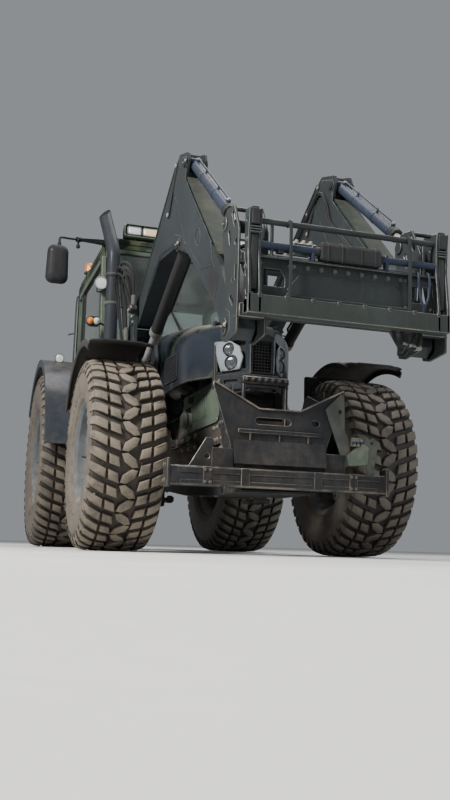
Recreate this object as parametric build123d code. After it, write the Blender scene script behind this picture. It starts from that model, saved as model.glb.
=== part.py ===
from build123d import *
from math import cos, sin, radians, atan2, degrees, hypot
import os

os.makedirs("parts", exist_ok=True)

# ---------------------------------------------------------------- sizes (mm)
# Modelled with the rear axle at x = 0 and the floor at z = 0, +X forward, +Y to the
# machine's left, +Z up.  Every node is shifted by SHIFT_X on export, which puts the
# origin under the middle of the bounding box.
SHIFT_X = -1905.5
WHEELBASE = 2995.0

F_R, F_W, F_RIM, F_TRACK = 705.0, 540.0, 372.0, 965.0      # front tyre radius, width, rim, half track
R_R, R_W, R_RIM, R_TRACK = 905.0, 650.0, 500.0, 950.0      # rear tyre radius, width, rim, half track
FIT = 0.05                                                 # radial running fit
KING_Y = 640.0                                             # kingpin half spacing
SPINDLE_R, HALF_SHAFT_R = 60.0, 70.0

HOOD_W = 440.0                                             # hood half width
HOOD_HINGE = (1660.0, 1910.0)
CAB_W = 800.0                                              # cab half width
CAB_FRONT, CAB_REAR = 1500.0, -620.0
FLOOR_Z, ROOF_Z0, ROOF_Z1 = 1230.0, 2880.0, 3000.0
DOOR_HINGE = (-10.0, 830.0)
DOOR_IN, DOOR_OUT = 806.0, 846.0

ARM_IN, ARM_OUT, ARM_Y = 505.0, 645.0, 575.0               # loader arm inner, outer, middle
BOOM_PIVOT = (2080.0, 2000.0)
CARRIER_PIVOT = (4780.0, 1310.0)
BOOM_CYL_TOP = (3500.0, 2215.0)
BOOM_CYL_LOW = (2150.0, 1580.0)
TILT_CYL_TOP = (3640.0, 2790.0)
TILT_CYL_LOW = (4740.0, 1945.0)
CROSS_TUBE = (4300.0, 1880.0)

FENDER_F_R, FENDER_R_R = 850.0, 1045.0                     # outer radii of the fender arcs
LINK_PIVOT, LINK_LIFT, LINK_END = (-280.0, 560.0), (-780.0, 575.0), (-1230.0, 590.0)
ARM_ROCK, ARM_TIP = (-330.0, 1080.0), (-760.0, 1040.0)
TOP_PIVOT, TOP_END = (-430.0, 960.0), (-1130.0, 1010.0)


# ---------------------------------------------------------------- helpers
def box(x0, x1, y0, y1, z0, z1):
    return Pos((x0 + x1) / 2, (y0 + y1) / 2, (z0 + z1) / 2) * Box(abs(x1 - x0), abs(y1 - y0), abs(z1 - z0))


def rbox(x0, x1, y0, y1, z0, z1, r):
    b = box(x0, x1, y0, y1, z0, z1)
    return fillet(b.edges(), r)


def rod(p0, p1, r):
    a, b = Vector(*p0), Vector(*p1)
    d = b - a
    return Solid.make_cylinder(r, d.length, Plane(origin=a, z_dir=d))


def ycyl(x, z, y0, y1, r):
    return rod((x, min(y0, y1), z), (x, max(y0, y1), z), r)


def zcyl(x, y, z0, z1, r):
    return rod((x, y, z0), (x, y, z1), r)


def outline(pts, plane, r=0.0):
    # closed outline of straight runs, each corner rounded with radius r when r > 0
    put = {"xz": lambda a, b: (a, 0, b), "xy": lambda a, b: (a, b, 0), "yz": lambda a, b: (0, a, b)}[plane]
    p = [put(*q) for q in pts]
    if r > 0:
        return Face(Wire(FilletPolyline(*p, radius=r, close=True).edges()))
    return Face(Wire.make_polygon([Vector(*q) for q in p], close=True))


def prism_xz(pts, y0, y1, r=0.0):
    f = outline(pts, "xz", r).moved(Location((0, y0, 0)))
    return Solid.extrude(f, Vector(0, y1 - y0, 0))


def prism_xy(pts, z0, z1, r=0.0):
    f = outline(pts, "xy", r).moved(Location((0, 0, z0)))
    return Solid.extrude(f, Vector(0, 0, z1 - z0))


def prism_yz(pts, x0, x1, r=0.0):
    f = outline(pts, "yz", r).moved(Location((x0, 0, 0)))
    return Solid.extrude(f, Vector(x1 - x0, 0, 0))


def spin(pts, x, z, y_mid):
    # turns an outline of (y offset, radius) pairs about the wheel's own axis
    f = Face(Wire.make_polygon([Vector(x, y_mid + y, z + r) for y, r in pts], close=True))
    return Solid.revolve(f, 360, Axis((x, 0, z), (0, 1, 0)))


def arc_band(x, z, r_out, r_in, a0, a1, y0, y1):
    # a curved plate: part of a ring about (x, z) from angle a0 to a1, seen from the side
    def pt(r, a):
        return Vector(x + r * cos(radians(a)), y0, z + r * sin(radians(a)))
    am = (a0 + a1) / 2
    e = [ThreePointArc(pt(r_out, a0), pt(r_out, am), pt(r_out, a1)), Line(pt(r_out, a1), pt(r_in, a1)),
         ThreePointArc(pt(r_in, a1), pt(r_in, am), pt(r_in, a0)), Line(pt(r_in, a0), pt(r_out, a0))]
    return Solid.extrude(Face(Wire([k.edge() for k in e])), Vector(0, y1 - y0, 0))


def mirrored(s):
    return s.mirror(Plane.XZ)


def both(s):
    return [s, mirrored(s)]


def fuse(*items):
    flat = []
    for i in items:
        flat += i if isinstance(i, list) else [i]
    out = flat[0]
    return out.fuse(*flat[1:]) if len(flat) > 1 else out


def common(a, b):
    out = a.intersect(b)
    return max(out.solids(), key=lambda k: k.volume) if hasattr(out, "solids") else out


def cut(base, *tools):
    flat = []
    for i in tools:
        flat += i if isinstance(i, list) else [i]
    return base.cut(*flat)


def save(name, *items):
    flat = []
    for i in items:
        flat += i if isinstance(i, list) else [i]
    solids = []
    for s in flat:
        solids += list(s.solids())
    solids = [s.moved(Location((SHIFT_X, 0, 0))) for s in solids]
    shape = solids[0] if len(solids) == 1 else Compound(solids)
    shape.label = name
    export_step(shape, "parts/" + name + ".step")
    return shape


def along(p0, p1, d):
    # the point at distance d from p0 towards p1, both (x, z)
    length = hypot(p1[0] - p0[0], p1[1] - p0[1])
    return (p0[0] + (p1[0] - p0[0]) * d / length, p0[1] + (p1[1] - p0[1]) * d / length)


# ---------------------------------------------------------------- wheels
def tyre(x, z, y_mid, r, w, rim):
    h = w / 2
    side = [(h * 0.80, rim), (h * 0.93, rim + 30), (h, rim + (r - rim) * 0.45), (h, r - 95),
            (h * 0.93, r - 28), (h * 0.80, r - 6), (h * 0.55, r)]
    pts = [(-a, b) for a, b in side] + side[::-1]
    return spin(pts, x, z, y_mid)


def rim(x, z, side, y_mid, w, rim_r, bore_r, disc_y, bolt_r):
    # barrel and disc turned as one; the disc is dished, side is +1 left, -1 right
    h = w * 0.40
    outer = [(-h, rim_r - 0.0), (-h, rim_r - 40), (-h * 0.55, rim_r - 62), (disc_y - 26, rim_r - 70),
             (disc_y - 60, bolt_r + 60), (disc_y - 60, bore_r), (disc_y - 20, bore_r), (disc_y - 20, bolt_r + 40),
             (disc_y + 10, rim_r - 70), (h * 0.72, rim_r - 52), (h, rim_r - 34), (h, rim_r)]
    pts = [(side * a, b) for a, b in outer]
    body = spin(pts, x, z, y_mid)
    return body


def hub_cap(x, z, y0, y1, r):
    return ycyl(x, z, y0, y1, r)


for side, tag in ((1, "left"), (-1, "right")):
    ym = side * F_TRACK
    save("front_tyre_" + tag, tyre(WHEELBASE, F_R, ym, F_R, F_W, F_RIM))
    fr = rim(WHEELBASE, F_R, side, ym, F_W, F_RIM, SPINDLE_R + FIT, 40, 170)
    fr_cap = ycyl(WHEELBASE, F_R, ym + side * 20, ym + side * 60, 150)
    fr_cap = cut(fr_cap, ycyl(WHEELBASE, F_R, ym + side * 10, ym + side * 34, SPINDLE_R + FIT))
    save("front_rim_" + tag, fuse(fr, fr_cap))
    ym = side * R_TRACK
    save("rear_tyre_" + tag, tyre(0, R_R, ym, R_R, R_W, R_RIM))
    rr = rim(0, R_R, side, ym, R_W, R_RIM, HALF_SHAFT_R + FIT, 30, 210)
    rr_cap = ycyl(0, R_R, ym + side * 10, ym + side * 60, 150)
    rr_cap = cut(rr_cap, ycyl(0, R_R, ym, ym + side * 30, HALF_SHAFT_R + FIT))
    save("rear_rim_" + tag, fuse(rr, rr_cap))

# ---------------------------------------------------------------- chassis
engine = box(1650, 2790, -195, 195, 720, 1480)
save("engine_block", engine)

housing = fuse(box(-350, 1650, -230, 230, 640, 1150),
               both(ycyl(0, R_R, 225, 600, 150)), both(ycyl(0, R_R, 598, 640, 120)),
               both(ycyl(0, R_R, 600, R_TRACK + 8, HALF_SHAFT_R)),
               ycyl(ARM_ROCK[0], ARM_ROCK[1], -340, 340, 25), box(-365, -300, -200, 200, 1030, 1130))
save("rear_axle_housing", housing)

# front frame: two rails, nose casting, cradle for the axle pivot, engine side panels
frame = fuse(both(box(1650, 3520, 195, 245, 800, 960)), box(3380, 3560, -245, 245, 640, 960),
             box(2820, 2905, -245, 245, 740, 960), box(3085, 3170, -245, 245, 740, 960),
             both(box(3520, 3925, 120, 200, 560, 760)), box(3380, 3540, -245, 245, 560, 660))
frame = cut(frame, rod((2700, 0, 705), (3300, 0, 705), 50))
save("front_frame", frame)
save("engine_side_panels", both(box(2300, 3350, 247, 259, 960, 1290)))

axle = fuse(box(2912, 3078, -580, 580, 620, 790), rod((2812, 0, 705), (3178, 0, 705), 49.95),
            both(box(2915, 3075, 540, 582, 500, 910)), both(box(2935, 3055, 560, 700, 862, 905)),
            both(box(2935, 3055, 560, 700, 505, 548)), both(zcyl(WHEELBASE, KING_Y, 800, 864, 25)),
            both(zcyl(WHEELBASE, KING_Y, 546, 610, 25)), ycyl(2840, 660, -300, 300, 38),
            both(box(2835, 2915, 200, 240, 630, 690)))
save("front_axle", axle)

for side, tag in ((1, "left"), (-1, "right")):
    kn = fuse(zcyl(WHEELBASE, KING_Y, 556, 854, 48), box(2940, 3050, 640, 705, 600, 810),
              ycyl(WHEELBASE, F_R, 690, 800, 118), ycyl(WHEELBASE, F_R, 800, F_TRACK + 20, SPINDLE_R),
              box(2800, 2945, 650, 688, 680, 730), box(2800, 2840, 640, 688, 680, 1462),
              box(2800, 2840, 640, 1180, 1424, 1462))
    kn = cut(kn, zcyl(WHEELBASE, KING_Y, 780, 870, 25 + FIT), zcyl(WHEELBASE, KING_Y, 540, 630, 25 + FIT))
    # arc of the fender over the tyre, lip turned up at the front, small outer valance
    fen = fuse(arc_band(WHEELBASE, F_R, FENDER_F_R, FENDER_F_R - 22, 64, 122, 760, 1240),
               arc_band(WHEELBASE, F_R, FENDER_F_R + 26, FENDER_F_R - 22, 64, 68, 760, 1240),
               arc_band(WHEELBASE, F_R, FENDER_F_R, FENDER_F_R - 22, 121, 150, 830, 1240),
               arc_band(WHEELBASE, F_R, FENDER_F_R - 10, FENDER_F_R - 62, 66, 150, 1228, 1240))
    post = cut(box(2790, 2850, 700, 1100, 1458, 1530), arc_band(WHEELBASE, F_R, 3000, FENDER_F_R - 24, 60, 130, 600, 1300))
    kn = fuse(kn, post)
    kn = kn if side > 0 else mirrored(kn)
    fen = fen if side > 0 else mirrored(fen)
    save("knuckle_" + tag, kn)
    save("front_fender_" + tag, fen)

guard_skin = [(1560, 560), (1640, 545), (2500, 455), (3350, 420), (3905, 420), (3905, 434), (3352, 434), (2502, 470),
              (1642, 560), (1560, 575)]
belly = cut(prism_xz(guard_skin[:5] + [(3905, 515), (3350, 560), (1700, 660), (1560, 660)], -262, 262),
            prism_xz([(1500, 586), (1642, 560), (2502, 470), (3352, 434), (3950, 434), (3950, 800), (1500, 800)], -250, 250))
save("belly_guard", belly)

tank = rbox(1075, 1780, 262, 640, 560, 1150, 40)
box_r = rbox(1075, 1700, -600, -262, 600, 1120, 30)
save("side_tanks", fuse(tank, box(1140, 1200, 230, 270, 900, 1000), box(1500, 1560, 230, 270, 900, 1000)),
     fuse(box_r, box(1140, 1200, -270, -230, 900, 1000), box(1500, 1560, -270, -230, 900, 1000)))
step = fuse(box(1120, 1132, 700, 860, 470, 1230), box(1440, 1452, 700, 860, 470, 1230),
            [box(1120, 1452, 690 + 20 * k, 860, 480 + 250 * k, 502 + 250 * k) for k in range(3)],
            box(1120, 1452, 700, 800, 1208, 1230))
step_hang = [box(1180, 1220, 640, 705, 740, 780), box(1380, 1420, 640, 705, 740, 780)]
save("cab_steps", fuse(step, step_hang), fuse(mirrored(step), [box(1180, 1220, -705, -600, 740, 780),
                                                               box(1380, 1420, -705, -600, 740, 780)]))

# ---------------------------------------------------------------- cab
a_pillar = prism_xz([(1420, 1230), (1500, 1230), (1500, 1500), (1265, 2885), (1185, 2885), (1420, 1500)], 738, CAB_W)
b_pillar = box(-60, 0, 745, CAB_W, 1960, 2885)
c_pillar = box(CAB_REAR, CAB_REAR + 70, 700, CAB_W, 1800, 2885)
quarter = prism_xz([(-560, 1990), (0, 1990), (470, 1985), (690, 1862), (840, 1742), (975, 1592), (1075, 1442),
                    (1128, 1292), (1128, 1230), (1002, 1230), (985, 1300), (905, 1450), (795, 1600), (625, 1755),
                    (455, 1862), (262, 1935), (0, 1962), (-560, 1962)], 742, CAB_W)
sill = box(1120, 1500, 742, CAB_W, 1230, 1282)
cab = fuse(box(CAB_REAR, 1480, -582, 582, FLOOR_Z, FLOOR_Z + 26), both(box(1002, 1480, 570, 745, FLOOR_Z, FLOOR_Z + 26)),
           both(a_pillar), both(b_pillar), both(c_pillar), both(quarter), both(sill),
           both(box(CAB_REAR, 1210, 742, CAB_W, 2815, 2885)), box(1185, 1262, -745, 745, 2835, 2885),
           box(CAB_REAR, CAB_REAR + 60, -745, 745, 2815, 2885), box(CAB_REAR, CAB_REAR + 40, -745, 745, 1990, 2050),
           box(CAB_REAR, CAB_REAR + 40, -582, 582, 1230, 1995), box(1460, 1500, -745, 745, 1230, 1800),
           box(-250, 900, -230, 230, 1150, 1232), box(1300, 1460, -230, 230, 1150, 1232),
           both(box(CAB_REAR, CAB_REAR + 40, 570, 745, 1800, 1995)))
bracket = fuse(*[fuse(box(-40, 2, 796, 842, z, z + 12), zcyl(DOOR_HINGE[0], DOOR_HINGE[1], z + 10, z + 54, 10))
                 for z in (2110, 2680)])
# wall between hood and cab, with the hood's hinge ears and pins
bulk = fuse(box(1498, 1585, -300, 300, 1300, 1840), *[fuse(box(HOOD_HINGE[0] - 20, HOOD_HINGE[0] + 20, y + a, y + b, 1800, HOOD_HINGE[1]),
                   ycyl(HOOD_HINGE[0], HOOD_HINGE[1], y + a, y + b, 24)) for y in (-220, 220) for a, b in ((-30, -18), (18, 30))],
            *[box(1560, HOOD_HINGE[0] + 20, y - 30, y + 30, 1790, 1845) for y in (-220, 220)],
            *[ycyl(HOOD_HINGE[0], HOOD_HINGE[1], y - 26, y + 26, 12) for y in (-220, 220)])
cab = fuse(cab, both(bracket), bulk)
save("cab_frame", cab)

roof_out = rbox(-690, 1275, -805, 805, 2885, ROOF_Z1 + 15, 50)
roof_in = box(-610, 1180, -730, 730, 2870, ROOF_Z0 + 75)
roof = cut(roof_out, roof_in)
save("cab_roof", roof)

# glass: front pane leans with the pillar, the rear pane and quarter panes are upright
def pane_front(y0, y1, t):
    return prism_xz([(1478, 1802), (1486, 1802), (1246 + 30, 2833), (1238 + 30, 2833)], y0, y1)


save("windshield", pane_front(-736, 736, 8))
quarter_glass = box(CAB_REAR + 72, -62, 766, 774, 1992, 2813)
save("rear_windows", box(CAB_REAR + 14, CAB_REAR + 22, -698, 698, 2052, 2813), both(quarter_glass))

# rear fenders: inner wall between cab floor and arc, green arc, black outer extension
fen_arc = arc_band(0, R_R, FENDER_R_R, FENDER_R_R - 25, 8, 148, 582, 930)
inner_wall = cut(arc_band(0, R_R, FENDER_R_R - 5, 300, 20, 148, 582, 602), box(-1200, 1200, 500, 700, 600, FLOOR_Z + 0.0))
fenders = fuse(fen_arc, inner_wall)
fenders = cut(fenders, box(-30, 30, 560, 700, 600, 1100))
save("rear_fenders", both(fenders))
ext = fuse(arc_band(0, R_R, FENDER_R_R + 6, FENDER_R_R - 25, 4, 146, 931, 1268),
           arc_band(0, R_R, FENDER_R_R + 6, FENDER_R_R - 70, 4, 146, 1250, 1268),
           arc_band(0, R_R, FENDER_R_R - 26, FENDER_R_R - 40, 8, 146, 880, 940))
save("fender_extensions", both(ext))

# doors: one frame as thick as the whole door, window cut, pane set in the middle
door_pts = [(12, 2002), (462, 2002), (575, 1965), (692, 1885), (838, 1762), (972, 1612), (1072, 1452), (1124, 1290),
            (1492, 1290), (1492, 1490), (1268, 2800), (12, 2800)]
win_pts = [(82, 2070), (490, 2070), (610, 2025), (735, 1940), (885, 1812), (1030, 1650), (1135, 1480), (1178, 1370),
           (1425, 1370), (1425, 1480), (1208, 2735), (82, 2735)]
glass_pts = win_pts
for side, tag in ((1, "left"), (-1, "right")):
    d = cut(prism_xz(door_pts, DOOR_IN, DOOR_OUT, 12), prism_xz(win_pts, DOOR_IN - 5, DOOR_OUT + 5, 20))
    ears = []
    for z in (2110, 2680):
        ear = fuse(zcyl(DOOR_HINGE[0], DOOR_HINGE[1], z + 17, z + 50, 18), box(-8, 40, 812, 842, z + 17, z + 50))
        ears.append(ear)
    d = fuse(d, *ears)
    d = cut(d, *[zcyl(DOOR_HINGE[0], DOOR_HINGE[1], z + 8, z + 60, 10 + FIT) for z in (2110, 2680)])
    handle = fuse(box(1395, 1425, DOOR_OUT - 4, 876, 1400, 1420), box(1395, 1425, DOOR_OUT - 4, 876, 1310, 1330),
                  box(1395, 1425, 866, 880, 1310, 1420))
    d = fuse(d, handle)
    g = prism_xz([(x, z) for x, z in glass_pts], 822, 829, 20)
    save("door_" + tag, d if side > 0 else mirrored(d))
    save("door_glass_" + tag, g if side > 0 else mirrored(g))

mirror = fuse(box(1170, 1225, 805, 835, 2930, 2970), rod((1198, 820, 2950), (1530, 1290, 2830), 16),
              rod((1530, 1290, 2840), (1530, 1290, 2420), 14), rbox(1500, 1585, 1200, 1400, 2400, 2760, 30))
save("mirrors", both(mirror))

def pipe(pts, r, radii):
    w = Wire(FilletPolyline(*pts, radius=radii).edges())
    return Solid.sweep(Face(Wire.make_circle(r, Plane(origin=w @ 0, z_dir=w % 0))), w)


stack = fuse(zcyl(1650, -800, 1560, 2500, 56), zcyl(1650, -800, 1480, 1562, 50),
             pipe([(1650, -800, 2490), (1650, -800, 2700), (1400, -800, 3190)], 62, [200]),
             box(1500, 1650, -790, -742, 1700, 1740), box(1455, 1650, -790, -742, 1500, 1540),
             rod((1650, -800, 1500), (1650, -500, 1460), 45))
save("exhaust_stack", cut(stack, cab))

# ---------------------------------------------------------------- hood, one shell, open below and behind
def hood_solid(g):
    side_view = prism_xz([(1622 + g, 1150 + g), (1622 + g, 1965 - g), (3150, 1745 - g), (3420, 1690 - g), (3525 - g, 1630 - g),
                          (3562 - g, 1562 - g * 0.3), (3562 - g, 1168 + g), (3330, 1150 + g)], -HOOD_W - 10, HOOD_W + 10)
    w = HOOD_W - g
    plan = prism_xy([(1610, -w), (2950, -w), (3120, -w + 45), (3262, -w + 165), (3562 - g, -95 + g * 0.5),
                     (3562 - g, 95 - g * 0.5), (3262, w - 165), (3120, w - 45), (2950, w), (1610, w)], 900, 2100)
    front = prism_yz([(-w, 900), (w, 900), (w, 1640 - g * 0.4), (w - 140, 1980 - g), (-w + 140, 1980 - g),
                      (-w, 1640 - g * 0.4)], 1600, 3600)
    return common(common(side_view, plan), front)


hood = cut(hood_solid(0), hood_solid(22))
hood = cut(hood, box(1500, 1645, -418, 418, 1000, 1941), box(1500, 3330, -600, 600, 1000, 1300), box(1650, 3538, -300, 300, 1000, 1200),
           box(3535, 3600, -85, 85, 1299, 1553))
# nose below the side line is narrow, so the steered wheels pass
hood = cut(hood, *both(prism_xy([(2900, 345), (3340, 345), (3480, 262), (3600, 262), (3600, 700), (2900, 700)], 1000, 1300)))
hinge_ears = [box(1642, 1700, y - 12, y + 12, 1882, 1946) for y in (-220, 220)]
hood = fuse(hood, hinge_ears)
hood = cut(hood, ycyl(HOOD_HINGE[0], HOOD_HINGE[1], -300, 300, 12 + FIT))
lamp_zone = [box(3250, 3600, 100, 320, 1335, 1575), box(3250, 3600, -320, -100, 1335, 1575)]
lamp_shell = [cut(common(hood_solid(0), z), hood_solid(34)) for z in lamp_zone]
hood = cut(hood, lamp_zone)
hood = max(hood.solids(), key=lambda k: k.volume)
save("hood", hood)
grille = cut(box(3538, 3556, -84, 84, 1300, 1552), [box(3530, 3560, -70, 70, 1320 + 36 * k, 1340 + 36 * k) for k in range(6)])
save("grille", grille)
save("headlights", lamp_shell)

# ---------------------------------------------------------------- inside the cab
seat = fuse(rbox(150, 620, -250, 250, 1450, 1590, 40), rbox(60, 190, -240, 240, 1560, 2180, 40),
            box(230, 560, -180, 180, 1256, 1455), rbox(200, 520, 265, 345, 1690, 1750, 20), rbox(200, 520, -345, -265, 1690, 1750, 20),
            box(240, 300, -300, 300, 1560, 1600), box(230, 300, 262, 330, 1560, 1700), box(230, 300, -330, -262, 1560, 1700))
save("seat", seat)
console = fuse(box(1180, 1460, -170, 170, 1256, 1720), prism_xz([(1180, 1720), (1460, 1720), (1460, 1850), (1300, 1890), (1180, 1830)], -190, 190),
               rod((1200, 0, 1780), (1010, 0, 1960), 32))
save("steering_console", console)
wheel_pl = Plane(origin=(1000, 0, 1969), z_dir=(-190, 0, 180))
sw = fuse(Solid.make_torus(200, 14, wheel_pl), Solid.make_cylinder(45, 26, wheel_pl.offset(-12)))
spokes = [rod(tuple(wheel_pl.from_local_coords(Vector(30 * cos(radians(a)), 30 * sin(radians(a)), 0))),
              tuple(wheel_pl.from_local_coords(Vector(198 * cos(radians(a)), 198 * sin(radians(a)), 0))), 10) for a in (90, 210, 330)]
save("steering_wheel", fuse(sw, *spokes))

# ---------------------------------------------------------------- lamps and beacon (one node, solids apart)
roof_lamp = rbox(1130, 1300, 250, 640, ROOF_Z1 + 15, ROOF_Z1 + 130, 14)
rear_lamp = rbox(-690, -600, 420, 600, ROOF_Z1 + 15, ROOF_Z1 + 95, 10)
pillar_lamp = fuse(rod((1345, 866, 2480), (1415, 870, 2480), 60), box(1331, 1352, 780, 860, 2468, 2492))
pillar_lamp = cut(pillar_lamp, a_pillar)
marker = cut(fuse(rbox(1520, 1575, 880, 1000, 2030, 2120, 12), rod((1450, 790, 2075), (1545, 890, 2075), 10)), a_pillar)
beacon = fuse(zcyl(-600, -690, ROOF_Z1 + 15, 3170, 14), zcyl(-600, -690, 3165, 3180, 70), zcyl(-600, -690, 3180, 3290, 60))
fender_lamp = cut(rbox(290, 350, 1040, 1150, 1885, 1990, 12), arc_band(0, R_R, FENDER_R_R + 6.0, 500, 4, 146, 900, 1300))
save("work_lamps", both(roof_lamp), both(rear_lamp), [max(p.solids(), key=lambda s: s.volume) for p in both(pillar_lamp)],
     [max(p.solids(), key=lambda s: s.volume) for p in both(marker)], both(fender_lamp), beacon)

# ---------------------------------------------------------------- loader masts on the frame
def mast(side):
    inner = prism_xz([(1850, 1180), (2040, 1180), (2230, 1400), (2230, 1640), (2170, 1760), (2160, 2060), (2100, 2110),
                      (2010, 2100), (1960, 2020), (1860, 1700)], 470, 498, 15)
    outer = prism_xz([(1850, 1180), (2040, 1180), (2230, 1400), (2230, 1640), (2170, 1760), (2160, 2060), (2100, 2110),
                      (2010, 2100), (1960, 2020), (1860, 1700)], 652, 680, 15)
    web = prism_xz([(1850, 1180), (1885, 1180), (1892, 1700), (1960, 1860), (1945, 1940), (1860, 1700)], 497, 653)
    low = prism_xz([(1800, 900), (2040, 900), (2040, 1300), (2120, 1420), (1850, 1420), (1800, 1200)], 470, 680)
    foot = box(1800, 2040, 245, 680, 800, 960)
    pin = ycyl(BOOM_PIVOT[0], BOOM_PIVOT[1], 466, 684, 35)
    s = fuse(inner, outer, web, low, foot, pin)
    return s if side > 0 else mirrored(s)


save("loader_masts", [mast(1), mast(-1)])
valve = rbox(1905, 2040, -745, -684, 1500, 1720, 8)
hose_end = box(2075, 2215, -722, -681, 2040, 2090)
save("valve_block", fuse(valve, *[rod((1930 + 42 * k, -715, 1715), (1930 + 42 * k, -715, 1800), 13) for k in range(3)]), hose_end)


def hose(k):
    x = 1930 + 42 * k
    xe, z1, r = 2185 - 45 * k, 2440 - 60 * k, 100 - 32 * k
    pts = [(x, -715, 1802), (x - 45, -724, z1), (xe - 30, -706, z1 + 12), (xe, -701, 2093)]
    path = FilletPolyline(*pts, radius=[r, r])
    w = Wire(path.edges())
    e = w.edges()[0]
    return Solid.sweep(Face(Wire.make_circle(13, Plane(origin=w @ 0, z_dir=w % 0))), w)


save("loader_hoses", [hose(k) for k in range(3)])

# ---------------------------------------------------------------- loader boom
arm_pts = [(1985, 1935), (1992, 2075), (2045, 2108), (3375, 2905), (3450, 2935), (3690, 2855), (3722, 2790), (3672, 2700),
           (3640, 2655), (4560, 1765), (4852, 1385), (4858, 1290), (4790, 1236), (4712, 1272), (4520, 1480), (3800, 2055),
           (3690, 2105), (3390, 2225), (2900, 2275), (2440, 2065), (2150, 1915)]


def arm(side):
    a = prism_xz(arm_pts, ARM_IN, ARM_OUT, 12)
    slot_low = prism_xz([(3150, 1900), (3720, 1900), (3660, 2200), (3600, 2300), (3480, 2320), (3380, 2300), (3150, 2180)], 518, 632)
    slot_top = prism_xz([(3560, 2960), (3800, 2900), (3900, 2600), (3700, 2560), (3600, 2680), (3560, 2760)], 521, 629)
    a = cut(a, slot_low, slot_top, ycyl(BOOM_PIVOT[0], BOOM_PIVOT[1], 480, 670, 35 + FIT),
            ycyl(CARRIER_PIVOT[0], CARRIER_PIVOT[1], 480, 670, 32 + FIT))
    a = fuse(a, ycyl(BOOM_CYL_TOP[0], BOOM_CYL_TOP[1], 505, 645, 28), ycyl(TILT_CYL_TOP[0], TILT_CYL_TOP[1], 505, 645, 25))
    return a if side > 0 else mirrored(a)


boom = fuse(arm(1), arm(-1), ycyl(CROSS_TUBE[0], CROSS_TUBE[1], -510, 510, 70))
save("loader_boom", boom)


def barrel(top, low, length, r, bore, eye_r, pin_r, depth, side):
    # eye round the upper pin, tube open at its lower end
    a, b = (top[0], ARM_Y, top[1]), along(top, low, length)
    tube = rod((a[0], ARM_Y, a[2]), (b[0], ARM_Y, b[1]), r)
    start = along(top, low, length - depth)
    end = along(top, low, length + 50)
    s = fuse(ycyl(top[0], top[1], 533, 617, eye_r), tube)
    gland = along(top, low, length - 60)
    s = fuse(s, rod((gland[0], ARM_Y, gland[1]), (b[0], ARM_Y, b[1]), r + 6))
    s = cut(s, ycyl(top[0], top[1], 500, 650, pin_r + FIT), rod((start[0], ARM_Y, start[1]), (end[0], ARM_Y, end[1]), bore + FIT))
    return s if side > 0 else mirrored(s)


def piston(top, low, start, r, eye_r, pin_r, side, pin_half=66):
    a = along(top, low, start)
    s = fuse(rod((a[0], ARM_Y, a[1]), (low[0], ARM_Y, low[1]), r), ycyl(low[0], low[1], 545, 605, eye_r),
             ycyl(low[0], low[1], ARM_Y - pin_half, ARM_Y + pin_half, pin_r))
    return s if side > 0 else mirrored(s)


save("boom_cylinder_barrels", *[barrel(BOOM_CYL_TOP, BOOM_CYL_LOW, 1060, 48, 30, 58, 28, 950, s) for s in (1, -1)])
save("boom_cylinder_rods", *[piston(BOOM_CYL_TOP, BOOM_CYL_LOW, 560, 30, 48, 25, s) for s in (1, -1)])
save("tilt_cylinder_barrels", *[barrel(TILT_CYL_TOP, TILT_CYL_LOW, 1130, 40, 22, 44, 25, 1040, s) for s in (1, -1)])
save("tilt_cylinder_rods", *[piston(TILT_CYL_TOP, TILT_CYL_LOW, 440, 22, 40, 22, s) for s in (1, -1)])

# ---------------------------------------------------------------- tool carrier and the frame it holds
plate_pts = [(4716, 1236), (4800, 1216), (4990, 1232), (4998, 1500), (4998, 1830), (4900, 2010), (4760, 2030), (4690, 1990), (4676, 1900),
             (4790, 1500)]
side_plate = [prism_xz(plate_pts, 485, 498, 14), prism_xz(plate_pts, 652, 665, 14)]
carrier_half = fuse(*side_plate, ycyl(CARRIER_PIVOT[0], CARRIER_PIVOT[1], 482, 668, 32), box(4940, 4998, 485, 665, 1325, 1405),
                    box(4950, 4998, 485, 665, 1640, 1700))
carrier = fuse(carrier_half, mirrored(carrier_half), ycyl(4905, 1690, -490, 490, 50), box(4930, 4996, -490, 490, 1335, 1400))
save("tool_carrier", carrier)

ff_plate = cut(box(5004, 5018, -560, 560, 1435, 1676), box(5000, 5030, -520, -392, 1512, 1612), box(5000, 5030, 392, 520, 1512, 1612))
ends = [prism_xz([(5000, 1330), (5085, 1330), (5085, 1480), (5050, 1700), (5060, 1900), (5000, 1930)], y - 8, y + 8, 8) for y in (-622, -560, 560, 622)]
fork = fuse(ff_plate, *ends, box(5000, 5085, -632, 632, 1330, 1435), ycyl(5040, 1880, -640, 640, 30),
            box(5016, 5058, -560, 560, 1660, 1676), box(5010, 5078, -190, 190, 1676, 1792), ycyl(5043, 1740, -560, 560, 21),
            both(box(5030, 5048, 472, 488, 1670, 1870)), both(box(5062, 5076, 365, 387, 1440, 1890)), both(box(5036, 5076, 365, 387, 1866, 1894)),
            both(box(5018, 5076, 365, 387, 1440, 1470)), both(box(5006, 5084, 560, 622, 1470, 1940)),
            *[box(4998, 5010, s * 575 - 60, s * 575 + 60, z0, z0 + 60) for s in (1, -1) for z0 in (1335, 1640)])
save("fork_frame", fork)

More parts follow.
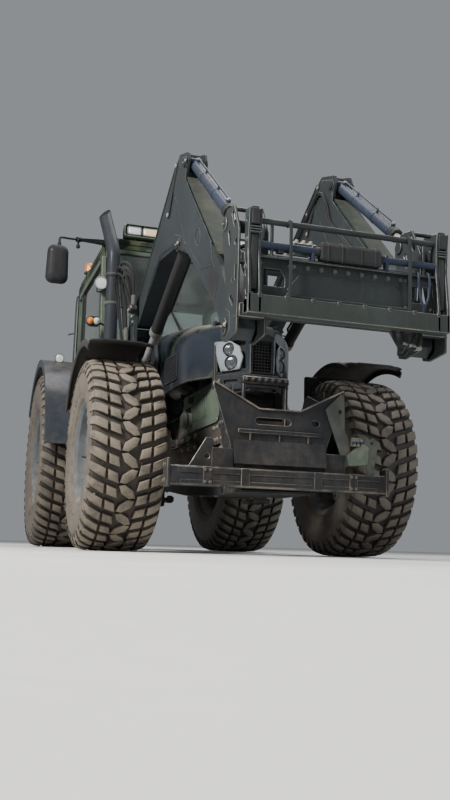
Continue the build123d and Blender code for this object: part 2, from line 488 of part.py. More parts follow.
# ---------------------------------------------------------------- front guard
v = [(-470, 1150), (-150, 985), (150, 985), (470, 1150), (478, 1132), (350, 740), (330, 575), (-330, 575), (-350, 740), (-478, 1132)]
vplate = prism_yz(v, 3930, 3946)
gusset = prism_xz([(3560, 960), (3640, 1120), (3700, 1140), (3932, 1060), (3932, 575), (3800, 575), (3700, 640)], 300, 314)
gusset = cut(gusset, ycyl(3760, 930, 280, 330, 34), ycyl(3820, 760, 280, 330, 40))
guard = fuse(vplate, both(gusset), both(box(3558, 3720, 245, 314, 880, 950)), box(3820, 3932, -314, 314, 640, 656), box(3880, 3932, -330, 330, 575, 615))
guard = cut(guard, frame)
save("front_guard", guard)
beam = fuse(box(3912, 4012, -780, 780, 440, 570), both(box(3905, 4018, 768, 792, 425, 615)), both(box(3925, 3932, 300, 320, 555, 585)),
            both(prism_yz([(470, 565), (640, 565), (520, 770), (470, 770)], 3950, 3964)), both(box(3946, 3966, 330, 480, 565, 700)))
save("front_beam", cut(beam, guard, frame))

# ---------------------------------------------------------------- rear hitch
hitch = fuse(box(-470, -350, -160, 160, 420, 1010), box(-900, -350, -45, 45, 400, 450), box(-1100, -900, -45, 45, 405, 445),
             both(box(-420, -250, 200, 228, 480, 640)), both(box(-470, -350, 155, 228, 480, 640)),
             both(ycyl(LINK_PIVOT[0], LINK_PIVOT[1], 200, 330, 18)))
hitch = fuse(hitch, *[box(-480, -350, y - 6, y + 6, 920, 1000) for y in (-36, 36)])
hitch = cut(hitch, zcyl(-1040, 0, 380, 480, 16), box(-520, -400, -29, 29, 900, 1020))
hitch = fuse(hitch, ycyl(TOP_PIVOT[0], TOP_PIVOT[1], -42, 42, 12))
save("rear_hitch", fuse(hitch, rod((-460, 0, 700), (-600, 0, 700), 17.5)))


def link_bar(side):
    p, e = LINK_PIVOT, LINK_END
    s = fuse(ycyl(p[0], p[1], 268, 322, 42), rod((p[0], 295, p[1]), (LINK_LIFT[0], 390, LINK_LIFT[1]), 26),
             rod((LINK_LIFT[0], 390, LINK_LIFT[1]), (e[0], 420, e[1]), 26), ycyl(e[0], e[1], 395, 445, 44),
             Pos(LINK_LIFT[0], 390, LINK_LIFT[1]) * Sphere(26), ycyl(LINK_LIFT[0], LINK_LIFT[1], 385, 395, 34))
    s = cut(s, ycyl(p[0], p[1], 240, 340, 18 + FIT), ycyl(e[0], e[1], 380, 460, 14.2))
    return s if side > 0 else mirrored(s)


save("lower_links", link_bar(1), link_bar(-1))
arms_l = fuse(ycyl(ARM_ROCK[0], ARM_ROCK[1], 240, 330, 45), rod((ARM_ROCK[0], 300, ARM_ROCK[1]), (ARM_TIP[0], 320, ARM_TIP[1]), 28),
              ycyl(ARM_TIP[0], ARM_TIP[1], 300, 348, 36), ycyl(ARM_TIP[0], ARM_TIP[1], 340, 392, 15))
arms_l = cut(arms_l, ycyl(ARM_ROCK[0], ARM_ROCK[1], 200, 400, 25 + FIT))
save("lift_arms", both(arms_l))
rod_l = fuse(ycyl(ARM_TIP[0], ARM_TIP[1], 360, 388, 30), rod((ARM_TIP[0], 375, ARM_TIP[1]), (LINK_LIFT[0], 385, LINK_LIFT[1] + 90), 17))
rod_l = cut(rod_l, ycyl(ARM_TIP[0], ARM_TIP[1], 300, 400, 15 + FIT))
save("lift_rods", both(rod_l))
top = fuse(ycyl(TOP_PIVOT[0], TOP_PIVOT[1], -22, 22, 26), rod((TOP_PIVOT[0], 0, TOP_PIVOT[1]), (TOP_END[0], 0, TOP_END[1]), 18),
           ycyl(TOP_END[0], TOP_END[1], -25, 25, 36))
top = cut(top, ycyl(TOP_PIVOT[0], TOP_PIVOT[1], -60, 60, 12 + FIT), ycyl(TOP_END[0], TOP_END[1], -60, 60, 12.8))
save("top_link", top)
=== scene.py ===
import bpy
import bmesh
import random
import numpy as np
from math import sin, cos, pi, radians, hypot, atan2, sqrt
from mathutils import Vector, Matrix
from mathutils.geometry import tessellate_polygon


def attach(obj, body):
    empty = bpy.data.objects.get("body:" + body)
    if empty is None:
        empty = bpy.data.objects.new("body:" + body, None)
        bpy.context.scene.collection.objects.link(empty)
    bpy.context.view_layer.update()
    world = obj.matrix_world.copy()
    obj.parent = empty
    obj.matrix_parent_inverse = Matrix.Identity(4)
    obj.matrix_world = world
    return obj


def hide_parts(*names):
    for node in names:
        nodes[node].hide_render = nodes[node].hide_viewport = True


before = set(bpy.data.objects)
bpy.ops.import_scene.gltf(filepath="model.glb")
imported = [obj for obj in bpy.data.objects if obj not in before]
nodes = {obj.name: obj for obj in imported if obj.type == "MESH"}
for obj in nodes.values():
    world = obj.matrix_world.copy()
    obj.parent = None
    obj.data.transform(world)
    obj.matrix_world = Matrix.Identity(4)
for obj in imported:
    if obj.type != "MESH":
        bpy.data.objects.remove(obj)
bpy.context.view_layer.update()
rnd = random.Random(11)

# All shapes are written in millimetres with the rear axle at x = 0, as the CAD source is,
# and moved to the frame, in metres, when their mesh is made.
SHIFT_X = -1905.5


def pt(x, y, z):
    return Vector(((x + SHIFT_X) / 1000.0, y / 1000.0, z / 1000.0))


# =============================================================== shape kit
class P:
    """A closed shape: points in mm, faces, one material index per face."""

    def __init__(self, v, f, m=0):
        self.v = np.array(v, float).reshape(-1, 3)
        self.f = [tuple(int(i) for i in q) for q in f]
        self.m = list(m) if isinstance(m, (list, tuple)) else [m] * len(self.f)

    def mir(self):
        return P(self.v * [1, -1, 1], [tuple(reversed(q)) for q in self.f], self.m)

    def mv(self, M):
        v = np.c_[self.v, np.ones(len(self.v))] @ np.array(M, float).T
        return P(v[:, :3], self.f, self.m)

    def at(self, x, y, z):
        return P(self.v + [x, y, z], self.f, self.m)

    def mat(self, k):
        return P(self.v, self.f, k)


def flat(items):
    out = []
    for i in items:
        if isinstance(i, (list, tuple)):
            out += flat(i)
        else:
            out.append(i)
    return out


def both(*items):
    ps = flat(items)
    return ps + [p.mir() for p in ps]


def make(name, body, mats, *items, slot=None, replaces=(), sharp=48, wn=True, sub=0, recalc=True):
    """One joined mesh object from many shapes."""
    ps = flat(items)
    vs, fs, ms, o = [], [], [], 0
    for p in ps:
        vs.append(p.v)
        fs += [tuple(o + i for i in q) for q in p.f]
        ms += p.m
        o += len(p.v)
    v = np.concatenate(vs)
    v = (v + [SHIFT_X, 0, 0]) / 1000.0
    me = bpy.data.meshes.new(name)
    me.from_pydata([tuple(q) for q in v], [], fs)
    me.update()
    for m in mats if isinstance(mats, (list, tuple)) else [mats]:
        me.materials.append(m)
    me.polygons.foreach_set("material_index", ms)
    if recalc:
        bm = bmesh.new()
        bm.from_mesh(me)
        bmesh.ops.recalc_face_normals(bm, faces=bm.faces)
        bm.to_mesh(me)
        bm.free()
    me.polygons.foreach_set("use_smooth", [True] * len(me.polygons))
    me.set_sharp_from_angle(angle=radians(sharp))
    ob = bpy.data.objects.new(name, me)
    bpy.context.scene.collection.objects.link(ob)
    if sub:
        s = ob.modifiers.new("sub", "SUBSURF")
        s.levels = s.render_levels = sub
    if wn:
        w = ob.modifiers.new("wn", "WEIGHTED_NORMAL")
        w.keep_sharp = True
    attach(ob, body)
    if replaces:
        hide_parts(*replaces)
    return ob


def cbox(x0, x1, y0, y1, z0, z1, b=4.0, m=0, e=None):
    """Box with chamfered edges; e is the material of the chamfers."""
    x0, x1 = min(x0, x1), max(x0, x1)
    y0, y1 = min(y0, y1), max(y0, y1)
    z0, z1 = min(z0, z1), max(z0, z1)
    e = m if e is None else e
    b = min(b, (x1 - x0) * 0.45, (y1 - y0) * 0.45, (z1 - z0) * 0.45)
    X, Y, Z = (x0, x1), (y0, y1), (z0, z1)
    v, idx = [], {}
    for i in (0, 1):
        for j in (0, 1):
            for k in (0, 1):
                x, y, z = X[i], Y[j], Z[k]
                dx, dy, dz = (b, -b)[i], (b, -b)[j], (b, -b)[k]
                for a, q in enumerate(((x, y + dy, z + dz), (x + dx, y, z + dz), (x + dx, y + dy, z))):
                    idx[i, j, k, a] = len(v)
                    v.append(q)
    f, m_ = [], []
    for s in (0, 1):
        f.append([idx[s, 0, 0, 0], idx[s, 1, 0, 0], idx[s, 1, 1, 0], idx[s, 0, 1, 0]])
        f.append([idx[0, s, 0, 1], idx[1, s, 0, 1], idx[1, s, 1, 1], idx[0, s, 1, 1]])
        f.append([idx[0, 0, s, 2], idx[1, 0, s, 2], idx[1, 1, s, 2], idx[0, 1, s, 2]])
        m_ += [m] * 3
    for a in (0, 1):
        for c in (0, 1):
            f.append([idx[0, a, c, 1], idx[1, a, c, 1], idx[1, a, c, 2], idx[0, a, c, 2]])
            f.append([idx[a, 0, c, 0], idx[a, 1, c, 0], idx[a, 1, c, 2], idx[a, 0, c, 2]])
            f.append([idx[a, c, 0, 0], idx[a, c, 1, 0], idx[a, c, 1, 1], idx[a, c, 0, 1]])
            m_ += [e] * 3
    for i in (0, 1):
        for j in (0, 1):
            for k in (0, 1):
                f.append([idx[i, j, k, 0], idx[i, j, k, 1], idx[i, j, k, 2]])
                m_.append(e)
    return P(v, f, m_)


def basis(d):
    d = Vector(d).normalized()
    up = Vector((0, 0, 1)) if abs(d.z) < 0.9 else Vector((1, 0, 0))
    a = d.cross(up).normalized()
    return d, a, d.cross(a).normalized()


def lathe(prof, o, d, n=32, m=0, ms=None, a0=0.0, a1=360.0):
    """Turned shape: prof is (distance along d, radius). Closed at ends where radius is above 0."""
    d, a, b = basis(d)
    o = Vector(o)
    full = abs(a1 - a0) >= 359.9
    steps = n if full else n + 1
    v, rings = [], []
    for t, r in prof:
        if r <= 1e-6:
            rings.append([len(v)])
            v.append(o + d * t)
        else:
            ring = []
            for k in range(steps):
                w = radians(a0 + (a1 - a0) * k / n)
                ring.append(len(v))
                v.append(o + d * t + a * (r * cos(w)) + b * (r * sin(w)))
            rings.append(ring)
    f, mm = [], []
    for q in range(len(rings) - 1):
        A, B = rings[q], rings[q + 1]
        mk = m if ms is None else ms[q]
        for k in range(n):
            k2 = (k + 1) % n if full else k + 1
            if len(A) == 1 and len(B) == 1:
                continue
            if len(A) == 1:
                f.append([A[0], B[k], B[k2]])
            elif len(B) == 1:
                f.append([A[k], A[k2], B[0]])
            else:
                f.append([A[k], A[k2], B[k2], B[k]])
            mm.append(mk)
    if full:
        if len(rings[0]) > 1:
            f.append(list(reversed(rings[0])))
            mm.append(m if ms is None else ms[0])
        if len(rings[-1]) > 1:
            f.append(rings[-1])
            mm.append(m if ms is None else ms[-1])
    return P(v, f, mm)


def ringsolid(prof, o, d, n=48, m=0, ms=None):
    """Turned shape with a closed outline that stays off the axis, such as a tyre or a rim."""
    d, a, b = basis(d)
    o = Vector(o)
    v, k_ = [], len(prof)
    for s in range(n):
        w = 2 * pi * s / n
        for t, r in prof:
            v.append(o + d * t + a * (r * cos(w)) + b * (r * sin(w)))
    f, mm = [], []
    for s in range(n):
        s2 = (s + 1) % n
        for q in range(k_):
            q2 = (q + 1) % k_
            f.append([s * k_ + q, s * k_ + q2, s2 * k_ + q2, s2 * k_ + q])
            mm.append(m if ms is None else ms[q])
    return P(v, f, mm)


def cyl(p0, p1, r, n=28, b=None, m=0, e=None):
    """Round bar with chamfered ends."""
    d = Vector(p1) - Vector(p0)
    L = d.length
    b = min(3.0, r * 0.25, L * 0.3) if b is None else b
    e = m if e is None else e
    return lathe([(0, 0), (0, r - b), (b, r), (L - b, r), (L, r - b), (L, 0)], p0, d, n, m, [m, e, m, e, m])


def ycyl(x, z, y0, y1, r, n=28, b=None, m=0, e=None):
    return cyl((x, min(y0, y1), z), (x, max(y0, y1), z), r, n, b, m, e)


def tube(p0, p1, r, ri, n=32, m=0, e=None):
    d = Vector(p1) - Vector(p0)
    L = d.length
    e = m if e is None else e
    return ringsolid([(0, ri), (0, r - 2), (2, r), (L - 2, r), (L, r - 2), (L, ri)], p0, d, n, m, [m, e, m, e, m, m])


def bolt(p, d, r=11.0, h=11.0, m=0, n=6):
    """Hexagon head on a washer."""
    w = lathe([(-2, 0), (-2, r * 1.5), (1.6, r * 1.5), (2.4, r * 1.4), (2.4, 0)], p, d, 14, m)
    q = lathe([(2.3, 0), (2.3, r * 1.12), (h - 1.6, r * 1.12), (h, r * 0.9), (h, 0)], p, d, n, m)
    return [w, q]


def dome(p, d, r=10.0, h=5.0, m=0):
    """Round head screw."""
    return lathe([(-1, 0), (-1, r), (h * 0.3, r * 0.98), (h * 0.75, r * 0.7), (h, r * 0.3), (h, 0)], p, d, 12, m)


def area2(pts):
    return sum(pts[i][0] * pts[(i + 1) % len(pts)][1] - pts[(i + 1) % len(pts)][0] * pts[i][1] for i in range(len(pts)))


def rounded(pts, r, k=4):
    """Corners of an outline rounded; r is one radius or one per corner."""
    out, n = [], len(pts)
    for i in range(n):
        ri = r[i] if isinstance(r, (list, tuple)) else r
        p, a, c = Vector(pts[i]), Vector(pts[i - 1]), Vector(pts[(i + 1) % n])
        u, w = (a - p), (c - p)
        lu, lw = u.length, w.length
        if ri <= 0 or lu < 1e-6 or lw < 1e-6:
            out.append(tuple(p))
            continue
        u, w = u / lu, w / lw
        ang = max(min(u.dot(w), 1), -1)
        half = np.arccos(ang) / 2
        if half > 1.52 or half < 0.02:
            out.append(tuple(p))
            continue
        t = min(ri / np.tan(half), lu * 0.48, lw * 0.48)
        for s in range(k + 1):
            q = s / k
            a1, b1 = p + u * t, p + w * t
            out.append(tuple(a1 * (1 - q) ** 2 + p * 2 * q * (1 - q) + b1 * q * q))
    return out


def inset(pts, d):
    n, out = len(pts), []
    for i in range(n):
        p, a, c = np.array(pts[i], float), np.array(pts[i - 1], float), np.array(pts[(i + 1) % n], float)
        e1, e2 = p - a, c - p
        e1, e2 = e1 / max(np.linalg.norm(e1), 1e-9), e2 / max(np.linalg.norm(e2), 1e-9)
        n1, n2 = np.array([-e1[1], e1[0]]), np.array([-e2[1], e2[0]])
        s = n1 + n2
        q = s / max(float(s @ s), 0.35) * 2
        out.append(tuple(p + q * d))
    return out


PUT = {"xz": lambda a, b, w: (a, w, b), "xy": lambda a, b, w: (a, b, w), "yz": lambda a, b, w: (w, a, b)}


def plate(outer, w0, w1, plane="xz", holes=(), b=2.5, m=0, e=None, r=0.0):
    """Plate cut to an outline, with holes, between w0 and w1 across the plane, edges chamfered."""
    e = m if e is None else e
    w0, w1 = min(w0, w1), max(w0, w1)
    b = min(b, (w1 - w0) * 0.4)
    o = rounded(outer, r) if r else [tuple(q) for q in outer]
    if area2(o) < 0:
        o = o[::-1]
    loops = [o]
    for h in holes:
        h = [tuple(q) for q in h]
        loops.append(h[::-1] if area2(h) > 0 else h)
    put = PUT[plane]
    v, f, mm = [], [], []
    tops, bots = [], []
    for lp in loops:
        ins = inset(lp, b)
        n, s = len(lp), len(v)
        for ring, w in ((ins, w0), (lp, w0 + b), (lp, w1 - b), (ins, w1)):
            v += [put(q[0], q[1], w) for q in ring]
        for k in range(n):
            k2 = (k + 1) % n
            for t, mk in ((0, e), (1, m), (2, e)):
                f.append([s + t * n + k, s + t * n + k2, s + (t + 1) * n + k2, s + (t + 1) * n + k])
                mm.append(mk)
        bots += [s + k for k in range(n)]
        tops += [s + 3 * n + k for k in range(n)]
    tri = tessellate_polygon([[Vector((q[0], q[1], 0)) for q in inset(lp, b)] for lp in loops])
    for t in tri:
        f.append([tops[i] for i in t])
        mm.append(m)
        f.append([bots[i] for i in reversed(t)])
        mm.append(m)
    return P(v, f, mm)


def circle(x, z, r, n=20, sx=1.0, sz=1.0, a=0.0):
    return [(x + r * sx * cos(2 * pi * k / n) * cos(a) - r * sz * sin(2 * pi * k / n) * sin(a),
             z + r * sx * cos(2 * pi * k / n) * sin(a) + r * sz * sin(2 * pi * k / n) * cos(a)) for k in range(n)]


def slot(x0, z0, x1, z1, r, n=8):
    """Outline of a slot from one centre to the other."""
    a = atan2(z1 - z0, x1 - x0)
    out = []
    for k in range(n + 1):
        w = a + pi / 2 + pi * k / n
        out.append((x0 + r * cos(w), z0 + r * sin(w)))
    for k in range(n + 1):
        w = a - pi / 2 + pi * k / n
        out.append((x1 + r * cos(w), z1 + r * sin(w)))
    return out


def curve(pts, k=8, closed=False):
    """Smooth line through points (centripetal), k steps a span."""
    P_ = [Vector(p) for p in pts]
    n = len(P_)
    out = []
    spans = n if closed else n - 1
    for i in range(spans):
        p1, p2 = P_[i % n], P_[(i + 1) % n]
        p0 = P_[(i - 1) % n] if closed or i > 0 else p1 * 2 - p2
        p3 = P_[(i + 2) % n] if closed or i + 2 < n else p2 * 2 - p1
        for s in range(k):
            t = s / k
            out.append(0.5 * ((2 * p1) + (-p0 + p2) * t + (2 * p0 - 5 * p1 + 4 * p2 - p3) * t * t + (-p0 + 3 * p1 - 3 * p2 + p3) * t ** 3))
    if not closed:
        out.append(P_[-1])
    return out


def sweep(path, r, n=14, m=0, prof=None, closed=False, rr=None):
    """Tube or section carried along a path; rr gives a radius factor at each point."""
    path = [Vector(p) for p in path]
    N = len(path)
    sec = prof if prof is not None else [(r * cos(2 * pi * k / n), r * sin(2 * pi * k / n)) for k in range(n)]
    n = len(sec)
    t0 = (path[1] - path[0]).normalized()
    _, a, b = basis(t0)
    v, prev = [], t0
    for i in range(N):
        if closed:
            t = (path[(i + 1) % N] - path[i - 1]).normalized()
        else:
            t = (path[min(i + 1, N - 1)] - path[max(i - 1, 0)]).normalized()
        q = prev.rotation_difference(t)
        a = q @ a
        a = (a - t * a.dot(t)).normalized()
        b = t.cross(a)
        prev = t
        s = 1.0 if rr is None else rr[i]
        v += [path[i] + a * (x * s) + b * (y * s) for x, y in sec]
    f = []
    for i in range(N if closed else N - 1):
        i2 = (i + 1) % N
        for k in range(n):
            k2 = (k + 1) % n
            f.append([i * n + k, i * n + k2, i2 * n + k2, i2 * n + k])
    if not closed:
        f.append(list(reversed(range(n))))
        f.append([(N - 1) * n + k for k in range(n)])
    return P(v, f, m)


def torus(o, d, R, r, n=32, k=10, m=0):
    d, a, b = basis(d)
    return sweep([Vector(o) + a * (R * cos(2 * pi * s / n)) + b * (R * sin(2 * pi * s / n)) for s in range(n)], r, k, m, closed=True)


def loft(rings, m=0, caps=True, closed=True):
    """Skin over rings that have the same number of points."""
    n = len(rings[0])
    v = [p for r in rings for p in r]
    f = []
    for i in range(len(rings) - 1):
        for k in range(n if closed else n - 1):
            k2 = (k + 1) % n
            f.append([i * n + k, i * n + k2, (i + 1) * n + k2, (i + 1) * n + k])
    if caps and closed:
        f.append(list(reversed(range(n))))
        f.append([(len(rings) - 1) * n + k for k in range(n)])
    return P(v, f, m)


def shell(grid, t, m=0, mi=None):
    """Curved sheet of thickness t from a grid of points; mi is the material of its underside."""
    mi = m if mi is None else mi
    R, C = len(grid), len(grid[0])
    g = np.array([[tuple(p) for p in row] for row in grid], float)
    du = np.gradient(g, axis=0)
    dv = np.gradient(g, axis=1)
    nn = np.cross(du, dv)
    nn /= np.maximum(np.linalg.norm(nn, axis=2, keepdims=True), 1e-9)
    h = g - nn * t
    v = list(g.reshape(-1, 3)) + list(h.reshape(-1, 3))
    o = R * C
    f, mm = [], []
    for i in range(R - 1):
        for j in range(C - 1):
            a, b_, c, d = i * C + j, i * C + j + 1, (i + 1) * C + j + 1, (i + 1) * C + j
            f.append([a, b_, c, d]); mm.append(m)
            f.append([o + d, o + c, o + b_, o + a]); mm.append(mi)
    edge = [(i, 0) for i in range(R)] + [(R - 1, j) for j in range(1, C)] + [(i, C - 1) for i in range(R - 2, -1, -1)] + [(0, j) for j in range(C - 2, 0, -1)]
    for k in range(len(edge)):
        a, c = edge[k], edge[(k + 1) % len(edge)]
        ia, ic = a[0] * C + a[1], c[0] * C + c[1]
        f.append([ia, ic, o + ic, o + ia]); mm.append(m)
    return P(v, f, mm)


def weld(points, r=3.5, m=0):
    """A bead along a seam, a little uneven."""
    p = curve(points, 3) if len(points) > 2 else [Vector(points[0]).lerp(Vector(points[1]), k / max(6, int((Vector(points[1]) - Vector(points[0])).length / 14))) for k in range(max(6, int((Vector(points[1]) - Vector(points[0])).length / 14)) + 1)]
    return sweep(p, r, 6, m, rr=[0.82 + 0.36 * (k % 2) for k in range(len(p))])


# =============================================================== materials
class Net:
    def __init__(self, name):
        self.m = bpy.data.materials.new(name)
        self.m.use_nodes = True
        self.nt = self.m.node_tree
        self.nt.nodes.clear()
        self.out = self.nt.nodes.new("ShaderNodeOutputMaterial")
        self.b = self.nt.nodes.new("ShaderNodeBsdfPrincipled")
        self.nt.links.new(self.b.outputs[0], self.out.inputs[0])
        self.tc = self.nt.nodes.new("ShaderNodeTexCoord")

    def to(self, node, i, val):
        if hasattr(val, "is_output"):
            self.nt.links.new(val, node.inputs[i])
        elif isinstance(val, (tuple, list)):
            node.inputs[i].default_value = tuple(val) + ((1.0,) if len(val) == 3 and len(node.inputs[i].default_value) == 4 else ())
        else:
            node.inputs[i].default_value = val

    def noise(self, scale, detail=4.0, rough=0.55, vec=None, dist=0.0):
        n = self.nt.nodes.new("ShaderNodeTexNoise")
        self.nt.links.new(vec if vec is not None else self.tc.outputs["Object"], n.inputs["Vector"])
        n.inputs["Scale"].default_value = scale
        n.inputs["Detail"].default_value = detail
        n.inputs["Roughness"].default_value = rough
        n.inputs["Distortion"].default_value = dist
        return n.outputs["Fac"]

    def voronoi(self, scale, feature="F1", out="Distance", vec=None):
        n = self.nt.nodes.new("ShaderNodeTexVoronoi")
        n.feature = feature
        self.nt.links.new(vec if vec is not None else self.tc.outputs["Object"], n.inputs["Vector"])
        n.inputs["Scale"].default_value = scale
        return n.outputs[out]

    def mapping(self, scale=(1, 1, 1), rot=(0, 0, 0)):
        n = self.nt.nodes.new("ShaderNodeMapping")
        self.nt.links.new(self.tc.outputs["Object"], n.inputs[0])
        n.inputs["Scale"].default_value = scale
        n.inputs["Rotation"].default_value = rot
        return n.outputs[0]

    def ramp(self, val, a, b, lo=0.0, hi=1.0):
        n = self.nt.nodes.new("ShaderNodeMapRange")
        n.interpolation_type = "SMOOTHSTEP"
        self.to(n, 0, val)
        for i, q in enumerate((a, b, lo, hi)):
            n.inputs[i + 1].default_value = q
        return n.outputs[0]

    def math(self, op, a, b=0.0, clamp=False):
        n = self.nt.nodes.new("ShaderNodeMath")
        n.operation = op
        n.use_clamp = clamp
        self.to(n, 0, a)
        self.to(n, 1, b)
        return n.outputs[0]

    def mix(self, fac, a, b):
        n = self.nt.nodes.new("ShaderNodeMix")
        n.data_type = "RGBA"
        self.to(n, 0, fac)
        for i, val in ((6, a), (7, b)):
            if hasattr(val, "is_output"):
                self.nt.links.new(val, n.inputs[i])
            else:
                n.inputs[i].default_value = tuple(val)[:3] + (1.0,)
        return n.outputs[2]

    def xyz(self, which="Object"):
        n = self.nt.nodes.new("ShaderNodeSeparateXYZ")
        self.nt.links.new(self.tc.outputs[which], n.inputs[0])
        return n.outputs

    def bump(self, height, strength, distance=0.001):
        n = self.nt.nodes.new("ShaderNodeBump")
        n.inputs["Strength"].default_value = strength
        n.inputs["Distance"].default_value = distance
        self.nt.links.new(height, n.inputs["Height"])
        self.nt.links.new(n.outputs[0], self.b.inputs["Normal"])
        return n

    def set(self, **kw):
        for k, val in kw.items():
            self.to(self.b, {"color": "Base Color", "rough": "Roughness", "metal": "Metallic", "ior": "IOR",
                             "coat": "Coat Weight", "coat_rough": "Coat Roughness", "trans": "Transmission Weight",
                             "spec": "Specular IOR Level", "alpha": "Alpha", "sheen": "Sheen Weight"}[k], val)
        return self.m


DUST = (0.36, 0.30, 0.215)
MUD = (0.135, 0.10, 0.066)


def mul(c, k):
    return tuple(min(1.0, q * k) for q in c)


def paint(name, base, dust=0.35, low=0.5, rough=0.42, var=0.18, bump=0.12, grain=420.0, metal=0.0, coat=0.0, streak=0.06, dustcol=DUST, chips=0.0, chipcol=(0.2, 0.19, 0.17), spec=0.3):
    """Painted or moulded surface: uneven tone, dust on what faces up and towards the floor, faint streaks, fine bump."""
    n = Net(name)
    big, mid, fine = n.noise(1.7, 3), n.noise(14, 5), n.noise(120, 3)
    tone = n.mix(n.ramp(big, 0.35, 0.65), mul(base, 1 - var), mul(base, 1 + var))
    tone = n.mix(n.ramp(mid, 0.42, 0.68, 0, 0.5), tone, mul(base, 1 - var * 1.4))
    if streak > 0:
        st = n.noise(9, 3, 0.6, vec=n.mapping((9, 9, 0.9)))
        tone = n.mix(n.ramp(st, 0.52, 0.75, 0, streak), tone, mul(dustcol, 0.55))
    up = n.ramp(n.xyz("Normal")[2], 0.15, 0.95)
    z = n.xyz("Object")[2]
    ground = n.ramp(z, 1.35, 0.35)
    patch = n.ramp(n.noise(5.5, 6, 0.62), 0.36, 0.66)
    speck = n.ramp(fine, 0.40, 0.66)
    amount = n.math("ADD", n.math("MULTIPLY", up, dust * 0.8), n.math("MULTIPLY", ground, low * 0.7))
    amount = n.math("MULTIPLY", amount, n.math("ADD", n.math("MULTIPLY", patch, 0.75), n.math("MULTIPLY", speck, 0.35)), True)
    film = n.ramp(n.noise(2.6, 4, 0.6), 0.3, 0.75, 0.004, 0.004 + 0.055 * dust)
    amount = n.math("ADD", amount, film, True)
    col = n.mix(amount, tone, n.mix(n.ramp(mid, 0.4, 0.62), dustcol, mul(dustcol, 0.55)))
    if chips > 0:
        c = n.ramp(n.noise(38, 6, 0.7), 0.70, 0.74, 0, chips)
        col = n.mix(c, col, chipcol)
    r = n.math("ADD", n.math("MULTIPLY", amount, 0.42), n.math("MULTIPLY_ADD", fine, 0.14), True)
    r = n.math("ADD", r, rough - 0.06, True)
    height = n.math("ADD", n.math("MULTIPLY", n.noise(grain, 2), 0.5), n.math("ADD", n.math("MULTIPLY", amount, 1.2), n.math("MULTIPLY", mid, 0.8)))
    n.bump(height, bump, 0.0012)
    n.set(color=col, rough=r, metal=metal)
    n.b.inputs["Specular IOR Level"].default_value = spec
    if coat:
        n.set(coat=coat, coat_rough=0.22)
    return n.m


def edge(name, base, k=1.7, bare=(0.2, 0.2, 0.19)):
    """Worn edge of a painted part: lighter, rubbed through in places."""
    n = Net(name)
    w = n.ramp(n.noise(26, 6, 0.7), 0.46, 0.62)
    col = n.mix(w, mul(base, k), bare)
    col = n.mix(n.ramp(n.noise(4, 4), 0.45, 0.7, 0, 0.6), col, mul(DUST, 0.6))
    n.set(color=col, rough=n.ramp(w, 0, 1, 0.5, 0.38), metal=0.15)
    n.bump(n.noise(200, 3), 0.2, 0.0006)
    return n.m


def metal(name, base, rough=0.32, dust=0.3, metallic=0.85, low=0.3):
    return paint(name, base, dust=dust, low=low, rough=rough, metal=metallic, var=0.15, streak=0.1, bump=0.08)


def rubber_top(name, amount, tan=(0.285, 0.237, 0.178), dark=(0.026, 0.024, 0.022)):
    n = Net(name)
    a = n.noise(7, 6, 0.65)
    b = n.noise(55, 5, 0.7)
    c = n.noise(260, 3, 0.6)
    f = n.math("ADD", n.math("MULTIPLY", n.ramp(a, 0.3, 0.62), 0.6), n.math("MULTIPLY", n.ramp(b, 0.32, 0.62), 0.5), True)
    f = n.math("MULTIPLY", f, amount, True)
    col = n.mix(f, dark, n.mix(n.ramp(b, 0.4, 0.65), tan, mul(tan, 0.62)))
    n.set(color=col, rough=n.math("ADD", n.math("MULTIPLY", f, 0.25), 0.68, True))
    n.bump(n.math("ADD", n.math("MULTIPLY", c, 0.6), n.math("MULTIPLY", b, 1.5)), 0.5, 0.0025)
    return n.m


def glass(name, tint=(0.62, 0.72, 0.68), dust=0.12):
    n = Net(name)
    f = n.math("MULTIPLY", n.ramp(n.noise(6, 5, 0.6), 0.42, 0.75), dust, True)
    n.set(color=n.mix(f, tint, (0.75, 0.72, 0.62)), rough=n.math("ADD", n.math("MULTIPLY", f, 1.4), 0.02, True), trans=n.math("SUBTRACT", 0.97, n.math("MULTIPLY", f, 2.2), True))
    n.b.inputs["IOR"].default_value = 1.45
    return n.m


def lens(name, tint=(0.9, 0.92, 0.92), rough=0.06, trans=0.55, scale=60.0, bump=0.4):
    """Lamp lens with moulded flutes."""
    n = Net(name)
    w = n.nt.nodes.new("ShaderNodeTexWave")
    n.nt.links.new(n.tc.outputs["Object"], w.inputs["Vector"])
    w.bands_direction = "Y"
    w.inputs["Scale"].default_value = scale
    w.inputs["Distortion"].default_value = 0.0
    n.bump(w.outputs["Fac"], bump, 0.002)
    n.set(color=n.mix(n.ramp(n.noise(30, 4), 0.5, 0.8, 0, 0.25), tint, mul(DUST, 1.5)), rough=n.ramp(n.noise(40, 3), 0.3, 0.7, rough, rough + 0.1))
    n.b.inputs["Transmission Weight"].default_value = trans
    n.b.inputs["IOR"].default_value = 1.49
    return n.m


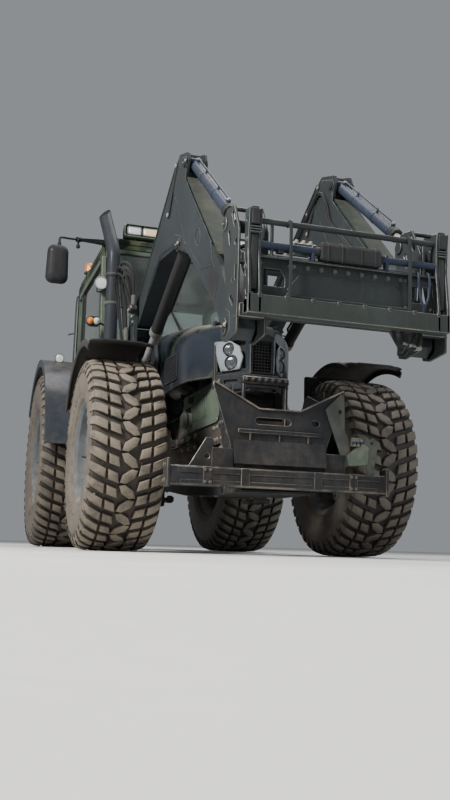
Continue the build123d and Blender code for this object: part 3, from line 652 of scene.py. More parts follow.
def fabric(name, base, scale=520.0):
    n = Net(name)
    w1 = n.nt.nodes.new("ShaderNodeTexWave")
    w2 = n.nt.nodes.new("ShaderNodeTexWave")
    for w, d in ((w1, "Y"), (w2, "Z")):
        n.nt.links.new(n.tc.outputs["Object"], w.inputs["Vector"])
        w.bands_direction = d
        w.inputs["Scale"].default_value = scale
        w.inputs["Distortion"].default_value = 1.2
        w.inputs["Detail"].default_value = 1.0
    weave = n.math("MULTIPLY", w1.outputs["Fac"], w2.outputs["Fac"])
    col = n.mix(weave, mul(base, 0.7), mul(base, 1.6))
    col = n.mix(n.ramp(n.noise(9, 5), 0.45, 0.75, 0, 0.35), col, mul(DUST, 0.5))
    n.set(color=col, rough=n.ramp(n.noise(30, 3), 0.3, 0.7, 0.82, 0.95))
    n.b.inputs["Sheen Weight"].default_value = 0.3
    n.bump(n.math("ADD", weave, n.math("MULTIPLY", n.noise(90, 3), 0.4)), 0.5, 0.0012)
    return n.m


def camo(name, green, dark, black, rough=0.4, cheeks=False, coat=0.18, spec=0.35):
    """Hood paint: soft-edged patches of generic forest camouflage over olive green, with dust."""
    n = Net(name)
    p1 = n.ramp(n.noise(2.35, 1.2, 0.45, vec=n.mapping((1.0, 1.15, 1.25), (0.2, 0.5, 0.9)), dist=0.5), 0.475, 0.49)
    p2 = n.ramp(n.noise(3.1, 1.2, 0.45, vec=n.mapping((0.9, 1.2, 1.1), (0.9, 0.1, 0.4)), dist=0.6), 0.575, 0.587)
    tone = n.mix(n.ramp(n.noise(2.2, 3), 0.35, 0.65), mul(green, 0.86), mul(green, 1.14))
    col = n.mix(p2, n.mix(p1, tone, dark), black)
    X, Y, Z = n.xyz("Object")[0], n.math("ABSOLUTE", n.xyz("Object")[1]), n.xyz("Object")[2]
    wob = n.math("MULTIPLY", n.noise(4.2, 1.5, 0.5), 0.75)

    def patch_at(cx, cz, rx, rz, lim=1.25):
        a_ = n.math("POWER", n.math("MULTIPLY", n.math("SUBTRACT", X, cx), 1.0 / rx), 2.0)
        b_ = n.math("POWER", n.math("MULTIPLY", n.math("SUBTRACT", Z, cz), 1.0 / rz), 2.0)
        return n.ramp(n.math("ADD", n.math("ADD", a_, b_), wob), lim + 0.03, lim)

    cheek = n.math("MULTIPLY", patch_at(1.03, 1.47, 0.36, 0.26), n.ramp(Y, 0.16, 0.18))
    nose = n.math("MULTIPLY", n.math("MULTIPLY", n.ramp(n.math("ADD", Y, n.math("MULTIPLY", wob, 0.16)), 0.31, 0.30), n.ramp(X, 0.86, 0.90)), n.ramp(Z, 1.56, 1.58))
    if cheeks:
        col = n.mix(cheek, col, (0.016, 0.021, 0.030))
        col = n.mix(nose, col, black)
    fine = n.noise(130, 3)
    up = n.ramp(n.xyz("Normal")[2], 0.2, 0.95)
    ground = n.ramp(n.xyz("Object")[2], 1.5, 0.9)
    patch = n.ramp(n.noise(5.0, 6, 0.62), 0.38, 0.68)
    amount = n.math("MULTIPLY", n.math("ADD", n.math("MULTIPLY", up, 0.3), n.math("MULTIPLY", ground, 0.35)), n.math("ADD", n.math("MULTIPLY", patch, 0.7), n.math("MULTIPLY", n.ramp(fine, 0.42, 0.64), 0.3)), True)
    col = n.mix(amount, col, DUST)
    n.set(color=col, rough=n.math("ADD", n.math("MULTIPLY", amount, 0.4), rough, True))
    n.b.inputs["Coat Weight"].default_value = coat
    n.b.inputs["Specular IOR Level"].default_value = spec
    n.b.inputs["Coat Roughness"].default_value = 0.3
    n.bump(n.math("ADD", n.math("MULTIPLY", fine, 0.25), n.math("MULTIPLY", amount, 0.9)), 0.1, 0.0012)
    return n.m


GREEN = (0.042, 0.060, 0.038)
PALE = (0.068, 0.096, 0.073)
LOADER = (0.0105, 0.0160, 0.0195)
BLUE = (0.011, 0.020, 0.040)
DARKB = (0.017, 0.022, 0.029)
BLACK = (0.016, 0.018, 0.021)

M = {
    "green": paint("green_paint", GREEN, dust=0.35, low=0.35, rough=0.4, coat=0.12, streak=0.16),
    "green_edge": edge("green_edge", GREEN, 1.5),
    "pale": paint("pale_green_paint", PALE, dust=0.4, low=0.45, rough=0.46, streak=0.18),
    "camo": camo("hood_camouflage", (0.036, 0.047, 0.036), (0.013, 0.018, 0.025), (0.008, 0.011, 0.012), rough=0.25, cheeks=True),
    "camo_roof": camo("roof_camouflage", (0.046, 0.060, 0.030), (0.020, 0.026, 0.022), (0.011, 0.014, 0.012), rough=0.62, coat=0.0, spec=0.12),
    "loader": paint("loader_paint", LOADER, dust=0.2, low=0.2, rough=0.27, coat=0.22, streak=0.05, chips=0.18, chipcol=(0.08, 0.08, 0.076)),
    "loader_edge": edge("loader_edge", LOADER, 1.9, (0.07, 0.078, 0.082)),
    "loader_green": paint("loader_green_strip", (0.016, 0.023, 0.020), dust=0.14, low=0.2, rough=0.36),
    "blue": paint("tilt_barrel_paint", BLUE, dust=0.15, low=0.2, rough=0.3, coat=0.12, spec=0.25),
    "carrier": paint("carrier_paint", (0.012, 0.017, 0.019), dust=0.22, low=0.2, rough=0.3, coat=0.15, streak=0.05, chips=0.35, chipcol=(0.08, 0.06, 0.045)),
    "carrier_edge": edge("carrier_edge", (0.024, 0.031, 0.032), 1.7, (0.085, 0.085, 0.078)),
    "worn": paint("worn_bottom_bar", (0.026, 0.033, 0.031), dust=0.45, low=0.3, rough=0.42, chips=0.8, chipcol=(0.06, 0.052, 0.045), streak=0.15, bump=0.4, dustcol=(0.15, 0.14, 0.11)),
    "guard": paint("guard_steel", (0.010, 0.012, 0.015), dust=0.6, low=0.34, rough=0.42, bump=0.35, chips=0.5, chipcol=(0.07, 0.052, 0.04), dustcol=(0.12, 0.096, 0.074), streak=0.2),
    "guard_edge": edge("guard_edge", (0.022, 0.022, 0.022), 1.5, (0.078, 0.068, 0.058)),
    "guard_light": paint("guard_light_plates", (0.046, 0.052, 0.047), dust=0.45, low=0.4, rough=0.5, dustcol=(0.21, 0.185, 0.145)),
    "cast": paint("cast_dark", (0.026, 0.026, 0.026), dust=0.6, low=0.8, rough=0.6, bump=0.55, grain=160, dustcol=(0.2, 0.155, 0.11), streak=0.3),
    "black": paint("black_plastic", BLACK, dust=0.4, low=0.45, rough=0.44, bump=0.2, grain=700),
    "blackblue": paint("blue_black_plastic", (0.010, 0.016, 0.027), dust=0.3, low=0.45, rough=0.26, bump=0.18, grain=520, coat=0.3),
    "gloss": paint("gloss_black", (0.007, 0.008, 0.010), dust=0.06, low=0.12, rough=0.24, coat=0.06, bump=0.04, spec=0.25),
    "satin": paint("satin_black_paint", (0.011, 0.012, 0.014), dust=0.08, low=0.3, rough=0.28, coat=0.1),
    "dark": paint("dark_paint", DARKB, dust=0.35, low=0.5, rough=0.4),
    "dark_edge": edge("dark_edge", (0.035, 0.042, 0.05), 1.7, (0.12, 0.12, 0.115)),
    "rim": paint("rim_paint", (0.075, 0.088, 0.098), dust=0.45, low=0.35, rough=0.4, dustcol=(0.33, 0.29, 0.23), bump=0.2),
    "rim_hub": paint("hub_paint", (0.20, 0.245, 0.225), dust=0.4, low=0.25, rough=0.48, dustcol=(0.38, 0.35, 0.28)),
    "chrome": metal("hard_chrome", (0.40, 0.405, 0.41), 0.18, 0.28, 1.0),
    "steel": metal("bare_steel", (0.27, 0.27, 0.255), 0.36, 0.35, 0.9),
    "zinc": metal("zinc_plated", (0.34, 0.33, 0.29), 0.36, 0.3, 0.85),
    "bolt_dark": metal("bolt_dark", (0.15, 0.145, 0.135), 0.42, 0.3, 0.8),
    "silver": paint("silver_bezel", (0.225, 0.258, 0.285), dust=0.25, low=0.2, rough=0.25, metal=0.35, coat=0.3, bump=0.05),
    "reflector": metal("lamp_reflector", (0.75, 0.76, 0.77), 0.12, 0.05, 1.0, 0.05),
    "exhaust": paint("exhaust_black", (0.0105, 0.0145, 0.021), dust=0.06, low=0.15, rough=0.24, metal=0.1, coat=0.12, bump=0.12, streak=0.04, spec=0.35),
    # soot inside the exhaust end; the same matt black also backs the grille as painted shade
    "soot_and_painted_shade": paint("soot_and_painted_shade", (0.01, 0.01, 0.01), dust=0.05, low=0.0, rough=0.85, bump=0.4),
    "hose": paint("hose_rubber", (0.012, 0.013, 0.015), dust=0.12, low=0.35, rough=0.46, bump=0.4, grain=900),
    "seal": paint("rubber_seal", (0.013, 0.013, 0.014), dust=0.25, low=0.3, rough=0.6, bump=0.2),
    "glass": glass("cab_glass", (0.66, 0.75, 0.72), 0.016),
    "lens": lens("clear_lens"),
    # headlamps: lens with a dark tint and bowl in dark metal, a shaded copy of the bright reflector, as painted shade
    # in the lamps
    "lens_painted_shade": lens("headlamp_lens", tint=(0.17, 0.19, 0.21), trans=0.7, bump=0.15),
    "reflector_painted_shade": metal("headlamp_bowl", (0.12, 0.13, 0.145), 0.12, 0.04, 1.0, 0.04),
    "lens_smooth": lens("clear_cover", trans=0.85, bump=0.02),
    "lens_warm": lens("work_lamp_lens", tint=(0.95, 0.74, 0.48), trans=0.3),
    "amber": lens("amber_lens", tint=(0.95, 0.26, 0.02), trans=0.45, scale=40),
    "red": lens("red_lens", tint=(0.6, 0.02, 0.015), trans=0.4, scale=40),
    "mirror": metal("mirror_glass", (0.8, 0.82, 0.83), 0.03, 0.02, 1.0, 0.0),
    "seat": fabric("seat_fabric", (0.032, 0.034, 0.04)),
    "seat_side": fabric("seat_side_fabric", (0.06, 0.062, 0.06), 700),
    "screen": paint("display_glass", (0.02, 0.03, 0.035), dust=0.05, low=0.0, rough=0.08, coat=0.6, bump=0.02),
    "mat": paint("floor_mat", (0.02, 0.02, 0.021), dust=0.6, low=0.2, rough=0.75, bump=0.6, grain=300),
}
# tan dust per wheel, partly dust and partly painted light: the right-hand tyres, lit more brightly, get more tan
for key, amount in (("fr", 0.70), ("fl", 0.34), ("rr", 0.50), ("rl", 0.36)):
    M["top_" + key] = rubber_top("tread_top_" + key, amount)
    # grooves and block sides: brown mud, and rubber darker than on the block tops as painted shade between the blocks
    M["groove_" + key] = rubber_top("tread_groove_" + key, amount * 0.45, tan=(0.11, 0.08, 0.055), dark=(0.012, 0.011, 0.010))
    M["wall_" + key] = rubber_top("sidewall_" + key, amount * 0.85, tan=(0.225, 0.185, 0.14), dark=(0.040, 0.037, 0.034))
MUDM = rubber_top("dried_mud", 1.0, tan=(0.15, 0.122, 0.09), dark=(0.065, 0.052, 0.04))


# =============================================================== wheels
# One row per wheel: tag, body, side, axle x, axle z, half track, radius, width, rim radius, rows, material key
WHEELS = [
    ("front_right", "front_wheel_right", -1, 2995.0, 705.0, 965.0, 705.0, 540.0, 372.0, 40, "fr"),
    ("front_left", "front_wheel_left", 1, 2995.0, 705.0, 965.0, 705.0, 540.0, 372.0, 40, "fl"),
    ("rear_right", "rear_wheel_right", -1, 0.0, 905.0, 950.0, 905.0, 650.0, 500.0, 48, "rr"),
    ("rear_left", "rear_wheel_left", 1, 0.0, 905.0, 950.0, 905.0, 650.0, 500.0, 48, "rl"),
]


def crown(u, r, w):
    """Radius of the tread over the tyre's width."""
    h = w / 2
    a = abs(u) / h
    for (a0, r0), (a1, r1) in zip(((0, 0), (0.55, 2), (0.80, 8), (0.93, 28), (1.0, 95)), ((0.55, 2), (0.80, 8), (0.93, 28), (1.0, 95), (1.01, 96))):
        if a <= a1:
            return r - (r0 + (r1 - r0) * (a - a0) / (a1 - a0))
    return r - 96


def block(cx, cz, ym, poly, r, w, depth, taper=3.0, ch=7.0, jig=0.0, lift=0.0):
    """One tread block: poly is (offset across, angle along in radians); it stands on the casing."""
    n = len(poly)
    q = [(u, a * r) for u, a in poly]
    if area2(q) < 0:
        q = q[::-1]
    v = []
    for d, ins in ((depth, -taper), (ch, -0.0), (ch * 0.3, ch * 0.35), (0.0, ch)):
        for u, s in inset(q, ins):
            R = crown(u, r, w) - d + lift
            a = s / r
            v.append((cx + R * cos(a), ym + u, cz + R * sin(a)))
    f, mm = [], []
    for k in range(n):
        k2 = (k + 1) % n
        for t, mk in ((0, 1), (1, 0), (2, 0)):
            f.append([t * n + k, t * n + k2, (t + 1) * n + k2, (t + 1) * n + k])
            mm.append(mk)
    f.append([3 * n + k for k in range(n)])
    mm.append(0)
    f.append(list(reversed(range(n))))
    mm.append(1)
    return P(v, f, mm)


def tyre(tag, body, side, cx, cz, track, r, w, rim, rows, key):
    ym = side * track
    h = w / 2
    k = w / 540.0
    # casing: side wall, bead, shoulder and tread base as one closed turned shape (offset across, radius)
    prof = [(h * 0.80, rim), (h * 0.84, rim + 8), (h * 0.865, rim + 22), (h * 0.91, rim + 28), (h * 0.935, rim + 40), (h * 0.945, rim + 62),
            (h * 0.955, rim + 66), (h * 0.975, rim + 100), (h * 0.985, rim + (r - rim) * 0.42), (h * 0.99, rim + (r - rim) * 0.5),
            (h * 0.985, r - 118), (h * 0.965, r - 104), (h * 0.955, r - 84), (h * 0.90, r - 50), (h * 0.80, r - 42), (h * 0.5, r - 37), (h * 0.2, r - 35)]
    ms = []
    outline_ = prof + [(-u, q) for u, q in reversed(prof)]
    for i in range(len(outline_)):
        ms.append(1 if 12 <= i < 2 * len(prof) - 13 else 2)
    parts = [ringsolid(outline_, (cx, ym, cz), (0, 1, 0), 128, 2, ms)]
    pitch = 2 * pi / rows
    R = random.Random(hash_of(tag))
    skew = 0.50

    def row(pts, a, shift=0.0):
        return [(u, a + (s + shift) * pitch + skew * abs(u) / r) for u, s in pts]

    for i in range(rows):
        a = i * pitch
        for sd in (1, -1):
            off = 0.0 if sd == 1 else 0.5
            j = lambda: R.uniform(-0.018, 0.018)
            # outer block runs over the shoulder, inner block beside it
            o_ = [(sd * 160 * k, -0.30 + j()), (sd * 205 * k, -0.31 + j()), (sd * 247 * k, -0.29), (sd * 247 * k, 0.29), (sd * 205 * k, 0.31 + j()), (sd * 160 * k, 0.30 + j())]
            i_ = [(sd * 64 * k, -0.22 + j()), (sd * 140 * k, -0.32 + j()), (sd * 144 * k, 0.28 + j()), (sd * 76 * k, 0.36 + j())]
            parts.append(block(cx, cz, ym, row(o_, a, off), r, w, 56, lift=R.uniform(-1.5, 0)))
            parts.append(block(cx, cz, ym, row(i_, a, off + 0.08), r, w, 44, lift=R.uniform(-1.5, 0)))
            # lug on the shoulder below the outer block
            lug = [(sd * (h - 0.5), r - 110, -0.16), (sd * (h + 0.0), r - 98, -0.20), (sd * h * 0.955, r - 52, -0.26), (sd * h * 0.90, r - 34, -0.28)]
            v = []
            for u, rr_, s in lug:
                for ss in (s, -s):
                    aa = a + (ss + off) * pitch + skew * abs(u) / r
                    v.append((cx + rr_ * cos(aa), ym + u, cz + rr_ * sin(aa)))
            for u, rr_, s in reversed(lug):
                for ss in (s * 1.12, -s * 1.12):
                    aa = a + (ss + off) * pitch + skew * abs(u) / r
                    v.append((cx + (rr_ - 22) * cos(aa), ym + u - sd * 22, cz + (rr_ - 22) * sin(aa)))
            f = []
            for q in range(7):
                f.append([2 * q, 2 * q + 1, 2 * q + 3, 2 * q + 2])
            f.append([14, 15, 1, 0])
            f.append([0, 2, 4, 6, 8, 10, 12, 14])
            f.append([15, 13, 11, 9, 7, 5, 3, 1])
            parts.append(P(v, f, [0, 0, 0, 1, 1, 1, 1, 1, 1, 1]))
        # middle: long blocks that lean left and right in turn and lock into each other
        c1 = [(-60 * k, -0.40), (-18 * k, -0.47), (40 * k, -0.10), (60 * k, 0.40), (18 * k, 0.47), (-40 * k, 0.10)]
        c2 = [(60 * k, -0.40), (18 * k, -0.47), (-40 * k, -0.10), (-60 * k, 0.40), (-18 * k, 0.47), (40 * k, 0.10)]
        cc = c1 if i % 2 == 0 else c2
        parts.append(block(cx, cz, ym, [(u, a + (s + 0.1) * pitch) for u, s in cc], r, w, 40, lift=R.uniform(-1.5, 0)))
    # raised bars on the side wall, plain
    for sd in (1, -1):
        for i in range(rows):
            a = (i + 0.5) * pitch
            r0, r1 = rim + 72, rim + 92
            u = h * 0.968
            v = []
            for uu, ra, rb in ((u - 8, r0, r1), (u + 2.0, r0 + 2, r1 - 2)):
                for rr_, s in ((ra, -0.2), (ra, 0.2), (rb, 0.2), (rb, -0.2)):
                    v.append((cx + rr_ * cos(a + s * pitch), ym + sd * uu, cz + rr_ * sin(a + s * pitch)))
            parts.append(P(v, [[0, 1, 2, 3], [4, 5, 6, 7], [0, 1, 5, 4], [1, 2, 6, 5], [2, 3, 7, 6], [3, 0, 4, 7]], 2))
    return make("tyre_" + tag, body, [M["top_" + key], M["groove_" + key], M["wall_" + key]], parts, slot="tyre_rubber",
                replaces=[tag.split("_")[0] + "_tyre_" + tag.split("_")[1]], sharp=40, wn=False)


def hash_of(s):
    return sum((i + 3) * ord(c) for i, c in enumerate(s))


def rim_piece(tag, body, side, cx, cz, track, r, w, rim, rows, key):
    ym = side * track
    front = w < 600
    h = w * 0.40
    o, d = (cx, ym, cz), (0, side, 0)
    hub_r = 146 if front else 132
    bore = 60.05 if front else 70.05
    hole = [(u, q) for u, q in (
        (h + 12, rim + 12), (h + 15, rim + 6), (h + 12, rim - 2), (h + 2, rim - 10), (h - 8, rim - 22), (h - 46, rim - 28),
        (h - 60, rim - 34), (h - 66, rim - 52), (h - 92, rim - 58), (60, rim - 64), (46, rim - 74), (36, rim - 110), (22, hub_r + 62), (14, hub_r + 20),
        (14, bore + 6), (8, bore), (-46, bore), (-46, hub_r + 40), (-30, rim - 110), (-16, rim - 76), (-60, rim - 66),
        (-h + 50, rim - 62), (-h + 20, rim - 40), (-h - 2, rim - 12), (-h - 10, rim + 6), (-h - 4, rim + 10), (-h + 4, rim - 2), (h - 6, rim - 2))]
    parts = [ringsolid(hole, o, d, 112, 0)]
    # planetary hub in the dish: stepped drum with a flat face and a ring of bolts
    parts.append(lathe([(10, bore + 4), (10, hub_r + 8), (24, hub_r + 8), (29, hub_r), (50, hub_r - 6), (58, hub_r - 14), (60, hub_r - 26),
                        (56, hub_r - 32), (56, 46), (60, 40), (60, 0)], o, d, 72, 1))
    _, a_, b_ = basis(d)
    for i in range(10):
        w_ = 2 * pi * i / 10
        c = Vector(o) + Vector(d) * 22 + a_ * ((hub_r + 36) * cos(w_)) + b_ * ((hub_r + 36) * sin(w_))
        parts += [p.mat(2) for p in bolt(c, d, 15, 24)]
        parts.append(lathe([(20, 0), (20, 8), (38, 8), (40, 6), (40, 0)], c - Vector(d) * 4, d, 10, 2))
    for i in range(8):
        w_ = 2 * pi * (i + 0.5) / 8
        c = Vector(o) + Vector(d) * 58 + a_ * ((hub_r - 46) * cos(w_)) + b_ * ((hub_r - 46) * sin(w_))
        parts += [p.mat(1) for p in bolt(c - Vector(d) * 2.5, d, 7.5, 8)]
    c = Vector(o) + Vector(d) * 58 + a_ * 42
    parts += [p.mat(2) for p in bolt(c - Vector(d) * 2, d, 11, 10)]
    # weld between disc and barrel, and lugs that hold the disc
    parts.append(torus(Vector(o) + Vector(d) * 54, d, rim - 66, 6, 72, 6, 0))
    for i in range(8):
        w_ = 2 * pi * (i + 0.5) / 8
        ring = []
        for u, rr_ in ((34, rim - 66), (74, rim - 62), (74, rim - 100), (34, rim - 130)):
            ring.append((u, rr_))
        q = plate([(rr_, u) for u, rr_ in ring], -22, 22, "xy", b=3)
        Mx = Matrix.Translation(Vector(o)) @ Matrix(((a_.x, b_.x, d[0], 0), (a_.y, b_.y, d[1], 0), (a_.z, b_.z, d[2], 0), (0, 0, 0, 1))) @ Matrix.Rotation(w_, 4, "Z")
        v = [(x, wv, y) for x, y, wv in q.v]
        parts.append(P([(x, y, z) for x, y, z in [(vv[0], vv[1], vv[2]) for vv in v]], q.f, 0).mv(Mx))
    # valve stem
    c = Vector(o) + Vector(d) * (h - 72) + a_ * (rim - 66)
    parts.append(lathe([(0, 0), (0, 8), (16, 8), (18, 5), (40, 5), (42, 7), (54, 7), (55, 0)], c, (Vector(d) * 0.8 - a_ * 0.6).normalized(), 12, 3))
    return make("rim_" + tag, body, [M["rim"], M["rim_hub"], M["rim"], M["seal"]], parts, slot="rim_paint",
                replaces=[tag.split("_")[0] + "_rim_" + tag.split("_")[1]], sharp=40)


for row_ in WHEELS:
    tyre(*row_)
    rim_piece(*row_)


def clod(c, r, seed, m=0):
    """A lump of dried mud."""
    R = random.Random(seed)
    bm = bmesh.new()
    bmesh.ops.create_icosphere(bm, subdivisions=2, radius=1.0)
    v = [(c[0] + q.co.x * r * R.uniform(0.8, 1.25), c[1] + q.co.y * r * R.uniform(0.7, 1.1), c[2] + q.co.z * r * R.uniform(0.7, 1.2)) for q in bm.verts]
    f = [[q.index for q in fc.verts] for fc in bm.faces]
    bm.free()
    return P(v, f, m)


for tag, body, side, cx, cz, track, r, w, rim, rows, key in WHEELS:
    R = random.Random(40 + hash_of(tag) % 97)
    clods = []
    for i in range(150):
        a = R.uniform(0, 2 * pi)
        if R.random() < 0.6:
            u, rr_ = side * w / 2 * R.uniform(0.93, 0.955), r - R.uniform(62, 92)
        else:
            u, rr_ = w / 2 * R.uniform(-0.88, 0.88), r - R.uniform(34, 38)
        clods.append(clod((cx + rr_ * cos(a), side * track + u, cz + rr_ * sin(a)), R.uniform(5, 13), i * 7 + 1))
    make("mud_on_tyre_" + tag, body, [MUDM], clods, slot="tyre_rubber", sharp=60, wn=False)

# front fenders: ribbed shell over the tyre, turned-up nose, rolled rim
for side, tag in ((1, "left"), (-1, "right")):
    cx, cz, Ro = 2995.0, 705.0, 850.0
    angs = [63.5, 65, 68, 72, 78, 85, 92, 100, 108, 116, 121, 124, 130, 137, 144, 149.5]
    cols = [0, 0.03, 0.07, 0.16, 0.20, 0.24, 0.5, 0.74, 0.78, 0.84, 0.93, 0.97, 1.0]
    grid = []
    for a in angs:
        row = []
        y0 = 762 if a <= 121 else 762 + (834 - 762) * min(1, (a - 121) / 3.0)
        y1 = 1238
        up = 34 * max(0, (68 - a) / 4.5) ** 1.5
        for c in cols:
            y = y0 + (y1 - y0) * c
            rib = 6.0 * (1 if 0.20 <= c <= 0.78 else 0)
            fall = 14 * max(0, (c - 0.86) / 0.14) ** 2 + 8 * max(0, (0.06 - c) / 0.06) ** 2
            R_ = Ro - 6 + rib - fall + up
            row.append((cx + R_ * cos(radians(a)), side * y, cz + R_ * sin(radians(a))))
        grid.append(row)
    sh = shell(grid if side < 0 else [list(reversed(r_)) for r_ in grid], 9.0, 0, 1)
    # flange hanging from the outer edge, and the rolled rim along it
    fl = []
    for a in angs:
        fl.append([(cx + R_ * cos(radians(a)), side * yy, cz + R_ * sin(radians(a))) for yy, R_ in ((1236, Ro - 16), (1239, Ro - 24), (1239, Ro - 40), (1237, Ro - 58))])
    sk = shell([list(reversed(r_)) for r_ in fl] if side < 0 else fl, 6.0, 0, 1)
    rimline = [(cx + (Ro - 60) * cos(radians(a)), side * 1236, cz + (Ro - 60) * sin(radians(a))) for a in angs]
    roll = sweep(curve(rimline, 3), 6.0, 8, 0)
    edge_up = sweep(curve([(cx + (Ro - 13) * cos(radians(a)), side * 1235, cz + (Ro - 13) * sin(radians(a))) for a in angs], 3), 5.0, 8, 2)
    inner = sweep(curve([(cx + (Ro - 14) * cos(radians(a)), side * (766 if a <= 121 else 766 + 72 * min(1, (a - 121) / 3.0)), cz + (Ro - 14) * sin(radians(a))) for a in angs], 3), 5.0, 8, 0)
    bolts_ = []
    for a in (84, 90, 96):
        for y in (830, 900, 1090):
            p = (cx + Ro * cos(radians(a)), side * y, cz + Ro * sin(radians(a)))
            bolts_.append(dome(p, (cos(radians(a)), 0, sin(radians(a))), 11, 6, 3))
    # the undersides take the tread groove finish: brown mud, with its darker base as painted shade under the fender
    make("front_fender_shell_" + tag, "knuckle_" + tag, [M["black"], M["groove_fl"], M["blackblue"], M["zinc"]], sh, sk, roll, edge_up, inner, bolts_,
         slot="black_plastic", replaces=["front_fender_" + tag], sharp=38)


# =============================================================== hood, nose, headlights, grille
def lerp_tab(tab, x):
    xs = [t[0] for t in tab]
    return float(np.interp(x, xs, [t[1] for t in tab]))


HOOD_TOP = [(1600, 1962), (2400, 1862), (3000, 1775), (3150, 1745), (3300, 1716), (3400, 1690), (3470, 1662), (3520, 1628), (3548, 1598), (3566, 1568)]
HOOD_SIDE = [(1600, 436), (2850, 438), (2950, 432), (3040, 413), (3110, 380), (3170, 342), (3220, 305), (3262, 275), (3400, 192), (3530, 114), (3552, 97), (3566, 82)]
HOOD_RY = [(1600, 150), (2600, 185), (3000, 225), (3110, 215), (3200, 160), (3262, 110), (3400, 66), (3530, 44), (3566, 34)]
HOOD_RZ = [(1600, 170), (2600, 185), (3000, 190), (3110, 170), (3200, 128), (3262, 98), (3400, 70), (3500, 44), (3540, 24), (3566, 6)]
HOOD_LOW = [(1600, 1300), (3312, 1300), (3345, 1255), (3395, 1172), (3566, 1168)]


def hood_half(x, k=9):
    """Half section of the hood at x: points (y, z) from the lower edge to the middle line."""
    W, H, ry, rz, zb = (lerp_tab(t, x) for t in (HOOD_SIDE, HOOD_TOP, HOOD_RY, HOOD_RZ, HOOD_LOW))
    out = []
    for z in (zb, max(zb + 6, 1342), 1402, 1455, 1508, 1562):
        tuck = 10.0 * max(0.0, (1450 - z) / 280.0) ** 2
        belly = 5.0 * sin(pi * min(1, max(0, (z - 1300) / 420.0)))
        out.append((W - 6 - tuck + belly, z))
    z1 = max(H - rz, 1564)
    for q in range(k + 1):
        t = pi / 2 * q / k
        out.append((W - ry + ry * cos(t) ** 0.86 - 1.0, z1 + (H - z1) * sin(t) ** 0.86))
    top = W - ry - 1.0
    for q in (0.75, 0.5, 0.25, 0.0):
        out.append((top * q, H + 7.0 * (1 - q * q)))
    return out


def hood_z(x, y):
    h = hood_half(x, 14)[6:]
    ys, zs = [p[0] for p in h][::-1], [p[1] for p in h][::-1]
    return float(np.interp(abs(y), ys, zs))


def shell_open(grid, t, skip, m=0, mi=None):
    """Sheet of thickness t with the cells in skip left open and their rims closed."""
    mi = m if mi is None else mi
    R, C = len(grid), len(grid[0])
    g = np.array([[tuple(p) for p in row] for row in grid], float)
    nn = np.cross(np.gradient(g, axis=0), np.gradient(g, axis=1))
    nn /= np.maximum(np.linalg.norm(nn, axis=2, keepdims=True), 1e-9)
    v = list(g.reshape(-1, 3)) + list((g - nn * t).reshape(-1, 3))
    o, f, mm = R * C, [], []

    def open_(i, j):
        return i < 0 or j < 0 or i >= R - 1 or j >= C - 1 or (i, j) in skip

    for i in range(R - 1):
        for j in range(C - 1):
            if (i, j) in skip:
                continue
            a, b_, c, d = i * C + j, i * C + j + 1, (i + 1) * C + j + 1, (i + 1) * C + j
            f += [[a, b_, c, d], [o + d, o + c, o + b_, o + a]]
            mm += [m, mi]
            for (p, q), (ni, nj) in (((a, b_), (i - 1, j)), ((b_, c), (i, j + 1)), ((c, d), (i + 1, j)), ((d, a), (i, j - 1))):
                if open_(ni, nj):
                    f.append([p, o + p, o + q, q])
                    mm.append(m)
    used = sorted({k for q in f for k in q})
    new = {k: i for i, k in enumerate(used)}
    return P([v[k] for k in used], [[new[k] for k in q] for q in f], mm)


HX = [1622, 1750, 1950, 2200, 2450, 2650, 2800, 2900, 2970, 3030, 3080, 3125, 3170, 3215, 3262, 3286, 3330, 3375, 3420, 3465, 3500, 3524, 3540, 3552, 3562]
hood_grid = []
for x_ in HX:
    h_ = hood_half(x_)
    hood_grid.append([(x_, -y, z) for y, z in h_] + [(x_, y, z) for y, z in h_[::-1][1:]])
NC = len(hood_grid[0])
skip_ = {(i, j) for i in range(15, 21) for j in (1, 2, 3, 4)} | {(i, NC - 2 - j) for i in range(15, 21) for j in (1, 2, 3, 4)}
hood_shell = shell_open(hood_grid, 7.0, skip_, 0, 1)

# front face of the nose round the grille, lower lip and the inner lamp walls
nose = [plate([(-84, 1170), (84, 1170), (84, 1568), (-84, 1568)], 3546, 3563, "yz", [[(-70, 1302), (70, 1302), (70, 1550), (-70, 1550)]], b=5, m=0, r=10),
        cbox(3440, 3556, -118, 118, 1168, 1178, 3, 0)]
ears = [cbox(1642, 1700, y - 11, y + 11, 1885, 1942, 5, 2) for y in (-220, 220)]
rear_rim = [sweep([(1626, y, z) for y, z in [(-(p[0] - 12), p[1]) for p in hood_half(1622)] + [(p[0] - 12, p[1] - 0) for p in hood_half(1622)[::-1][1:]]], 9, 8, 3)]
# raised top line along the hood and the edge of the side panels
ribs = []
for s_ in (1, -1):
    line = [(x_, s_ * (lerp_tab(HOOD_SIDE, x_) - lerp_tab(HOOD_RY, x_) - 8), lerp_tab(HOOD_TOP, x_) + 4) for x_ in (1660, 1900, 2200, 2500, 2800, 3000, 3120)]
    ribs.append(sweep(curve(line, 4), 6, 8, 0))
    ribs.append(sweep([(x_, s_ * (lerp_tab(HOOD_SIDE, x_) - 5), 1307) for x_ in (1640, 2000, 2400, 2800, 2940, 3030, 3100, 3160, 3215, 3262, 3300)], 7, 8, 0))
make("hood_shell", "hood", [M["camo"], M["satin"], M["dark"], M["seal"]], hood_shell, nose, ears, rear_rim, ribs, replaces=("hood",), sharp=38)
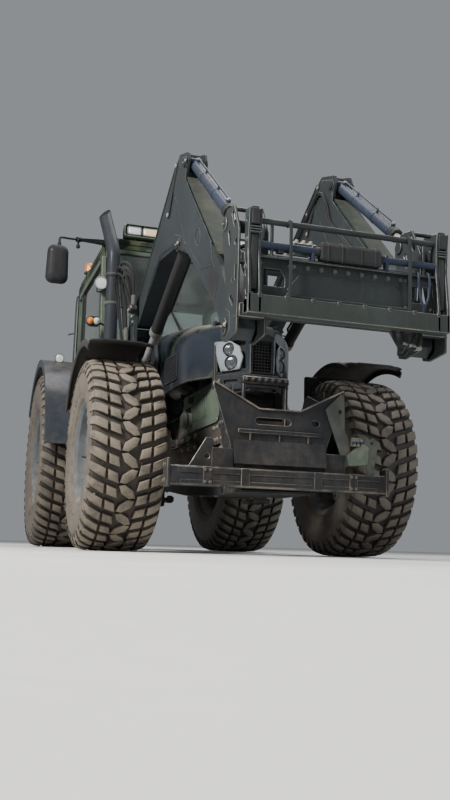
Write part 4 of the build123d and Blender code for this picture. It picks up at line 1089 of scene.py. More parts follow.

# side vents: dark inset with louvres, and a rim round each
vents = []
for s_ in (1, -1):
    def vy(x, z):
        h = hood_half(x)
        return float(np.interp(z, [p[1] for p in h], [p[0] for p in h]))
    for (x0, x1, z0, z1) in ((2360, 2780, 1380, 1590), (1760, 2200, 1400, 1620)):
        g = []
        for q in range(9):
            x_ = x0 + (x1 - x0) * q / 8
            g.append([(x_, s_ * (vy(x_, z0 + (z1 - z0) * k / 5 + (x_ - x0) * -0.04) + 3.5), z0 + (z1 - z0) * k / 5 + (x_ - x0) * -0.04) for k in range(6)])
        vents.append(shell(g if s_ > 0 else [r[::-1] for r in g], 6.0, 0))
        for k in range(9):
            zz = z0 + 16 + (z1 - z0 - 32) * k / 8
            line = [(x_, s_ * (vy(x_, zz) + 7), zz + (x_ - x0) * -0.04) for x_ in np.linspace(x0 + 16, x1 - 16, 7)]
            vents.append(sweep(line, 5, 6, 1, prof=[(-7, -3), (7, -6), (7, -3), (-7, 3)]))
        ring = [(x_, s_ * (vy(x_, z) + 5), z + (x_ - x0) * -0.04) for x_, z in rounded([(x0, z0), (x1, z0), (x1, z1), (x0, z1)], 30)]
        vents.append(sweep(ring, 5, 6, 2, closed=True))
make("hood_side_vents", "hood", [M["satin"], M["black"], M["dark"]], vents)

# dark nose cap between the cheeks, with a crease either side and a lip strip behind it
cap = []
for x_ in (3172, 3200, 3240, 3290, 3340, 3390, 3430, 3465, 3495, 3520, 3538, 3550, 3558):
    w_ = float(np.interp(x_, [3172, 3300, 3430, 3558], [214, 176, 128, 92]))
    row = []
    for q in (-1.0, -0.93, -0.80, -0.68, -0.62, -0.4, -0.2, 0, 0.2, 0.4, 0.62, 0.68, 0.80, 0.93, 1.0):
        lift = 9.0 + (5.0 if abs(q) < 0.65 else 0.0) - (8.0 if abs(q) == 1.0 else 0.0)
        row.append((x_ + (4 if x_ > 3550 else 0), q * w_, hood_z(min(x_, 3560), q * w_) + lift))
    cap.append(row)
front_drop = [(x + 5, y * 0.97, 1553) for x, y, z in cap[-1]]
cap.append(front_drop)
lip = [sweep(curve([(3168, y, hood_z(3168, y) + 12) for y in (-250, -190, -90, 0, 90, 190, 250)], 3), 10, 10, 1, prof=[(-13, -9), (13, -9), (15, 0), (10, 9), (-10, 9), (-15, 0)]),
       [cyl((3160, s_ * 246, hood_z(3160, 246) - 8), (3160, s_ * 246, hood_z(3160, 246) + 34), 15, 14, 4, 1) for s_ in (1, -1)]]
make("nose_cap", "hood", [M["dark"], M["satin"]], shell(cap, 9.0, 0), lip, sharp=30)

# headlights: a plane that sweeps back from the grille, silver bezel, two round lamps
A_, U_h, N_h = Vector((3262, 275, 0)), Vector((0.8575, -0.5145, 0)), Vector((0.5145, 0.8575, 0))


def on_panel(s, z, h=0.0):
    p = A_ + U_h * s + N_h * h
    return Vector((p.x, p.y, z))


panel_M = [[U_h.x, N_h.x, 0, A_.x], [U_h.y, N_h.y, 0, A_.y], [0, 0, 1, 0], [0, 0, 0, 1]]
bez_out = rounded([(2, 1574), (164, 1562), (256, 1510), (292, 1424), (262, 1336), (78, 1336), (44, 1418)], [14, 30, 30, 30, 22, 16, 20], 5)
LAMPS = ((150, 1500, 43), (180, 1396, 50))
bez = [plate(bez_out, -2, 12, "xz", [circle(s, z, r + 6, 28, 1.08, 1.0)[::1] for s, z, r in LAMPS], b=4, m=0, e=0).mv(panel_M)]
rim_line = [on_panel(q[0], q[1], 11) for q in inset(bez_out if area2(bez_out) > 0 else bez_out[::-1], 5)]
bez.append(sweep(rim_line, 3.5, 6, 0, closed=True))
back = [plate([(6, 1330), (330, 1330), (330, 1578), (6, 1578)], -52, -46, "xz", b=1, m=1).mv(panel_M),
        plate([(10, 1327), (318, 1327), (318, 1333), (10, 1333)], -50, -4, "xz", b=1, m=1).mv(panel_M)]
buckets, glassy = [], []
axis_ = Vector((0.86, 0.51, 0)).normalized()
for s, z, r in LAMPS:
    c = on_panel(s, z, 2)
    o = c - axis_ * 46
    buckets.append(lathe([(0, 0), (0, r * 0.45), (18, r * 0.95), (40, r + 5), (60, r + 5), (63, r + 1), (60, r - 3), (44, r - 4), (26, r * 0.74), (12, r * 0.38), (9, 0)], o, axis_, 36, 1, [1, 1, 1, 1, 1, 1, 2, 2, 2, 2]))
    buckets.append(lathe([(8, 0), (8, r * 0.30), (30, r * 0.26), (36, r * 0.12), (37, 0)], o, axis_, 20, 3))
    buckets.append(torus(o + axis_ * 34, axis_, r * 0.62, 2.2, 28, 6, 2))
    glassy.append(lathe([(52, 0), (52, r - 4), (55, r - 4), (60, r * 0.7), (63, r * 0.35), (64, 0)], o, axis_, 32, 0))
# the bowls take the dark copy of the reflector and the lenses the dark tint: painted shade inside the lamps
make("headlight_bezels", "hood", [M["silver"], M["black"], M["reflector_painted_shade"], M["chrome"]], both(bez, back, buckets), replaces=("headlights",), sharp=36)
make("headlight_lenses", "hood", [M["lens_painted_shade"]], both(glassy))
clips = [bolt(on_panel(s, z, 12), N_h, 6, 5, 0) for s, z in ((24, 1556), (268, 1470), (96, 1350), (236, 1352))]
make("headlight_screws", "hood", [M["zinc"]], both(clips))

# grille: frame, slats, uprights, mesh behind, silver side strips
gr = [plate([(-86, 1298), (86, 1298), (86, 1556), (-86, 1556)], 3552, 3568, "yz", [[(-70, 1314), (70, 1314), (70, 1540), (-70, 1540)]], b=4, m=0, r=12)]
for k in range(10):
    z = 1330 + 22.4 * k
    gr.append(cbox(3540, 3562, -73, 73, z - 3.5, z + 3.5, 2, 0))
gr += [cbox(3536, 3557, y - 3, y + 3, 1308, 1546, 1.5, 1) for y in (-46, -23, 0, 23, 46)]
for k in range(26):
    z = 1306 + 9.6 * k
    gr.append(cbox(3528, 3531, -76, 76, z - 1.5, z + 1.5, 0.5, 1))
for k in range(17):
    y = -76 + 9.5 * k
    gr.append(cbox(3525, 3528, y - 1.5, y + 1.5, 1300, 1552, 0.5, 1))
gr += [sweep([(3566, s_ * 90, 1552), (3569, s_ * 92, 1480), (3569, s_ * 92, 1380), (3566, s_ * 90, 1306)], 4, 8, 2) for s_ in (1, -1)]
# matt black plate at the back of the grille: painted shade in the grille's recess
gr += [cbox(3512, 3522, -95, 95, 1290, 1560, 2, 3)]
make("grille_slats", "hood", [M["gloss"], M["black"], M["dark_edge"], M["soot_and_painted_shade"]], gr, replaces=("grille",))

# lower nose: dark lip with a tow-eye cover, side lips under the headlights
low = [plate([(-120, 1190), (120, 1190), (140, 1292), (-140, 1292)], 3563, 3572, "yz", [slot(-70, 1240, 70, 1240, 14)], b=3, m=0, r=14)]
for s_ in (1, -1):
    low.append(plate([(40, 1200), (330, 1186), (336, 1300), (20, 1318)], -2, 9, "xz", [slot(120, 1255, 230, 1250, 15)], b=3, m=0, r=18).mv(panel_M) if s_ > 0 else
               plate([(40, 1200), (330, 1186), (336, 1300), (20, 1318)], -2, 9, "xz", [slot(120, 1255, 230, 1250, 15)], b=3, m=0, r=18).mv(panel_M).mir())
make("nose_lower_trim", "hood", [M["dark"]], low)


# =============================================================== front loader: arms, cylinders, hoses
ARM_PTS = [(1985, 1935), (1992, 2075), (2045, 2108), (3375, 2905), (3450, 2935), (3690, 2855), (3722, 2790), (3672, 2700),
           (3640, 2655), (4560, 1765), (4852, 1385), (4858, 1290), (4790, 1236), (4712, 1272), (4520, 1480), (3800, 2055),
           (3690, 2105), (3390, 2225), (2900, 2275), (2440, 2065), (2150, 1915)]


def on_arm(*items):
    return both(*items)


arm_bits, arm_bolts = [], []
# green flanges along the top of the rear beam and down the front of the leg (162 wide, a little past the side plates)
for path, w_ in (([(2070, 2122), (2500, 2380), (3000, 2680), (3360, 2896)], 76), ([(3700, 2652), (3900, 2452), (4300, 2064), (4560, 1812)], 74)):
    arm_bits.append(sweep([(x, 575, z + 4) for x, z in path], 5, 8, 1, prof=[(-w_, -6), (w_, -6), (w_, 4), (w_ - 3, 7), (-w_ + 3, 7), (-w_, 4)]))
# outer and inner stiffening plates: knee plate over the leg, strip along the lower edge of the rear beam
knee = [(3250, 2790), (3400, 2880), (3462, 2900), (3640, 2838), (3660, 2660), (3900, 2420), (4360, 1975), (4420, 1800), (4180, 1840), (3960, 1990),
        (3820, 2110), (3700, 2170), (3560, 2380), (3440, 2560), (3330, 2660)]
oval = circle(4045, 2100, 52, 24, 1.45, 1.0, radians(-42))
for y0, y1 in ((645, 649), (501, 505)):
    arm_bits.append(plate(knee, y0, y1, "xz", [oval], b=1.5, m=0, e=2, r=26))
    arm_bits.append(plate([(2430, 2118), (2900, 2318), (3385, 2262), (3560, 2200), (3600, 2250), (3400, 2330), (2900, 2400), (2440, 2200)], y0, y1, "xz", (), b=1.5, m=0, e=2, r=22))
    arm_bits.append(plate([(4400, 1830), (4560, 1690), (4476, 1560), (4330, 1690)], y0, y1, "xz", (), b=1.5, m=3, e=2, r=14))
for y in (646, 504):
    o_ = circle(4045, 2100, 54, 24, 1.45, 1.0, radians(-42))
    arm_bits.append(sweep([(x, y, z) for x, z in o_], 5, 6, 2, closed=True))
    arm_bits.append(weld([(x, y, z) for x, z in rounded(knee, 26) + [rounded(knee, 26)[0]]], 3.2, 2))
    arm_bits.append(weld([(x, y, z) for x, z in ((2010, 2078), (2060, 2106), (2500, 2368), (3000, 2668), (3372, 2892))], 3.2, 0))
    arm_bits.append(weld([(x, y, z) for x, z in ((2460, 2082), (2905, 2284), (3390, 2236), (3690, 2118))], 3.2, 0))
# bosses and pins at the joints, with keeper bolts and grease nipples
for (x, z), r in (((2080, 2000), 62), ((4780, 1310), 58), ((3500, 2215), 50), ((3640, 2790), 46)):
    for y0, y1 in ((645, 652) if x not in (2080, 4780) else (645, 651), (498, 505) if x not in (2080, 4780) else (499, 505)):
        arm_bits.append(ycyl(x, z, y0, y1, r, 32, 2, 0, 2))
for (x, z), r in (((3500, 2215), 34), ((3640, 2790), 32)):
    arm_bits += [ycyl(x, z, 643, 662, r, 24, 3, 3), ycyl(x, z, 488, 507, r, 24, 3, 3)]
    arm_bits.append(cbox(x - 14, x + 58, 652, 660, z - 12, z + 12, 3, 3))
    arm_bolts += bolt((x + 46, 660, z), (0, 1, 0), 9, 9)
    arm_bolts += [cyl((x, 662, z), (x, 672, z), 5, 10, 1), dome((x, 671, z), (0, 1, 0), 4, 4)]
# cross tube ends, ring welds, valve bracket in the middle
arm_bits += [torus((4300, 500, 1880), (0, 1, 0), 71, 5, 36, 6, 0), torus((4300, 506, 1880), (0, 1, 0), 76, 4, 36, 6, 0)]
for y_ in (250, 420):
    arm_bits.append(ycyl(4300, 1880, y_, y_ + 26, 76, 36, 3, 0, 2))
# steel pipes with clamps on the inner faces
pipes = []
for k in range(2):
    yy = 490 - 0 * k
    off = 26 * k
    path = curve([(2110, yy, 2040 + off), (2300, yy, 2150 + off), (2900, yy, 2510 + off), (3330, yy, 2760 + off), (3470, yy, 2780 + off * 0.6), (3560 + off, yy, 2660),
                  (3640 + off, yy, 2480), (3900 + off, yy, 2260), (4180 + off, yy, 1990)], 5)
    pipes.append(sweep(path, 7.5, 10, 0))
    pipes.append(cyl((4180 + off, yy, 1990), (4200 + off, yy, 1966), 12, 6, 2, 1))
    pipes.append(cyl((2106, yy, 2036 + off), (2086, yy, 2022 + off), 12, 6, 2, 1))
for x, z in ((2500, 2283), (2850, 2493), (3200, 2698)):
    pipes.append(cbox(x - 14, x + 14, 480, 505, z - 16, z + 46, 4, 2))
    pipes += [q.mat(1) for q in bolt((x, 482, z + 15), (0, -1, 0), 7, 6)]
make("loader_arm_plates", "loader_boom", [M["loader"], M["loader_green"], M["loader_edge"], M["satin"]], on_arm(arm_bits))
make("loader_arm_bolts", "loader_boom", [M["zinc"]], on_arm(arm_bolts))
make("loader_pipes", "loader_boom", [M["satin"], M["zinc"], M["black"]], on_arm(pipes))

# hoses that leave the pipes, run over the cross tube and hang to the carrier's middle
lh = []
for s_ in (1,):
    for k in range(3):
        y0 = 486 - 20 * k
        lh.append(sweep(curve([(4190 + 20 * k, 488, 1975), (4240, y0 - 20, 1960 + 14 * k), (4330, y0 - 90, 1985), (4345, 300 - 40 * k, 1990 - 10 * k), (4330, 120 - 30 * k, 1975)], 6), 11, 10, 0))
lh += [sweep(curve([(4330, 120 - 30 * k, 1975), (4400, 60 - 18 * k, 1940), (4450, 20 - 18 * k, 1860), (4400, 10 - 16 * k, 1790), (4335, 0 - 16 * k, 1850)], 6), 11, 10, 0) for k in range(2)]
clampz = [cbox(4300, 4372, 150, 186, 1940, 2012, 6, 1)]
make("loader_cross_hoses", "loader_boom", [M["hose"], M["satin"], M["zinc"]], both(lh[:3], clampz), lh[3:])
vb = [cbox(4236, 4364, -86, 86, 1938, 2036, 10, 0, 1), [cyl((4264 + 34 * k, y, 2030), (4264 + 34 * k, y, 2062), 13, 12, 3, 2) for k in range(3) for y in (-50, 0, 50)],
      [cyl((4356, y, 1990), (4392, y, 1990), 12, 10, 2, 2) for y in (-54, -18, 18, 54)], cbox(4270, 4330, -60, 60, 1900, 1944, 5, 0)]
make("loader_diverter_valve", "loader_boom", [M["cast"], M["loader_edge"], M["zinc"]], vb)

# guide link at the knee, seen behind the tilt cylinder: straps bolted to the arm
link = []
for y0, y1 in ((649, 655), (495, 501)):
    link.append(plate(slot(3385, 2872, 3170, 2560, 26), y0, y1, "xz", [circle(3385, 2872, 10, 14)], b=2, m=0, e=0))
    link += [cyl((3385, y0 - 2, 2872), (3385, y1 + 9, 2872), 16, 16, 2, 1), cyl((3170, y0 - 2, 2560), (3170, y1 + 9, 2560), 16, 16, 2, 1)]
make("loader_knee_straps", "loader_boom", [M["satin"], M["zinc"]], on_arm(link))

# =============================================================== cylinders


def along(a, b, t):
    d = Vector((b[0] - a[0], 0, b[1] - a[1])).normalized()
    return Vector((a[0], 575, a[1])) + d * t, d


def barrel_shape(top, low, length, r, eye_r, mb, ports):
    p, d = along(top, low, 0)
    e, _ = along(top, low, length)
    side = Vector((0, 1, 0)).cross(d)
    if side.z < 0:
        side = -side
    out = [ringsolid([(28, r - 7), (34, r - 1), (44, r), (length - 66, r), (length - 62, r + 2), (length - 60, r + 6), (length - 6, r + 6), (length, r + 2), (length, r - 12), (length - 30, r - 14)],
                     p, d, 36, 0, [0, 0, 0, 0, 1, 1, 1, 1, 1, 0]),
           lathe([(20, 0), (20, r - 10), (40, r - 1), (48, r - 1), (48, 0)], p, d, 30, 0),
           tube((top[0], 533, top[1]), (top[0], 617, top[1]), eye_r, eye_r * 0.62, 30, 0, 0)]
    for t in (52, length - 74):
        out.append(torus(p + d * t, d, r + 1, 3, 36, 6, 0))
    out.append(sweep([p + d * t for t in (length - 40, length - 34)], r + 8, 30, 1))
    # oil ports with elbows and a steel pipe held by straps
    for t in ports:
        out.append(cyl(p + d * t + side * (r - 6), p + d * t + side * (r + 16), 15, 16, 2, 0))
        out.append(cyl(p + d * t + side * (r + 12), p + d * t + side * (r + 26), 13, 6, 2, 2))
    if len(ports) > 1:
        a, b = p + d * ports[0] + side * (r + 20), p + d * ports[1] + side * (r + 20)
        out.append(sweep([a, a + d * 30 + side * 2, b - d * 30 + side * 2, b], 6.5, 10, 3))
        for q in (0.3, 0.7):
            c = p + d * (ports[0] + (ports[1] - ports[0]) * q)
            out.append(sweep([c - d * 9, c + d * 9], r + 2.5, 30, 3))
            out.append(cyl(c + side * (r - 2), c + side * (r + 30), 8, 10, 2, 3))
    return out


def rod_shape(top, low, start, r, eye_r, pin_r):
    p, d = along(top, low, start)
    L = hypot(low[0] - top[0], low[1] - top[1]) - start
    out = [lathe([(0, 0), (0, r), (L - eye_r * 0.7, r), (L - eye_r * 0.7, 0)], p, d, 28, 0),
           lathe([(L - eye_r - 22, 0), (L - eye_r - 22, r + 2), (L - eye_r - 16, r + 9), (L - eye_r * 0.5, r + 9), (L - eye_r * 0.4, 0)], p, d, 24, 1),
           tube((low[0], 545, low[1]), (low[0], 605, low[1]), eye_r, pin_r + 1, 28, 1, 1)]
    out.append(ycyl(low[0], low[1], 575 - 66, 575 + 66, pin_r, 24, 3, 2))
    return out


BCT_, BCL_, TCT_, TCL_ = (3500.0, 2215.0), (2150.0, 1580.0), (3640.0, 2790.0), (4740.0, 1945.0)
make("boom_cylinder_barrels_detail", "boom_barrels", [M["satin"], M["steel"], M["zinc"], M["satin"]], both(barrel_shape(BCT_, BCL_, 1060, 48, 58, 0, (80, 950))), replaces=("boom_cylinder_barrels",), sharp=35)
make("boom_cylinder_rods_detail", "boom_rods", [M["chrome"], M["satin"], M["steel"]], both(rod_shape(BCT_, BCL_, 560, 30, 48, 25)), replaces=("boom_cylinder_rods",), sharp=35)
make("tilt_cylinder_barrels_detail", "tilt_barrels", [M["blue"], M["satin"], M["zinc"], M["blue"]], both(barrel_shape(TCT_, TCL_, 1130, 40, 44, 0, (70, 1036))), replaces=("tilt_cylinder_barrels",), sharp=35)
make("tilt_cylinder_rods_detail", "tilt_rods", [M["chrome"], M["satin"], M["steel"]], both(rod_shape(TCT_, TCL_, 440, 22, 40, 22)), replaces=("tilt_cylinder_rods",), sharp=35)
# two short hoses on each boom cylinder, led along the barrel to its upper pin
ch = []
bp_, bd_ = along(BCT_, BCL_, 0)
bs_ = Vector((0, 1, 0)).cross(bd_)
bs_ = -bs_ if bs_.z < 0 else bs_
iy_ = Vector((0, -1, 0))
ch.append(sweep(curve([bp_ + bd_ * 950 + bs_ * 70, bp_ + bd_ * 900 + bs_ * 66 + iy_ * 30, bp_ + bd_ * 800 + bs_ * 20 + iy_ * 57, bp_ + bd_ * 500 + iy_ * 59, bp_ + bd_ * 150 + iy_ * 58, bp_ + bd_ * 60 + iy_ * 58], 6), 9, 10, 0))
ch.append(sweep(curve([bp_ + bd_ * 80 + bs_ * 62, bp_ + bd_ * 110 + bs_ * 58 + iy_ * 40, bp_ + bd_ * 130 + bs_ * 24 + iy_ * 57, bp_ + bd_ * 90 + iy_ * 60], 6), 9, 10, 0))
make("boom_cylinder_hoses", "boom_barrels", [M["hose"]], both(ch))

# =============================================================== masts: plates, bolts, gussets, pivot caps
ms_, mb_ = [], []
MAST = [(1850, 1180), (2040, 1180), (2230, 1400), (2230, 1640), (2170, 1760), (2160, 2060), (2100, 2110), (2010, 2100), (1960, 2020), (1860, 1700)]
for y0, y1 in ((680, 684), (466, 470)):
    ms_.append(plate([(1880, 1215), (2030, 1215), (2200, 1412), (2200, 1560), (2060, 1620), (1905, 1600)], y0, y1, "xz", [circle(2010, 1400, 34, 20), circle(1950, 1270, 20, 16)], b=1.5, m=0, e=1, r=18))
ms_ += [ycyl(2080, 2000, 680, 690, 66, 36, 3, 0, 1), ycyl(2080, 2000, 688, 704, 42, 24, 4, 2), ycyl(2080, 2000, 458, 470, 60, 36, 3, 0, 1),
        cbox(2068, 2150, 692, 700, 1988, 2012, 3, 2)]
ms_.append(weld([(x, 681, z) for x, z in rounded(MAST, 15)], 3, 1))
for x, z in ((1895, 1240), (1895, 1560), (2170, 1440), (2180, 1540), (2010, 1590), (1960, 1500)):
    mb_ += bolt((x, 684, z), (0, 1, 0), 13, 13)
mb_ += bolt((2136, 700, 2000), (0, 1, 0), 10, 9)
for x in (1840, 1900, 1960, 2010):
    mb_ += bolt((x, 681, 940), (0, 1, 0), 12, 12)
    mb_ += bolt((x, 681, 1100), (0, 1, 0), 12, 12)
ms_ += [plate([(2040, 1130), (2040, 960), (2110, 1330), (2090, 1380)], 560, 572, "xz", (), b=2, m=0, e=1, r=6)]
make("loader_mast_plates", "chassis", [M["loader"], M["loader_edge"], M["satin"]], both(ms_))
make("loader_mast_bolts", "chassis", [M["zinc"]], both(mb_))


# =============================================================== tool carrier: slotted side plates, pins, torsion tube
PLATE_PTS = [(4716, 1236), (4800, 1216), (4990, 1232), (4998, 1500), (4998, 1830), (4900, 2010), (4760, 2030), (4690, 1990), (4676, 1900), (4790, 1500)]
ca, cb = [], []
slots = [slot(4920, 1888, 4876, 1966, 17), slot(4948, 1560, 4952, 1628, 15), slot(4868, 1466, 4912, 1420, 16), slot(4836, 1800, 4812, 1872, 15), circle(4944, 1776, 19, 18),
         circle(4900, 1560, 13, 14), circle(4850, 1350, 15, 14)]
for y0, y1 in ((485, 498), (652, 665)):
    ca.append(plate(PLATE_PTS, y0, y1, "xz", slots, b=2.5, m=0, e=1, r=16))
    ca.append(plate([(4706, 1256), (4800, 1230), (4870, 1262), (4866, 1380), (4780, 1420), (4716, 1360)], y0 - (2.5 if y0 < 500 else 0), y1 + (2.5 if y0 > 500 else 0), "xz", [circle(4780, 1310, 36, 24)], b=1.5, m=0, e=1, r=16))
for s0, s1, r in ((668, 676, 52), (474, 482, 52)):
    ca.append(ycyl(4780, 1310, s0, s1, r, 32, 3, 0, 1))
    ca.append(ycyl(4740, 1945, s0 - 2, s1 - 2, 40, 28, 3, 0, 1))
ca += [ycyl(4780, 1310, 470, 682, 31, 26, 4, 2), ycyl(4740, 1945, 645, 676, 21, 20, 3, 2), ycyl(4740, 1945, 474, 500, 21, 20, 3, 2), cbox(4768, 4850, 676, 684, 1300, 1320, 3, 2)]
cb += bolt((4838, 684, 1310), (0, 1, 0), 9, 9)
cb += [cyl((4780, 682, 1310), (4780, 693, 1310), 5, 10, 1), cyl((4740, 676, 1945), (4740, 686, 1945), 5, 10, 1)]
# boxes between the plates, hook lugs at the top, ribs
ca += [cbox(4940, 4998, 497, 653, 1326, 1405, 6, 0, 1), cbox(4950, 4998, 497, 653, 1640, 1700, 6, 0, 1), cbox(4860, 4900, 497, 653, 1985, 2000, 4, 0, 1),
       plate([(4900, 1500), (4996, 1500), (4996, 1640), (4950, 1640)], 570, 580, "xz", (), b=2, m=0, e=1)]
ca.append(plate([(4946, 1702), (4998, 1702), (4998, 1842), (4960, 1874), (4930, 1800)], 560, 590, "xz", (), b=3, m=0, e=1, r=10))
for y in (484, 666):
    ca.append(weld([(4950, y, 1330), (4994, y, 1330)], 3, 1))
mid = [tube((4905, -486, 1690), (4905, 486, 1690), 50, 38, 40, 3, 3), [torus((4905, s_ * 480, 1690), (0, 1, 0), 51, 5, 32, 6, 0) for s_ in (1, -1)],
       [ycyl(4905, 1690, s_ * 200 - 12, s_ * 200 + 12, 57, 36, 3, 2) for s_ in (1, -1)], cbox(4930, 4996, -486, 486, 1336, 1399, 8, 0, 1),
       [plate([(4905, 1640), (4990, 1400), (4996, 1400), (4996, 1700), (4950, 1700)], s_ * 330 - 6, s_ * 330 + 6, "xz", [circle(4964, 1560, 22, 18)], b=2, m=0, e=1) for s_ in (1, -1)]]
make("tool_carrier_plates", "tool_carrier", [M["carrier"], M["carrier_edge"], M["satin"], M["blue"]], both(ca), mid, replaces=("tool_carrier",), sharp=40)
make("tool_carrier_bolts", "tool_carrier", [M["zinc"]], both(cb))

# =============================================================== fork frame on the carrier
fr_, fb_, fw_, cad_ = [], [], [], []
ff_holes = [rounded([(-520, 1512), (-392, 1512), (-392, 1566), (-420, 1612), (-520, 1612)], 10), rounded([(520, 1512), (392, 1512), (392, 1612), (520, 1612)], 10)]
fr_.append(plate([(-558, 1440), (558, 1440), (558, 1662), (330, 1676), (-330, 1676), (-558, 1662)], 5006, 5020, "yz", ff_holes, b=3, m=0, e=1, r=8))
fr_.append(plate([(-350, 1470), (350, 1470), (380, 1500), (300, 1600), (-300, 1600), (-380, 1500)], 5018, 5025, "yz", (), b=2, m=0, e=1, r=12))
fr_ += [cbox(5016, 5058, -556, 556, 1664, 1676, 3, 0, 1), cbox(5018, 5044, -392, 392, 1452, 1466, 3, 0, 1)]
for k in range(9):
    fb_ += bolt((5022, -340 + 85 * k, 1640), (1, 0, 0), 10, 10)
for y in (-540, -370, 370, 540):
    for z in (1475, 1640):
        fb_ += bolt((5020, y, z), (1, 0, 0), 8, 8)
# black box (shock damper cover) across the middle above the plate, with caps
box_ = rounded([(5008, 1684), (5076, 1684), (5080, 1700), (5080, 1770), (5062, 1794), (5014, 1794), (5006, 1770), (5006, 1700)], 9, 3)
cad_.append(plate(box_, -190, 190, "xz", (), b=8, m=0, e=0))
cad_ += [plate(inset(box_ if area2(box_) > 0 else box_[::-1], -4), y - 5, y + 5, "xz", (), b=2, m=1, e=1) for y in (-150, -60, 60, 150)]
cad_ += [cyl((5043, s_ * 186, 1740), (5043, s_ * 214, 1740), 26, 24, 3, 1) for s_ in (1, -1)]
fr_ += [cyl((5043, s_ * 210, 1740), (5043, s_ * 556, 1740), 21, 24, 2, 2) for s_ in (1, -1)]
fr_ += [cbox(5026, 5060, s_ * 232 - 12, s_ * 232 + 12, 1676, 1770, 5, 2) for s_ in (1, -1)]
# top rail and uprights
fr_.append(cyl((5040, -560, 1880), (5040, 560, 1880), 17, 22, 3, 0, 1))
fr_ += [torus((5040, y, 1880), (0, 1, 0), 18, 4, 20, 6, 0) for y in (-556, -384, 384, 556)]
for s_ in (1, -1):
    fr_.append(sweep(curve([(5040, s_ * 376, 1895), (5066, s_ * 376, 1878), (5070, s_ * 376, 1780), (5070, s_ * 376, 1560), (5064, s_ * 376, 1440)], 5), 6, 8, 0, prof=[(-6, -11), (6, -11), (6, 11), (-6, 11)]))
    fr_.append(cbox(5030, 5048, s_ * 480 - 8, s_ * 480 + 8, 1676, 1868, 3, 0, 1))
    # hook boxes: dark blocks between two cheeks, stack of plates beneath
    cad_.append(cbox(5006, 5084, s_ * 566, s_ * 616, 1842, 1938, 6, 0))
    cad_.append(cbox(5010, 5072, s_ * 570, s_ * 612, 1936, 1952, 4, 0))
    for k in range(3):
        fr_.append(cbox(5004, 5084, s_ * 560, s_ * 624, 1794 + 15 * k, 1801 + 15 * k, 2, 1))
    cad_.append(cbox(5008, 5066, s_ * 570, s_ * 612, 1470, 1790, 6, 0))
    for y in (560, 622):
        fr_.append(plate([(5000, 1334), (5085, 1334), (5085, 1480), (5062, 1700), (5072, 1860), (5082, 1938), (5012, 1946), (5000, 1930)], s_ * y - 8, s_ * y + 8, "xz",
                         [slot(5034, 1560, 5034, 1640, 11), circle(5040, 1880, 12, 14), slot(5052, 1420, 5040, 1470, 9)], b=2.5, m=0, e=1, r=6))
        fr_.append(weld([(5004, s_ * (y + 9), 1436), (5083, s_ * (y + 9), 1436)], 3, 1))
    fb_ += bolt((5040, s_ * 630, 1600), (0, s_, 0), 12, 11)
    fb_ += bolt((5046, s_ * 630, 1760), (0, s_, 0), 9, 8)
# bent tube hooks at the left end
for y in (430, 500):
    fr_.append(sweep(curve([(5052, y, 1690), (5074, y, 1668), (5078, y, 1600), (5078, y + (12 if y < 460 else -12), 1520), (5072, 465, 1470), (5066, 465, 1440)], 5), 8, 10, 2))
# bottom bar: worn channel with a lip and ribs
fw_.append(cbox(5000, 5084, -630, 630, 1332, 1424, 9, 0, 1))
fw_.append(cbox(5062, 5085, -632, 632, 1330, 1440, 5, 0, 1))
fw_.append(cbox(5004, 5060, -556, 556, 1420, 1440, 5, 0, 1))
for k in range(8):
    y = -560 + 160 * k
    fw_.append(cbox(5066, 5087, y - 14, y + 14, 1420, 1446, 4, 0, 1))
fw_ += [cbox(4998, 5012, s_ * 575 - 58, s_ * 575 + 58, z0, z0 + 58, 5, 0, 1) for s_ in (1, -1) for z0 in (1337, 1641)]
make("fork_frame_steel", "tool_carrier", [M["carrier"], M["carrier_edge"], M["blue"]], fr_, replaces=("fork_frame",), sharp=40)
make("fork_frame_bottom_bar", "tool_carrier", [M["worn"], M["carrier_edge"]], fw_)
make("fork_frame_black_parts", "tool_carrier", [M["satin"], M["black"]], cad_)
make("fork_frame_bolts", "tool_carrier", [M["bolt_dark"]], fb_)
# hose loops and quick couplers under the frame
hs = [sweep(curve([(4996, 300 + 60 * k, 1350), (5010, 320 + 60 * k, 1262 - 12 * k), (5020, 380 + 50 * k, 1244 - 10 * k), (5006, 430 + 40 * k, 1280), (4990, 450 + 36 * k, 1345)], 7), 12, 12, 0) for k in range(2)]
cp = [[cyl((5014, 352 + 66 * k, 1256 - 10 * k), (5016, 382 + 66 * k, 1244 - 10 * k), 17, 6, 3, 0), cyl((5016, 380 + 66 * k, 1245 - 10 * k), (5018, 414 + 60 * k, 1250 - 8 * k), 14, 18, 3, 0)] for k in range(2)]
make("fork_frame_hoses", "tool_carrier", [M["hose"]], hs)
make("fork_frame_couplers", "tool_carrier", [M["steel"]], cp)

# =============================================================== front guard: V plate, sloped plate, gussets, beam
gd, gl, gb = [], [], []
vee = [(-470, 1150), (-150, 985), (150, 985), (470, 1150), (480, 1130), (352, 742), (330, 577), (-330, 577), (-352, 742), (-480, 1130)]
gd.append(plate(vee, 3930, 3946, "yz", [slot(-150, 900, 60, 900, 22, 10), circle(262, 905, 26, 18, 1.2, 0.8)], b=4, m=0, e=1, r=5))
gd.append(sweep([(3938, -474, 1146), (3938, -150, 980), (3938, 150, 980), (3938, 474, 1146)], 6, 8, 1, prof=[(-20, -7), (20, -7), (20, 3), (-20, 3)]))
# sloped plate under the V, folded back
gd.append(loft([[(3946, -330, 760), (3960, -330, 764), (3998, -330, 600), (3984, -330, 596)], [(3946, 330, 760), (3960, 330, 764), (3998, 330, 600), (3984, 330, 596)]], 0))
gd.append(cbox(3950, 3964, -300, 300, 812, 838, 4, 0, 1))
